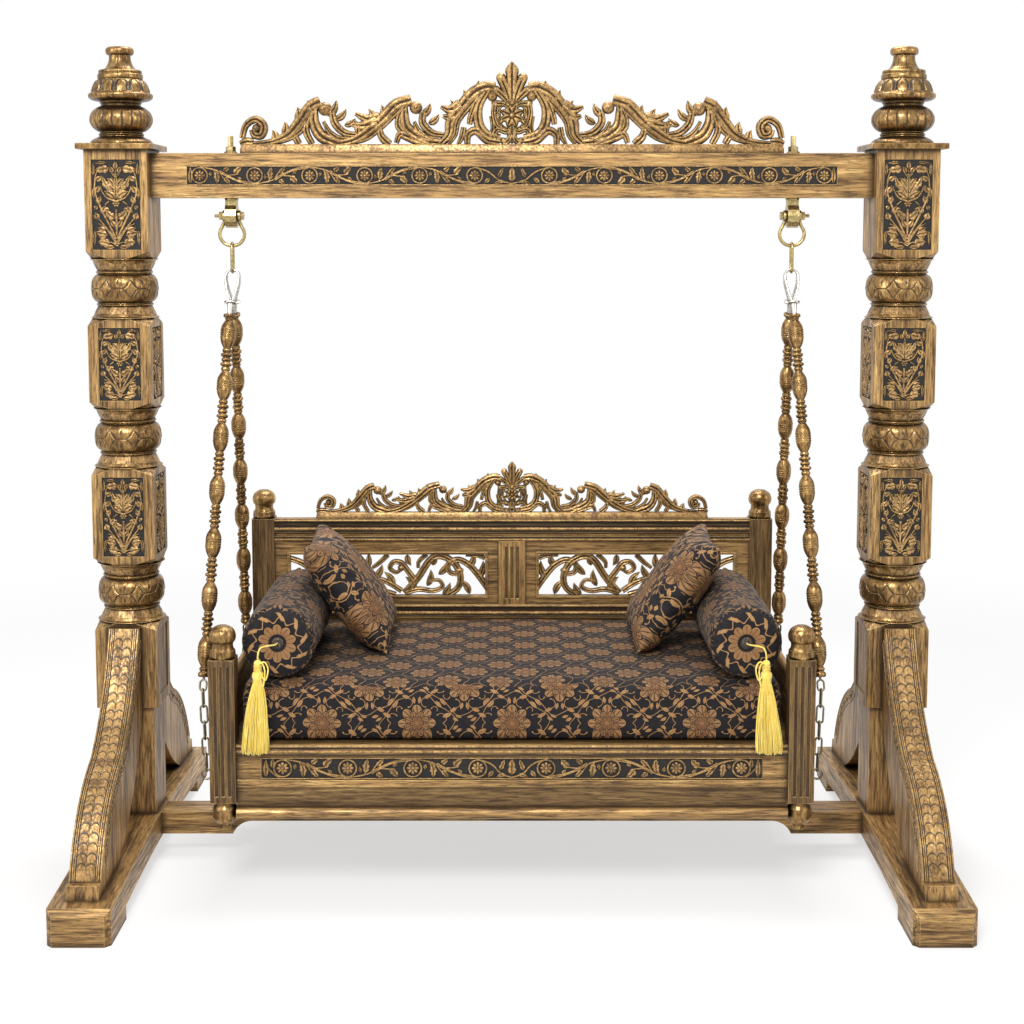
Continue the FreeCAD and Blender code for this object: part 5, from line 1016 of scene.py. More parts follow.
def arc_line(start, end, sagitta, steps):
    """Points on an arc that bulges to the right of its chord by the sagitta."""
    start, end = Vector(start), Vector(end)
    chord = end - start
    if not sagitta:
        return [start + chord * (k / steps) for k in range(steps + 1)]
    side = Vector((-chord[1], chord[0])).normalized()
    half = chord.length / 2
    radius = (half * half + sagitta * sagitta) / (2 * abs(sagitta))
    sign = 1 if sagitta > 0 else -1
    centre = (start + end) / 2 + side * (sign * radius - sagitta)
    a = start - centre
    total = 2 * math.asin(min(1.0, half / radius))
    turn = sign * total
    points = []
    for k in range(steps + 1):
        angle = turn * k / steps
        c, s = math.cos(angle), math.sin(angle)
        points.append(centre + Vector((a[0] * c - a[1] * s, a[0] * s + a[1] * c)))
    return points


def carve_braces():
    """Two columns of fish scales down each brace's outer face, and a leafy wave along its inner side."""
    toe_top = 88 + 32 * (641 - 590) / 541 + 36
    upper = arc_line((-102.5, 628), (-330, 352), -26, 60)
    lower = arc_line((-330, 352), (-560, toe_top), 38, 70)
    line = upper + lower[1:]
    lengths = [0.0]
    for a, b in zip(line, line[1:]):
        lengths.append(lengths[-1] + (b - a).length)
    total = lengths[-1]
    pitch = (total - 42) / 27
    steps = 520
    marks = []
    k = 1
    for i in range(steps + 1):
        s = total * i / steps
        while lengths[k] < s - 1e-6 and k < len(line) - 1:
            k += 1
        share = (s - lengths[k - 1]) / (lengths[k] - lengths[k - 1])
        along = (line[k] - line[k - 1]).normalized()
        out = Vector((-along[1], along[0]))
        if out[0] > 0:
            out = -out
        marks.append((s, line[k - 1].lerp(line[k], share), out))
    for name, side in SIDES:
        for place, sign in (("front", 1), ("rear", -1)):
            mesh = Mesh()
            rows, groove_shades = [], []
            for s, point, out in marks:
                row, dark = [], []
                for j in range(71):
                    u = -38.4 + 76.8 * j / 70
                    rise, groove_shade = brace_rise(u, s, total, pitch)
                    at = point + out * (rise + 0.2)
                    row.append(Vector((POST_X * side + u, at[0] * sign, at[1])) * MM)
                    dark.append(groove_shade)
                rows.append(row)
                groove_shades.append(dark)
            mesh.grid(rows, caps=False, groove_shades=groove_shades)
            mesh.add(f"{name}_{place}_brace_scales", "stand", "gilded_wood", WOOD["scales"])
            relief = Relief()
            turn = -side * sign
            lay = flat_lay(((POST_X - 38.9) * side, 0, 0), (0, -side, 0), (0, 0, 1))
            wave = []
            for s, point, out in marks[18:-30:6]:
                at = point - out * (21 + 6.5 * math.sin(2 * math.pi * s / 58))
                wave.append((at[0] * turn, at[1]))
            relief.stem(lay, wave, 3.6, 2.4, steps=2)
            for s, point, out in marks[24:-36:11]:
                phase = math.sin(2 * math.pi * s / 58)
                foot = point - out * (21 + 5 * phase)
                tip = point - out * (21 - 10 * phase) + Vector((out[1], -out[0])) * 9
                relief.leaf(lay, (foot[0] * turn, foot[1]), (tip[0] * turn, tip[1]), 3.8, 2.4)
            for inset in (5.0, 38.0):
                edge = [point - out * inset for s, point, out in marks[6:-14:8]]
                relief.stem(lay, [(p[0] * turn, p[1]) for p in edge], 2.4, 1.8, steps=2)
            relief.add(f"{name}_{place}_brace_vine", "stand", "gilded_wood", WOOD["relief"])


def carve_friezes():
    """The vine along the crossbeam, front and rear, and the one along the seat's apron."""
    for place, sign in (("front", -1), ("rear", 1)):
        relief, ground = Relief(), Mesh()
        middle = (0, (BEAM_HALF - PANEL_DEPTH) * sign, BEAM_LOW + BEAM_HEIGHT / 2)
        lay = flat_lay(middle, (-sign, 0, 0), (0, 0, 1))
        tall = BEAM_HEIGHT - 2 * FRIEZE_MARGIN
        vine_frieze(relief, lay, FRIEZE_HALF, tall, 141.5, 3.8, 96)
        relief.add(f"crossbeam_{place}_vine", "stand", "gilded_wood", WOOD["relief"])
        u, v = FRIEZE_HALF, tall / 2
        ground.verts.extend(lay(a, b, 0.25) for a, b in ((-u, -v), (u, -v), (u, v), (-u, v)))
        ground.faces.append((0, 1, 2, 3))
        ground.add(f"crossbeam_{place}_ground", "stand", "gilded_wood", GROUND, smooth=False)
    relief, ground = Relief(), Mesh()
    low, high = APRON_FRIEZE
    face = APRON_FACE - 5 - PANEL_DEPTH
    lay = flat_lay((0, -face, (low + high) / 2), (1, 0, 0), (0, 0, 1))
    vine_frieze(relief, lay, APRON_FRIEZE_HALF, high - low, 160, 3.8, 84)
    relief.add("apron_vine", "swing", "gilded_wood", WOOD["relief"])
    u, v = APRON_FRIEZE_HALF, (high - low) / 2
    ground.verts.extend(lay(a, b, 0.25) for a, b in ((-u, -v), (u, -v), (u, v), (-u, v)))
    ground.faces.append((0, 1, 2, 3))
    ground.add("apron_ground", "swing", "gilded_wood", GROUND, smooth=False)


# Pierced carving

ROUND_SECTION = (
    (1.0, 0.0), (0.92, 0.50), (0.70, 0.88), (0.42, 1.0), (0.18, 0.90), (0.0, 0.60), (-0.18, 0.90),
    (-0.42, 1.0), (-0.70, 0.88), (-0.92, 0.50), (-1.0, 0.0), (-0.92, -0.50), (-0.70, -0.88), (-0.42, -1.0),
    (-0.18, -0.90), (0.0, -0.60), (0.18, -0.90), (0.42, -1.0), (0.70, -0.88), (0.92, -0.50),
)


class Pierced(Mesh):
    """Scrolls with a rounded, fluted section, in an upright plane at a given Y."""

    def __init__(self, middle_y, half_depth):
        super().__init__()
        self.middle_y = middle_y
        self.half_depth = half_depth

    def scroll(self, line, halves, section=ROUND_SECTION, depth=1.0):
        rows, groove_shades = [], []
        count = len(line)
        for k, point in enumerate(line):
            before, after = line[max(k - 1, 0)], line[min(k + 1, count - 1)]
            along = Vector((after[0] - before[0], after[1] - before[1])).normalized()
            half = halves[k]
            thick = self.half_depth * depth * (0.55 + 0.45 * min(1.0, half / max(halves)))
            rows.append([
                Vector((point[0] - along[1] * s * half, self.middle_y + h * thick,
                        point[1] + along[0] * s * half)) * MM
                for s, h in section
            ])
            # Painted shade in the middle flute and along the sides
            groove_shades.append([
                0.85 if s == 0.0 else 0.9 if abs(s) == 1.0 else 0.25 if abs(s) == 0.92 else 0.0
                for s, _ in section
            ])
        self.grid(rows, closed=True, groove_shades=groove_shades)

    def path(self, points, start_half, end_half, steps=7, swell=0.10, depth=1.0):
        """A scroll through a row of points."""
        line = eased(points, steps)
        halves = []
        count = len(line) - 1
        for k in range(count + 1):
            t = k / count
            halves.append((start_half + (end_half - start_half) * t) * (1 + swell * math.sin(math.pi * t)))
        self.scroll(line, halves, depth=depth)

    def ring(self, x, z, radius, half, depth=1.0):
        line = [Vector((x + radius * math.cos(a),
                        z + radius * math.sin(a))) for a in (2 * math.pi * k / 32 for k in range(33))]
        self.scroll(line, [half] * 33, depth=depth)

    def ball(self, centre, radius, depth=1.0):
        rows = []
        for i in range(9):
            tilt = math.pi * i / 8
            ring = []
            for k in range(20):
                angle = 2 * math.pi * k / 20
                out = radius * max(0.02, math.sin(tilt))
                ring.append(Vector((centre[0] + out * math.cos(angle),
                                    self.middle_y - self.half_depth * depth * math.cos(tilt),
                                    centre[1] + out * math.sin(angle))) * MM)
            rows.append(ring)
        self.grid(rows, closed=True)

    def leaf(self, foot, tip, half, bend=0.0, depth=1.0, steps=12):
        foot, tip = Vector(foot), Vector(tip)
        run = tip - foot
        side = Vector((-run[1], run[0]))
        line, halves = [], []
        for k in range(steps + 1):
            t = k / steps
            line.append(foot + run * t + side * (bend * math.sin(math.pi * t)))
            halves.append(half * max(0.05, math.sin(math.pi * t ** 0.75) ** 0.8))
        self.scroll(line, halves, depth=depth)

    def flower(self, centre, radius, petals, depth=1.0):
        for k in range(petals):
            angle = 2 * math.pi * k / petals + math.pi / petals
            way = Vector((math.cos(angle), math.sin(angle)))
            self.leaf(Vector(centre) + way * radius * 0.18, Vector(centre) + way * radius, radius * 0.34,
                      depth=depth)
        self.ball(centre, radius * 0.30, depth * 1.15)


CREST_PLACES = (276, 5.4, 270.5, 452, 444)


def crest_place(x, y):
    """Shares of half width and rise, from places read in an enlarged crop of the left half."""
    left, scale, half, low, rise = CREST_PLACES
    return (left - x / scale) / half, (low - y) / rise


CREST_WAVES = (
    # points, start width, end width, depth; widths as shares of the rise
    (((100, 450), (200, 440), (290, 400), (350, 330), (410, 250), (462, 222)), 0.07, 0.10, 1.0),
    (((180, 452), (270, 430), (350, 385), (405, 300), (452, 238)), 0.05, 0.05, 0.8),
    (((455, 235), (400, 300), (385, 380), (415, 450)), 0.05, 0.06, 0.8),
    (((430, 262), (430, 340), (470, 410), (560, 450)), 0.10, 0.10, 1.0),
    (((300, 392), (325, 415), (345, 450)), 0.05, 0.06, 0.7),
    (((525, 275), (540, 340), (590, 390), (655, 402)), 0.09, 0.05, 1.0),
    (((478, 330), (510, 385), (560, 420), (620, 425)), 0.05, 0.05, 0.8),
    (((555, 450), (640, 430), (720, 380), (800, 310), (870, 240), (950, 212)), 0.10, 0.10, 1.0),
    (((600, 452), (700, 425), (770, 375), (850, 300), (905, 245)), 0.05, 0.05, 0.8),
    (((625, 345), (690, 352), (765, 328)), 0.05, 0.10, 1.0),
    (((650, 288), (715, 316), (778, 308)), 0.05, 0.10, 1.0),
    (((940, 225), (890, 290), (880, 350), (912, 395)), 0.05, 0.06, 0.8),
    (((912, 258), (920, 350), (970, 400), (1060, 445)), 0.10, 0.10, 1.0),
    (((780, 358), (790, 410), (832, 452)), 0.06, 0.07, 0.9),
    (((868, 445), (888, 400), (930, 411), (1000, 436), (1112, 446)), 0.07, 0.08, 0.9),
    (((1012, 278), (1012, 340), (1060, 390), (1122, 402)), 0.09, 0.05, 1.0),
    (((965, 330), (990, 380), (1040, 418), (1090, 425)), 0.05, 0.05, 0.8),
    (((1105, 450), (1150, 400), (1162, 330), (1212, 260), (1280, 180), (1350, 145), (1400, 150)), 0.10, 0.10,
     1.0),
    (((1150, 452), (1185, 400), (1200, 330), (1255, 255), (1320, 185)), 0.05, 0.05, 0.8),
    (((1108, 250), (1160, 266), (1215, 238)), 0.05, 0.10, 1.0),
    (((1118, 300), (1150, 306), (1182, 296)), 0.05, 0.08, 0.9),
    (((1342, 150), (1300, 220), (1270, 300), (1262, 345)), 0.05, 0.05, 0.8),
    (((1362, 160), (1312, 250), (1312, 340), (1352, 400), (1425, 422)), 0.09, 0.08, 1.0),
    (((1250, 452), (1255, 400), (1300, 380), (1360, 430), (1425, 445)), 0.08, 0.07, 1.0),
    (((1200, 452), (1222, 410), (1232, 360)), 0.05, 0.05, 0.8),
    (((40, 420), (62, 350), (115, 318), (158, 352), (146, 402), (108, 402), (96, 372)), 0.08, 0.06, 1.0),
    (((30, 450), (60, 440), (100, 440)), 0.08, 0.07, 0.9),
)
CREST_KNOBS = ((487, 262, 0.085), (975, 255, 0.080), (1385, 195, 0.062), (118, 366, 0.055))
CREST_SPIKES = (
    (500, 300, 548, 215, 0.05), (540, 320, 600, 262, 0.045), (590, 350, 650, 312, 0.04),
    (1000, 300, 1052, 232, 0.05), (1040, 340, 1098, 290, 0.045), (745, 350, 720, 260, 0.05),
    (790, 315, 790, 240, 0.045), (660, 400, 640, 320, 0.045), (1190, 300, 1160, 215, 0.045),
    (1240, 230, 1230, 160, 0.045), (330, 330, 340, 250, 0.05), (260, 405, 270, 330, 0.05),
    (215, 440, 205, 375, 0.05), (1300, 160, 1310, 110, 0.045), (380, 280, 395, 215, 0.045),
    (845, 270, 855, 205, 0.045),
)


def make_crest(name, half, base_low, base_height, rise, middle_y, base_half, body, node):
    """A base strip with rounded ends, and the pierced leaf scrolls that stand on it."""
    top = base_low + base_height
    mesh = Pierced(middle_y, base_half * 0.86)
    for sign in (-1, 1):
        def at(x, y):
            u, v = crest_place(x, y)
            return (sign * u * half, top + v * rise)
        for points, start, end, depth in CREST_WAVES:
            mesh.path([at(x, y) for x, y in points], start * rise * 0.46, end * rise * 0.70, swell=0.30,
                      depth=depth)
        for x, y, radius in CREST_KNOBS:
            mesh.ball(at(x, y), radius * rise, 1.2)
            mesh.ball(at(x, y), radius * rise * 0.45, 1.45)
        for x0, y0, x1, y1, thin in CREST_SPIKES:
            mesh.leaf(at(x0, y0), at(x1, y1), thin * rise * 1.0, 0.14 * sign, depth=0.75)
        for points, start, end in CREST_PETALS:
            line = [at(x, y) for x, y in points]
            mesh.path(line, start * rise, end * rise, depth=0.95)
            mesh.ball(line[-1], end * rise, 0.95)
    line = [(0, top + 0.46 * rise), (0, top + 0.70 * rise), (0, top + 0.92 * rise)]
    mesh.path(line, 0.035 * rise, 0.080 * rise, depth=1.1)
    mesh.leaf((0, top + 0.80 * rise), (0, top + rise), 0.085 * rise, depth=1.0)
    mesh.flower((0, top + 0.35 * rise), 0.155 * rise, 8, depth=1.1)
    mesh.ring(0, top + 0.35 * rise, 0.175 * rise, 0.020 * rise)
    mesh.leaf((0, top + 0.24 * rise), (0, top), 0.07 * rise, depth=0.9)
    mesh.ball((0, top + 0.50 * rise), 0.045 * rise, 1.3)
    # keep within the base strip's underside
    low_limit = (top - base_height * 0.5) * MM
    for v in mesh.verts:
        if v.z < low_limit:
            v.z = low_limit
    rows = []
    for x, squeeze in ((-half, 0.55), (-half + 4, 0.9), (-half + 10, 1.0), (half - 10, 1.0), (half - 4, 0.9),
                       (half, 0.55)):
        row = []
        for y, z in ((-1, -1), (1, -1), (1, 0.55), (0.78, 1.0), (-0.78, 1.0), (-1, 0.55)):
            height = base_height * (z + 1) / 2 * squeeze if z > -1 else 0
            row.append(Vector((x, middle_y + y * base_half * squeeze, base_low + height)) * MM)
        rows.append(row)
    mesh.grid(rows, closed=True)
    mesh.add(name, body, "pierced_carving", WOOD["crest"], replaces=(node,))


# Petals and scrolls of the crest's middle, placed like the waves: see crest_place
CREST_PETALS = (
    (((1484, 240), (1462, 170), (1432, 95)), 0.030, 0.062),
    (((1482, 245), (1448, 200), (1404, 158)), 0.026, 0.052),
    (((1480, 252), (1440, 235), (1398, 232)), 0.024, 0.044),
    (((1398, 232), (1392, 290), (1410, 350), (1448, 372)), 0.034, 0.030),
    (((1420, 250), (1418, 295), (1432, 330)), 0.028, 0.028),
    (((1484, 372), (1455, 385), (1420, 372), (1398, 392), (1412, 425), (1446, 430)), 0.032, 0.034),
    (((1486, 400), (1470, 430), (1450, 450)), 0.030, 0.040),
    (((1380, 300), (1388, 360), (1376, 410)), 0.030, 0.026),
)
# Hanging gear, in millimetres: each wire hangs on the one above, a contact gap clear of it
WIRE_FLAT = math.cos(math.pi / 4)
CONTACT_GAP = 0.3
BOW_DROP, BOW_WIRE = 76, 4
LINK_LENGTH, LINK_WIRE = 76, 4
EYE_WIRE = 2.6
ROD_HANG = 118.7
CHAIN_LINK_LENGTH, CHAIN_WIRE, CHAIN_HOOK_LENGTH = 48, 3.2, 34
SCREW_HEIGHT = 312
LINK_TOP = PIVOT_Z - BOW_DROP + (BOW_WIRE + LINK_WIRE) * WIRE_FLAT + CONTACT_GAP
HANG_Z = LINK_TOP - LINK_LENGTH + (LINK_WIRE + EYE_WIRE) * WIRE_FLAT + CONTACT_GAP


PANEL_BALLS = ((0.132, 0.60, 0.085), (0.432, 0.66, 0.085), (0.742, 0.66, 0.085))
PANEL_LEAVES = (
    (0.04, 0.40, 0.01, 0.84, 0.075), (0.08, 0.70, 0.06, 1.00, 0.07), (0.24, 0.50, 0.19, 0.84, 0.07),
    (0.27, 0.72, 0.27, 1.02, 0.07), (0.36, 0.10, 0.41, 0.44, 0.07), (0.47, 0.20, 0.52, 0.56, 0.07),
    (0.57, 0.42, 0.53, 0.74, 0.07), (0.62, 0.62, 0.60, 1.02, 0.075), (0.69, 0.10, 0.76, 0.42, 0.07),
    (0.80, 0.10, 0.86, 0.46, 0.07), (0.90, 0.50, 0.86, 0.90, 0.075), (0.95, 0.66, 0.97, 0.30, 0.07),
    (0.08, 0.02, 0.13, 0.36, 0.07), (0.22, 0.02, 0.18, 0.30, 0.065), (0.30, 0.22, 0.28, 0.62, 0.07),
    (0.40, 0.98, 0.38, 0.72, 0.065), (0.56, 0.02, 0.60, 0.34, 0.065), (0.93, 0.02, 0.92, 0.34, 0.065),
    (0.68, 0.98, 0.67, 0.74, 0.06),
)


def make_back_panels():
    """A framed board each side of the stile, its opening filled with pierced scrolls."""
    u_low, v_low, u_high, v_high = OPENING
    front, depth = BACK_FACE, 20
    inner, outer = 38, SEAT_POST_X - SEAT_POST_HALF
    low, high = 597, 779
    for name, side in SIDES:
        mesh = Pierced(front + depth / 2, depth / 2 * 0.96)
        width, height = u_high - u_low, v_high - v_low

        def at(u, v):
            return (side * (u_low + u * width), v_low + v * height)

        for points, start, end, thick in PANEL_PATHS:
            mesh.path([at(u, v) for u, v in points], start * height / 2, end * height / 2, depth=thick)
        for u, v, radius in PANEL_BALLS:
            mesh.ball(at(u, v), radius * height, 1.15)
        for u0, v0, u1, v1, half in PANEL_LEAVES:
            mesh.leaf(at(u0, v0), at(u1, v1), half * height * 1.2, 0.12 * side, depth=0.8)
        for v in mesh.verts:
            v.z = min(max(v.z, (v_low - 6) * MM), (v_high + 6) * MM)
            x = min(max(abs(v.x), (u_low - 6) * MM), (u_high + 6) * MM)
            v.x = x if v.x > 0 else -x
        mesh.add(f"{name}_back_scrolls", "swing", "pierced_carving", WOOD["crest"])
        board = Mesh()
        lip = 7
        around = (inner, outer, low, high), front, front + depth
        raised = (u_low - lip, u_high + lip, v_low - lip, v_high + lip), front - 3, front + 2
        for (u_from, u_to, v_from, v_to), near, far in (around, raised):
            for u0, u1, v0, v1 in ((u_from, u_low, v_from, v_to), (u_high, u_to, v_from, v_to),
                                   (u_low, u_high, v_from, v_low), (u_low, u_high, v_high, v_to)):
                a, b = sorted((u0 * side, u1 * side))
                board.box((a, near, v0), (b, far, v1))
        board.add(f"{name}_back_board", "swing", "pierced_carving", WOOD["x"],
                  smooth=False, replaces=(f"{name}_back_panel",))


def make_mouldings():
    """Bright beads along the rails of the seat and round the friezes, and dark strips of painted shade for
    the shaded grooves between the rail beads.
    """
    bright, dark = {"swing": Mesh(), "stand": Mesh()}, {"swing": Mesh(), "stand": Mesh()}

    def bead(body, half, y, z, radius):
        bright[body].tube([Vector((-half, y, z)), Vector((0, y, z)), Vector((half, y, z))], radius, sides=10)

    # Painted shade: a thin dark strip standing in for a shaded groove between beads
    def shade_strip(body, half, y, z, tall):
        dark[body].box((-half, y - 0.5, z - tall / 2), (half, y + 1.0, z + tall / 2))

    rail = 336
    for z, radius in ((838.5, 2.6), (815, 4.2), (784, 3.0), (592, 3.2), (572, 4.4), (536, 3.0)):
        bead("swing", 676, rail, z, radius)
    for z, tall in ((832, 2.2), (807.5, 3.4), (822, 1.6), (790, 2.0), (585, 2.4), (563, 3.2), (543, 2.0)):
        shade_strip("swing", 676, rail, z, tall)
    face = -APRON_FACE
    for z, radius in ((402, 2.8), (389, 3.6)):
        bead("swing", 676, face, z, radius)
    for z, tall in ((396.5, 2.4), (380, 3.2)):
        shade_strip("swing", 676, face, z, tall)
    low, high = APRON_FRIEZE
    for z in (low - 1.0, high + 1.0):
        bead("swing", APRON_FRIEZE_HALF + 4, face + 5, z, 1.8)
    middle = BEAM_LOW + BEAM_HEIGHT / 2
    for sign in (-1, 1):
        for step in (-1, 1):
            z = middle + step * (BEAM_HEIGHT / 2 - FRIEZE_MARGIN + 1.0)
            bead("stand", FRIEZE_HALF + 1, sign * BEAM_HALF, z, 1.3)
    for body in ("swing", "stand"):
        bright[body].add(f"{body}_beads", body, "gilded_wood", WOOD["relief"])
        if dark[body].verts:
            dark[body].add(f"{body}_shade_strips", body, "gilded_wood", GROUND, smooth=False)


# Turned rods and seat posts

def make_rods():
    """Turned rods: seven ringed barrels with a row of beads between them."""
    for name, side in SIDES:
        for place, sign in (("front", -1), ("rear", 1)):
            node = f"{name}_{place}_rod"
            _, foot, axis, length = rod_line(side, sign)
            start = foot - axis * length
            pitch = (length - 52 - 64) / 6
            groups = [[(14.5, 0), (15.5, 3), (14.5, 7)], [(9.5, 8), (11, 11), (9.5, 14)]]
            for k in range(7):
                middle = 52 + pitch * k
                groups.append([(9.2, middle - 37), (13.0, middle - 31), (17.6, middle - 22),
                               (19.6, middle - 13)])
                for ring in range(4):
                    low = middle - 12.5 + 6.2 * ring
                    groups.append([(19.0, low), (20.4 - 0.1 * ring, low + 3.0), (18.8, low + 6.0)])
                groups.append([(19.0, middle + 13), (17.0, middle + 22), (12.5, middle + 32),
                               (9.2, middle + 37)])
                if k < 6:
                    room = pitch - 74
                    for j in range(5):
                        centre = middle + 37 + room * (j + 0.5) / 5
                        wide = 14.2 if j in (1, 3) else 12.2 if j == 2 else 11.4
                        groups.append([(8.9, centre - 5.6), (wide, centre - 2.6), (wide, centre + 2.6),
                                       (8.9, centre + 5.6)])
            groups += [[(9.5, length - 26), (12.5, length - 22), (12.5, length - 18), (9.5, length - 14)],
                       [(12, length - 13), (14.6, length - 9), (14.6, length - 3), (12, length)]]
            mesh = Mesh()
            mesh.grid(turned_rows(groups, 28, start, axis, carve=None, steps=5), closed=True)
            mesh.add(node + "_turning", "swing", "turned_rods", WOOD["turned"], replaces=(node,))


def long_link(top, bottom, half, across, bends=12):
    """Centre line of a link with round ends."""
    along = (bottom - top).normalized()
    line = []
    for centre, way in ((top + along * half, -1), (bottom - along * half, 1)):
        for k in range(bends + 1):
            angle = math.pi * k / bends
            aside, ahead = way * half * math.cos(angle), way * half * math.sin(angle)
            line.append(centre + across * aside + along * ahead)
    return line


def rod_line(side, sign):
    """Where a rod's eye hangs, the rod's foot, the way down it and the rod's length."""
    top = Vector((HANGER_X * side, EYE_WIRE * sign, HANG_Z))
    foot = Vector(((768 if sign < 0 else 756) * side, 300 * sign, 553))
    return top, foot, (foot - top).normalized(), (foot - top).length - ROD_HANG


def make_gear():
    """Shackles, links, wire eyes, chains and eye screws as smooth round wire."""
    right, ahead, down = Vector((1, 0, 0)), Vector((0, 1, 0)), Vector((0, 0, -1))
    bows, eyes, screws = Mesh(), Mesh(), Mesh()
    for name, side in SIDES:
        pivot = Vector((HANGER_X * side, 0, PIVOT_Z))
        for sign in (-1, 1):
            ear = [[(13.5, 15.3), (14.6, 16.6), (14.6, 22.0), (13.5, 23.3)]]
            bows.grid(turned_rows(ear, 40, pivot, right * sign, ahead, steps=3), closed=True)
        line = [pivot + right * x + down * z for x, z in (
            (-19, 8), (-19.5, 14), (-24, 26), (-30.5, 38), (-32, 50), (-28, 62), (-17.5, 73), (0, 77.6),
            (17.5, 73), (28, 62), (32, 50), (30.5, 38), (24, 26), (19.5, 14), (19, 8))]
        bows.tube(eased(line, 5), 4.6)
        link = Mesh()
        link.tube(long_link(Vector((pivot[0], 0, LINK_TOP)), Vector((pivot[0], 0, LINK_TOP - 76)), 13,
                            ahead), 3.7, closed=True)
        link.add(f"{name}_link_ring", "swing", "zinc_hardware", ZINC, replaces=(f"{name}_link",))
        for place, sign in (("front", -1), ("rear", 1)):
            top, foot, axis, length = rod_line(side, sign)
            across = (right - axis * right.dot(axis)).normalized()
            start = foot - axis * length
            neck = start - axis * 34
            crown = top - axis * 1.4
            line = []
            for k in range(17):
                angle = math.pi * k / 16
                line.append(crown + axis * 17 - across * (17 * math.cos(angle))
                            - axis * (17 * math.sin(angle)))
            reach = (neck - crown).length
            line += [crown + axis * (17 + (reach - 17) * s) + across * w
                     for s, w in ((0.3, 16), (0.62, 10.5), (1.0, 3.2))]
            line += [crown + axis * (17 + (reach - 17) * s) - across * w
                     for s, w in ((1.0, 3.2), (0.62, 10.5), (0.3, 16))]
            eyes.tube(line, 2.9, closed=True)
            collar = [[(6, -2), (15.4, -1), (16.4, 1.6), (15.4, 4), (8, 5)],
                      [(8, 5), (7.4, 12), (6.5, 22), (6.5, 33.9)]]
            eyes.grid(turned_rows(collar, 36, neck, axis, across, steps=4), closed=True)
            make_chain(f"{name}_{place}_chain", foot, axis, side, screws)
    bows.add("shackle_bows", "swing", "zinc_hardware", ZINC, replaces=("shackles",))
    eyes.add("wire_eyes", "swing", "bright_wire", WIRE, replaces=("rod_eyes",))
    screws.add("seat_screws", "swing", "chain_metal", CHAIN, replaces=("seat_eye_screws",))


def make_chain(name, foot, axis, side, screws):
    """A screw eye in the rod's foot, five welded links and the ring on the seat's side."""
    end = Vector(((RAIL_OUTER + 30.4) * side, foot[1], SCREW_HEIGHT))
    hook_end = foot + axis * CHAIN_HOOK_LENGTH
    run = end - hook_end
    along = run.normalized()
    sideways = Vector((1, 0, 0))
    sideways = (sideways - along * sideways.dot(along)).normalized()
    depthways = along.cross(sideways)
    hook_across = (sideways - axis * sideways.dot(axis)).normalized()
    mesh = Mesh()
    mesh.tube([foot, foot + axis * 4, foot + axis * 8.5], 3.0)
    mesh.tube(long_link(foot + axis * 7, hook_end, 8.2, hook_across), 2.5, closed=True)
    overlap = CHAIN_WIRE * WIRE_FLAT * 2 + CONTACT_GAP
    count = 1 + 2 * round((run.length / (CHAIN_LINK_LENGTH - overlap) - 1) / 2)
    pitch = run.length / count
    for k in range(count):
        top = hook_end - along * overlap + along * (pitch * k)
        mesh.tube(long_link(top, top + along * (pitch + overlap), 8.2,
                            depthways if k % 2 == 0 else sideways), 2.5, closed=True)
    mesh.add(name + "_links", "swing", "chain_metal", CHAIN, replaces=(name,))
    centre = end + Vector((0, 0, overlap - 12))
    screws.tube([centre + Vector((math.cos(a), 0,
                                  math.sin(a))) * 12.5 for a in (2 * math.pi * k / 32 for k in range(32))],
                3.0, closed=True)
    face = Vector((RAIL_OUTER * side, centre[1], centre[2]))
    out = Vector((side, 0, 0))
    screws.grid(turned_rows([[(8.5, 0), (9, 1), (8.5, 2.4)], [(4.2, 2.5), (4, 10), (4, 18)]], 24, face, out,
                            (0, 1, 0), steps=3),
                closed=True)


def turn_seat_posts():
    """Knobs, rings and ball feet over the plain turnings of the seat's posts."""
    for name, side in SIDES:
        for place, y, top in (("front", SEAT_POST_HALF - SEAT_FRONT, FRONT_SQUARE_TOP),
                              ("rear", SEAT_REAR + SEAT_POST_HALF, REAR_SQUARE_TOP)):
            knob = [
                [(30.5, 0), (32.2, 5), (31.6, 11), (30.8, 19.5)],
                [(28.4, 20), (26.2, 26), (25.4, 32), (26.2, 38)],
                [(27, 38.5), (31.4, 45), (32.8, 53), (31.6, 62), (27.0, 71), (18, 77.5), (8, 80),
                 (0.8, 80.3)],
            ]
            foot = [
                [(0.8, 0.2), (8, 0.4), (13.4, 2), (14.2, 8), (13.2, 15.5)],
                [(17, 17.5), (26.5, 23), (31.4, 33), (32.2, 42), (30.6, 54), (26, 63), (24.4, 66)],
                [(27, 66.4), (28.5, 70), (27.5, 74)],
            ]
            mesh = Mesh()
            centre = (SEAT_POST_X * side, y)
            mesh.grid(turned_rows(knob, 40, (*centre, top), steps=6), closed=True)
            mesh.grid(turned_rows(foot, 40, (*centre, 187), steps=6), closed=True)
            mesh.add(f"{place}_{name}_post_turning", "swing", "gilded_wood", WOOD["turned"])


# Soft pieces

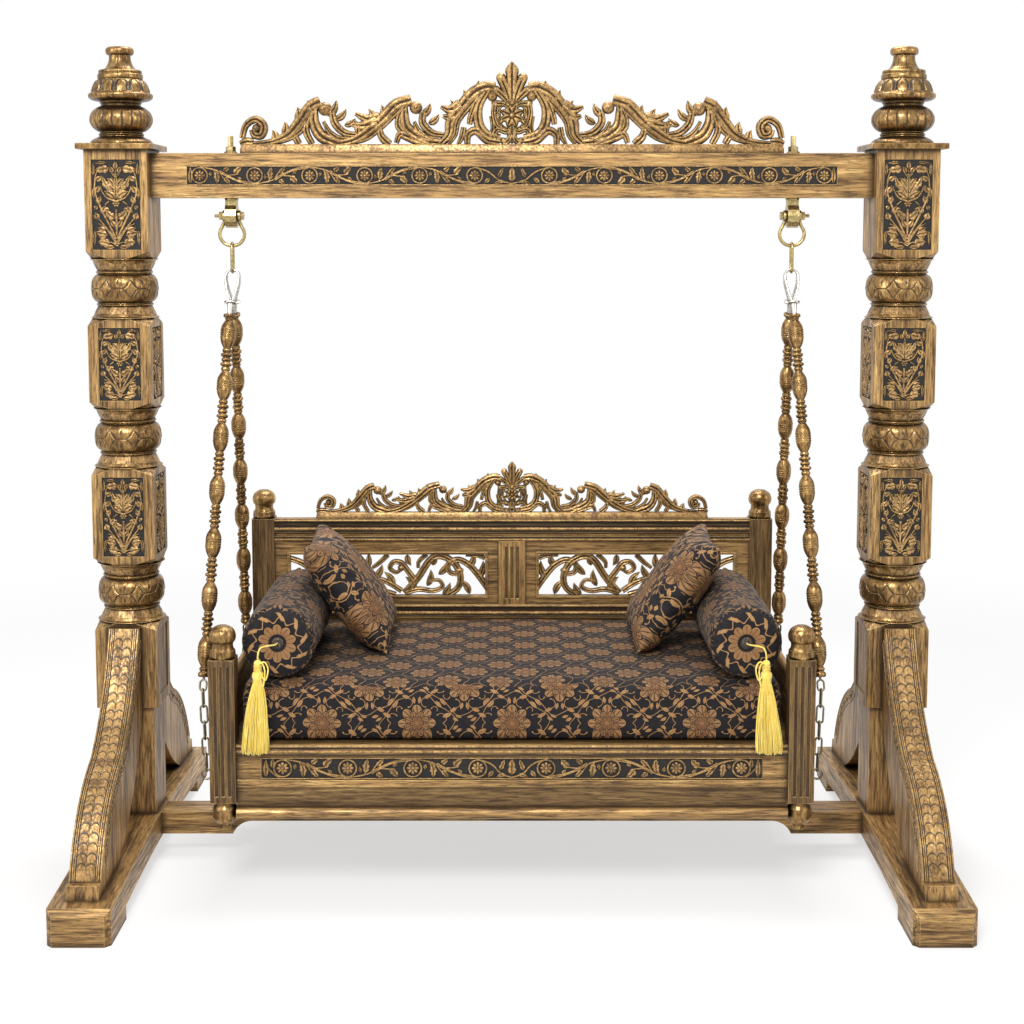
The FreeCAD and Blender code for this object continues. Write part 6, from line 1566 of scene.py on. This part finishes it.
def cloth(piece, pressure, cap, voxel, frames=20):
    """Remeshes a closed form, blows it up as cloth and keeps each point within a cap."""
    bpy.context.view_layer.objects.active = piece
    remesh = piece.modifiers.new("remesh", "REMESH")
    remesh.mode = "VOXEL"
    remesh.voxel_size = voxel
    apply_modifiers(piece)
    before = points_of(piece)
    modifier = piece.modifiers.new("cloth", "CLOTH")
    settings = modifier.settings
    settings.quality = 5
    settings.mass = 0.2
    settings.tension_stiffness = 12
    settings.compression_stiffness = 12
    settings.shear_stiffness = 6
    settings.bending_stiffness = 0.4
    settings.use_pressure = True
    settings.uniform_pressure_force = pressure
    settings.effector_weights.gravity = 0
    modifier.collision_settings.use_collision = False
    modifier.collision_settings.use_self_collision = False
    scene = bpy.context.scene
    modifier.point_cache.frame_start = 1
    modifier.point_cache.frame_end = frames
    for number in range(1, frames + 1):
        scene.frame_set(number)
    graph = bpy.context.evaluated_depsgraph_get()
    after = np.empty(len(before) * 3)
    piece.evaluated_get(graph).data.vertices.foreach_get("co", after)
    after = after.reshape(-1, 3)
    piece.modifiers.remove(modifier)
    scene.frame_set(1)
    move = after - before
    length = np.linalg.norm(move, axis=1, keepdims=True)
    move *= np.minimum(1.0, cap / np.maximum(length, 1e-9))
    set_points(piece, before + move)


def points_of(piece):
    flat = np.empty(len(piece.data.vertices) * 3)
    piece.data.vertices.foreach_get("co", flat)
    return flat.reshape(-1, 3)


def set_points(piece, points):
    piece.data.vertices.foreach_set("co", points.reshape(-1).astype(np.float32))
    piece.data.update()


def apply_modifiers(piece):
    graph = bpy.context.evaluated_depsgraph_get()
    made = bpy.data.meshes.new_from_object(piece.evaluated_get(graph))
    piece.modifiers.clear()
    old = piece.data
    piece.data = made
    bpy.data.meshes.remove(old)


def waves(points, seed, scale, size):
    """Soft uneven swellings, the same each time."""
    draw = np.random.RandomState(seed)
    out = np.zeros(len(points))
    for _ in range(9):
        way = draw.normal(size=3)
        way /= np.linalg.norm(way)
        out += np.sin(points @ way * scale * draw.uniform(0.6, 1.7) + draw.uniform(0, 2 * math.pi))
    return out / 9 * size


def raw_piece(name, verts, faces, place=None):
    mesh = bpy.data.meshes.new(name)
    mesh.from_pydata([tuple(v) for v in verts], [], faces)
    mesh.update()
    piece = bpy.data.objects.new(name, mesh)
    bpy.context.scene.collection.objects.link(piece)
    if place is not None:
        piece.matrix_world = place
    bpy.context.view_layer.update()
    return piece


def divided_box(divisions):
    """Corners from -1 to 1 and faces of a box, divided evenly along each axis."""
    verts, faces = [], []
    index = {}
    n = divisions

    def vertex(p):
        key = tuple(round(c, 6) for c in p)
        if key not in index:
            index[key] = len(verts)
            verts.append(p)
        return index[key]

    for axis in range(3):
        for sign in (-1, 1):
            counts = [n[k] for k in range(3) if k != axis]
            for i in range(counts[0]):
                for j in range(counts[1]):
                    quad = []
                    for a, b in ((i, j), (i + 1, j), (i + 1, j + 1), (i, j + 1)):
                        p = [0, 0, 0]
                        p[axis] = sign
                        others = [k for k in range(3) if k != axis]
                        p[others[0]] = -1 + 2 * a / counts[0]
                        p[others[1]] = -1 + 2 * b / counts[1]
                        quad.append(vertex(tuple(p)))
                    flip = (sign > 0) == (axis != 1)
                    faces.append(tuple(quad) if flip else tuple(reversed(quad)))
    made = np.array(verts, float)
    return made, faces


def finish_soft(piece, name, nodes, material):
    piece.name = name
    piece.data.name = name
    piece.data.materials.clear()
    piece.data.materials.append(material)
    piece.data.shade_smooth()
    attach(piece, "swing")
    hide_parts(*nodes)


def smooth_once(piece, levels=1):
    smooth = piece.modifiers.new("subdivision", "SUBSURF")
    smooth.levels = levels
    smooth.render_levels = levels
    apply_modifiers(piece)


def make_mattress():
    """A boxed mattress: crowned top, swollen sides, a piped seam round top and bottom."""
    x0, x1, y0, y1, z0, z1 = [v * MM for v in MATTRESS]
    half = np.array([(x1 - x0) / 2, (y1 - y0) / 2, (z1 - z0) / 2])
    centre = np.array([0, (y0 + y1) / 2, (z0 + z1) / 2])
    cube, faces = divided_box((96, 52, 14))
    unit = cube.copy()
    rounded = unit.copy()
    radius = 0.026
    flat = unit * half
    inner = np.clip(flat, -(half - radius), half - radius)
    push = flat - inner
    length = np.linalg.norm(push, axis=1, keepdims=True)
    rounded = inner + push / np.maximum(length, 1e-9) * np.minimum(length, radius)
    top = unit[:, 2] > 0
    span = np.cos(unit[:, 0] * math.pi / 2) ** 0.5 * np.cos(unit[:, 1] * math.pi / 2) ** 0.5
    span = np.nan_to_num(span)
    rounded[:, 2] += np.where(top, 0.008 * span, 0) * np.abs(unit[:, 2])
    piece = raw_piece("mattress_cover", rounded, faces, Matrix.Translation(Vector(centre)))
    cloth(piece, 3.0, 0.006, 0.011)
    points = points_of(piece)
    share = points / half
    side = np.maximum(np.abs(share[:, 0]), np.abs(share[:, 1]))
    # seams: the cover is drawn in under the piping, 22 mm from the top and bottom edges
    for level in (half[2] - 0.020, -half[2] + 0.020):
        pinch = np.exp(-((points[:, 2] - level) / 0.005) ** 2) * (side > 0.93)
        for axis in (0, 1):
            near = np.abs(share[:, axis]) > 0.93
            points[:, axis] -= np.sign(points[:, axis]) * pinch * near * 0.004
    sag = waves(points, 3, 16.0, 0.0055)
    crown = np.clip(share[:, 2], 0, 1)
    points[:, 2] += sag * crown * (1 - np.clip(side - 0.9, 0, 0.1) * 5)
    front = np.clip(-share[:, 1] - 0.85, 0, 0.15) / 0.15
    points[:, 1] += waves(points, 5, 26.0, 0.006) * front
    # the front edge dips a little between its ends
    points[:, 2] -= 0.004 * np.clip(share[:, 2], 0, 1) * np.clip(-share[:, 1], 0,
                                                                 1) * (1 + np.cos(points[:, 0] * 22))
    set_points(piece, points)
    limit = np.array([x1 + 0.004, y1 + 0.002, z1 + 0.016]) - centre
    set_points(piece, np.clip(points_of(piece), [-limit[0], y0 - 0.006 - centre[1], z0 - centre[2]], limit))
    smooth_once(piece)
    finish_soft(piece, "mattress_cover", ("mattress",), damask_mattress())


def make_bolsters():
    """Round bolsters, their ends gathered into a button, with a piped rim."""
    fabric = damask_bolster()
    for name, side in SIDES:
        length = BOLSTER_Y[1] - BOLSTER_Y[0]
        radius = BOLSTER_R - 2
        end = [(9, 10), (18, 7.5), (34, 4.2), (52, 2.0), (68, 1.5), (80, 4.5), (87.5, 11), (90.3, 22)]
        profile = [(0.6, 11)] + end + [(radius, 60)]
        steps = 26
        profile += [(radius + 1.2 * math.sin(math.pi * k / steps),
                     60 + (length - 120) * k / steps) for k in range(1, steps)]
        profile += [(radius, length - 60)] + [(r, length - h) for r, h in reversed(end)]
        profile += [(0.6, length - 11)]

        def carve(angle, height):
            near = min(height, length - height)
            if near > 26:
                return 0.9 * math.sin(angle * 3 + height * 0.021) + 0.8 * math.sin(angle * 5 - height * 0.034)
            return 0

        rows = turned_rows([[p] for p in profile], 96, (0, -length / 2, 0), (0, 1, 0), (1, 0, 0), carve=carve)
        # gathers: the ends are pleated towards the button
        for row, (radius_here, height) in zip(rows, profile):
            near = min(height, length - height)
            if near < 20 and 12 < radius_here < 88:
                way = 1 if height < length / 2 else -1
                for k, point in enumerate(row):
                    angle = 2 * math.pi * k / 96
                    fold = math.sin((radius_here - 12) / 76 * math.pi) ** 0.5
                    point.y += way * 0.0022 * math.cos(angle * 24) * fold
        mesh = Mesh()
        mesh.grid(rows, closed=True)
        centre = Vector((BOLSTER_X * side, (BOLSTER_Y[0] + BOLSTER_Y[1]) / 2, BOLSTER_Z)) * MM
        piece = raw_piece(f"{name}_bolster_cover", mesh.verts, mesh.faces, Matrix.Translation(centre))
        cloth(piece, 4.0, 0.004, 0.006)
        points = points_of(piece)
        points[:, 2] = np.maximum(points[:, 2], -(BOLSTER_R - 0.5) * MM)
        reach = np.hypot(points[:, 0], points[:, 2])
        limit = (BOLSTER_R + 1.5) * MM
        shrink = np.minimum(1.0, limit / np.maximum(reach, 1e-9))
        points[:, 0] *= shrink
        points[:, 2] *= shrink
        set_points(piece, points)
        smooth_once(piece)
        finish_soft(piece, f"{name}_bolster_cover", (f"{name}_bolster",), fabric)
        button = Mesh()
        dome = [[(0.5, -6.5), (9, -6.0), (16, -3.0), (19, 2.0), (19.5, 6.0)]]
        for y, way in ((BOLSTER_Y[0] + 8, 1), (BOLSTER_Y[1] - 8, -1)):
            rows = turned_rows(dome, 40, (BOLSTER_X * side, y, BOLSTER_Z), (0, way, 0), (1, 0, 0), steps=5)
            button.grid(rows, closed=True)
        button.add(f"{name}_bolster_buttons", "swing", "damask", BUTTON)


def plain_damask():
    g = Graph("button_cloth")
    grit = g.noise(g.place.outputs["Object"], 380.0, 2.0)
    thread = g.step(grit, 0.52, 0.66)
    return g.finish(
        Base_Color=g.mix(g.math("MULTIPLY", thread, 0.55), CHARCOAL, BRONZE),
        Roughness=0.6,
        Normal=g.bump(grit, 0.5, 0.0008),
    )


BUTTON = plain_damask()


def make_pillows():
    """Square pillows leaning on the bolsters: full middles, drawn sides and sharp corners."""
    fabric = damask_pillow()
    for name, side in SIDES:
        low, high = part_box(f"{name}_pillow")
        centre = (low + high) / 2
        half, thick = 0.181, 0.059
        steps = 56
        verts, faces = [], []
        for face in (1, -1):
            start = len(verts)
            for i in range(steps + 1):
                for j in range(steps + 1):
                    u, v = -1 + 2 * i / steps, -1 + 2 * j / steps
                    u = math.sin(u * math.pi / 2) * 0.25 + u * 0.75
                    v = math.sin(v * math.pi / 2) * 0.25 + v * 0.75
                    draw_u = 1 - 0.075 * (1 - v * v) * abs(u) ** 3
                    draw_v = 1 - 0.075 * (1 - u * u) * abs(v) ** 3
                    loft = max(0.0, (1 - abs(u) ** 2.6) * (1 - abs(v) ** 2.6)) ** 0.55
                    pucker = (0.0035 * math.sin(v * 19 + u * 3) * abs(u) ** 4
                              + 0.0035 * math.sin(u * 17 - v * 2) * abs(v) ** 4)
                    z = face * (0.0022 + (thick - 0.004) * loft + pucker * (1 if loft > 0.02 else 0))
                    verts.append(Vector((u * half * draw_u, v * half * draw_v, z)))
            for i in range(steps):
                for j in range(steps):
                    a = start + i * (steps + 1) + j
                    quad = (a, a + steps + 1, a + steps + 2, a + 1)
                    faces.append(quad if face > 0 else quad[::-1])
        offset = (steps + 1) ** 2
        rim = [i * (steps + 1) for i in range(steps)] + [steps * (steps + 1) + j for j in range(steps)]
        rim += [(steps - i) * (steps + 1) + steps for i in range(steps)] + [steps - j for j in range(steps)]
        for a, b in zip(rim, rim[1:] + rim[:1]):
            faces.append((b, a, a + offset, b + offset)[::-1])
        lean = Matrix.Rotation(math.radians(53) * -side, 4, "Y")
        piece = raw_piece(f"{name}_pillow_cover", verts, faces, Matrix.Translation(centre) @ lean)
        cloth(piece, 4.0, 0.006, 0.005)
        points = points_of(piece)
        points[:, 2] += waves(points, 11 if side < 0 else 12, 30.0,
                              0.0045) * np.clip(1 - np.abs(points[:, 0]) / half, 0, 1) ** 0.3
        set_points(piece, points)
        smooth_once(piece)
        finish_soft(piece, f"{name}_pillow_cover", (f"{name}_pillow",), fabric)


def make_tassels():
    """Bound heads, bows and skirts of many strands, on their cords."""
    for name, side in SIDES:
        draw = np.random.RandomState(21 if side < 0 else 22)
        x, y, top, low = TASSEL
        head = Mesh()
        groups = [[(2.4, 0), (7, -3), (9.5, -8), (8.0, -13)]]
        for k in range(4):
            z = -13 - k * 3.6
            groups.append([(8.6, z), (10.6, z - 1.8), (8.6, z - 3.6)])
        groups.append([(8.8, -27.4), (13.2, -33), (14.2, -40), (12.6, -46)])
        for k in range(3):
            z = -46 - k * 3.2
            groups.append([(11.6, z), (13.0, z - 1.6), (11.6, z - 3.2)])
        origin = (x * side, y, top)
        rows = turned_rows([[(r, -h) for r, h in g] for g in groups], 28, origin, (0, 0, -1), (1, 0, 0),
                           steps=4)
        head.grid(rows, closed=True)
        head.add(f"{name}_tassel_head", "swing", "silk", SILK, replaces=(f"{name}_tassel",))
        head = Mesh()
        drop = top - 54 - low
        for k in range(230):
            angle = 2 * math.pi * k * 0.381966
            layer = 0.45 + 0.55 * math.sqrt((k % 23) / 22)
            wide = draw.uniform(-2.0, 2.0)
            long = drop * draw.uniform(0.93, 1.0)
            sway = draw.uniform(-2.2, 2.2)
            line = []
            for j in range(9):
                t = j / 8
                flare = 11 + 20.5 * (1 - (1 - t) ** 1.8)
                flare_y = 11 + 6.5 * (1 - (1 - t) ** 1.8)
                line.append(Vector((
                    x * side + math.cos(angle) * (flare + wide * t) * layer + 10 * side * t
                    + sway * math.sin(t * 5),
                    y + math.sin(angle) * flare_y * layer,
                    top - 54 - long * t,
                )))
            rows = []
            for j, point in enumerate(line):
                thin = 1.15 if j < 8 else 0.8
                row = []
                for c in range(4):
                    a = math.pi * c / 2 + angle
                    row.append((point + Vector((math.cos(a) * thin, math.sin(a) * thin, 0))) * MM)
                rows.append(row)
            head.grid(rows, closed=True)
        # two loops of the bow beside the knot
        for k, (out, fall) in enumerate(((26, 46), (18, 62))):
            cx, cz = x * side, top - 2
            line = eased([
                (cx, y - 6, cz - 6), (cx - side * out * 0.7, y - 8, cz - 2 - 4 * k),
                (cx - side * out, y - 7, cz - fall * 0.45),
                (cx - side * out * 0.72, y - 8, cz - fall),
                (cx - side * out * 0.30, y - 8, cz - fall * 0.62), (cx, y - 6, cz - 12),
            ], 8)
            rows = []
            for j, point in enumerate(line):
                along = (line[min(j + 1, len(line) - 1)] - line[max(j - 1, 0)]).normalized()
                first = along.cross(Vector((0, 1, 0))).normalized()
                second = along.cross(first)
                rows.append([
                    (point + (first * math.cos(math.pi * c / 4)
                              + second * math.sin(math.pi * c / 4)) * 1.9) * MM
                    for c in range(8)
                ])
            head.grid(rows, closed=True)
        head.add(f"{name}_tassel_skirt", "swing", "silk", SILK, replaces=(f"{name}_tassel",))


CORD_ROUTE = ((577, -364, 650.7), (597, -388, 654), (617, -407, 652))


def make_tassel_cords():
    for name, side in SIDES:
        route = [(577, -344, 650.7), *CORD_ROUTE, (617, -407, 624)]
        curve = bpy.data.curves.new(f"{name}_tassel_line", "CURVE")
        curve.dimensions = "3D"
        curve.bevel_depth = 2.0 * MM
        curve.bevel_resolution = 3
        spline = curve.splines.new("NURBS")
        spline.points.add(len(route) - 1)
        for point, (x, y, z) in zip(spline.points, route):
            point.co = (x * side * MM, y * MM, z * MM, 1)
        spline.order_u = 3
        spline.use_endpoint_u = True
        spline.resolution_u = 12
        piece = bpy.data.objects.new(f"{name}_tassel_line", curve)
        bpy.context.scene.collection.objects.link(piece)
        curve.materials.append(SILK)
        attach(piece, "swing")
        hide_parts(f"{name}_tassel_cord")


# Materials on the solids that stay as they are

def paint_nodes():
    grain = {
        "left_foot_beam": "y", "right_foot_beam": "y", "stretcher": "x", "crossbeam": "x",
        "front_apron": "apron", "rear_apron": "x", "front_bottom_rail": "x", "back_top_rail": "x",
        "back_bottom_rail": "x",
        "left_side_rail": "y", "right_side_rail": "y", "left_arm_panel": "y", "right_arm_panel": "y",
        "seat_deck": "x",
    }
    metals = {"pivot_pins": ZINC, "hanger_bearings": ZINC, "hanger_nuts": ZINC}
    for name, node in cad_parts.items():
        if name in metals:
            material = metals[name]
        elif "seat_post" in name:
            material = WOOD["seat_post"]
        else:
            material = WOOD[grain.get(name, "z")]
        node.data.materials.clear()
        node.data.materials.append(material)


# Floor, light and camera

def make_stage():
    """A white floor that keeps the shadow near the swing, white surroundings and soft lamps."""
    bpy.ops.mesh.primitive_plane_add(size=60, location=(0, 0, 0))
    floor = bpy.context.object
    floor.name = "studio_floor"
    g = Graph("studio_floor")
    glow = g.node("ShaderNodeEmission", Color=(1, 1, 1, 1), Strength=1.0)
    ray = g.tree.nodes.new("ShaderNodeLightPath")
    both = g.tree.nodes.new("ShaderNodeMixShader")
    x, y, _ = g.split(g.place.outputs["Object"])
    reach = g.math("SQRT", g.math("ADD", g.math("MULTIPLY", x, x), g.math("MULTIPLY", y, y)))
    white = g.step(reach, 2.0, 4.5, 0.62, 1.0)
    seen = g.math("ADD", ray.outputs["Is Camera Ray"], ray.outputs["Is Glossy Ray"])
    seen = g.math("ADD", seen, ray.outputs["Is Transmission Ray"], clamp=True)
    g.put(both.inputs[0], g.math("MULTIPLY", seen, white))
    g.tree.links.new(g.shader.outputs[0], both.inputs[1])
    g.tree.links.new(glow.outputs[0], both.inputs[2])
    g.tree.links.new(both.outputs[0], g.output.inputs["Surface"])
    g.finish(Base_Color=(0.90, 0.90, 0.90, 1), Roughness=0.9)
    floor.data.materials.append(g.material)

    world = bpy.data.worlds.new("studio")
    bpy.context.scene.world = world
    world.use_nodes = True
    tree = world.node_tree
    tree.nodes.clear()
    out = tree.nodes.new("ShaderNodeOutputWorld")
    back = tree.nodes.new("ShaderNodeBackground")
    ray = tree.nodes.new("ShaderNodeLightPath")
    add = tree.nodes.new("ShaderNodeMath")
    more = tree.nodes.new("ShaderNodeMath")
    more.use_clamp = True
    level = tree.nodes.new("ShaderNodeMapRange")
    level.inputs[3].default_value = 0.34
    level.inputs[4].default_value = 1.0
    back.inputs["Color"].default_value = (1, 1, 1, 1)
    for source, target in (
        (ray.outputs["Is Camera Ray"], add.inputs[0]),
        (ray.outputs["Is Glossy Ray"], add.inputs[1]),
        (add.outputs[0], more.inputs[0]),
        (ray.outputs["Is Transmission Ray"], more.inputs[1]),
        (more.outputs[0], level.inputs[0]),
        (level.outputs[0], back.inputs["Strength"]),
        (back.outputs[0], out.inputs["Surface"]),
    ):
        tree.links.new(source, target)

    for name, place, aim, size, power in (
        ("key", (-0.9, -4.6, 4.4), (0, 0, 1.0), 1.6, 270),
        ("left", (-4.2, -2.4, 2.6), (0, 0, 0.9), 2.0, 45),
        ("right", (4.2, -2.4, 2.6), (0, 0, 0.9), 2.0, 35),
        ("top", (0.2, 0.9, 5.0), (0, 0, 0.6), 2.2, 170),
    ):
        lamp = bpy.data.lights.new(name, "AREA")
        lamp.size = size
        lamp.energy = power
        holder = bpy.data.objects.new(name, lamp)
        bpy.context.scene.collection.objects.link(holder)
        holder.location = place
        holder.rotation_euler = (Vector(aim) - Vector(place)).to_track_quat("-Z", "Y").to_euler()

    camera = bpy.data.cameras.new("camera")
    camera.lens = 60.03
    camera.sensor_width = 36
    camera.sensor_fit = "HORIZONTAL"
    camera.shift_y = -0.1056
    camera.clip_end = 100
    eye = bpy.data.objects.new("camera", camera)
    eye.location = (0, -4.4643, 1.6615)
    eye.rotation_euler = (math.radians(84.186), 0, 0)
    bpy.context.scene.collection.objects.link(eye)
    bpy.context.scene.camera = eye
    bpy.context.scene.view_settings.view_transform = "Standard"


make_stage()
paint_nodes()
carve_blocks()
turn_posts()
turn_finials()
carve_braces()
carve_friezes()
make_crest("crossbeam_crest_carving", CREST_HALF, BEAM_LOW + BEAM_HEIGHT, CREST_BASE, CREST_RISE, 0, 14,
           "stand", "crossbeam_crest")
make_crest("back_crest_carving", BACK_CREST_HALF, REAR_SQUARE_TOP, BACK_CREST_BASE, BACK_CREST_RISE,
           BACK_FACE + 14, 12, "swing", "back_crest")
make_back_panels()
make_mouldings()
make_gear()
make_rods()
turn_seat_posts()
make_mattress()
make_bolsters()
make_pillows()
make_tassels()
make_tassel_cords()
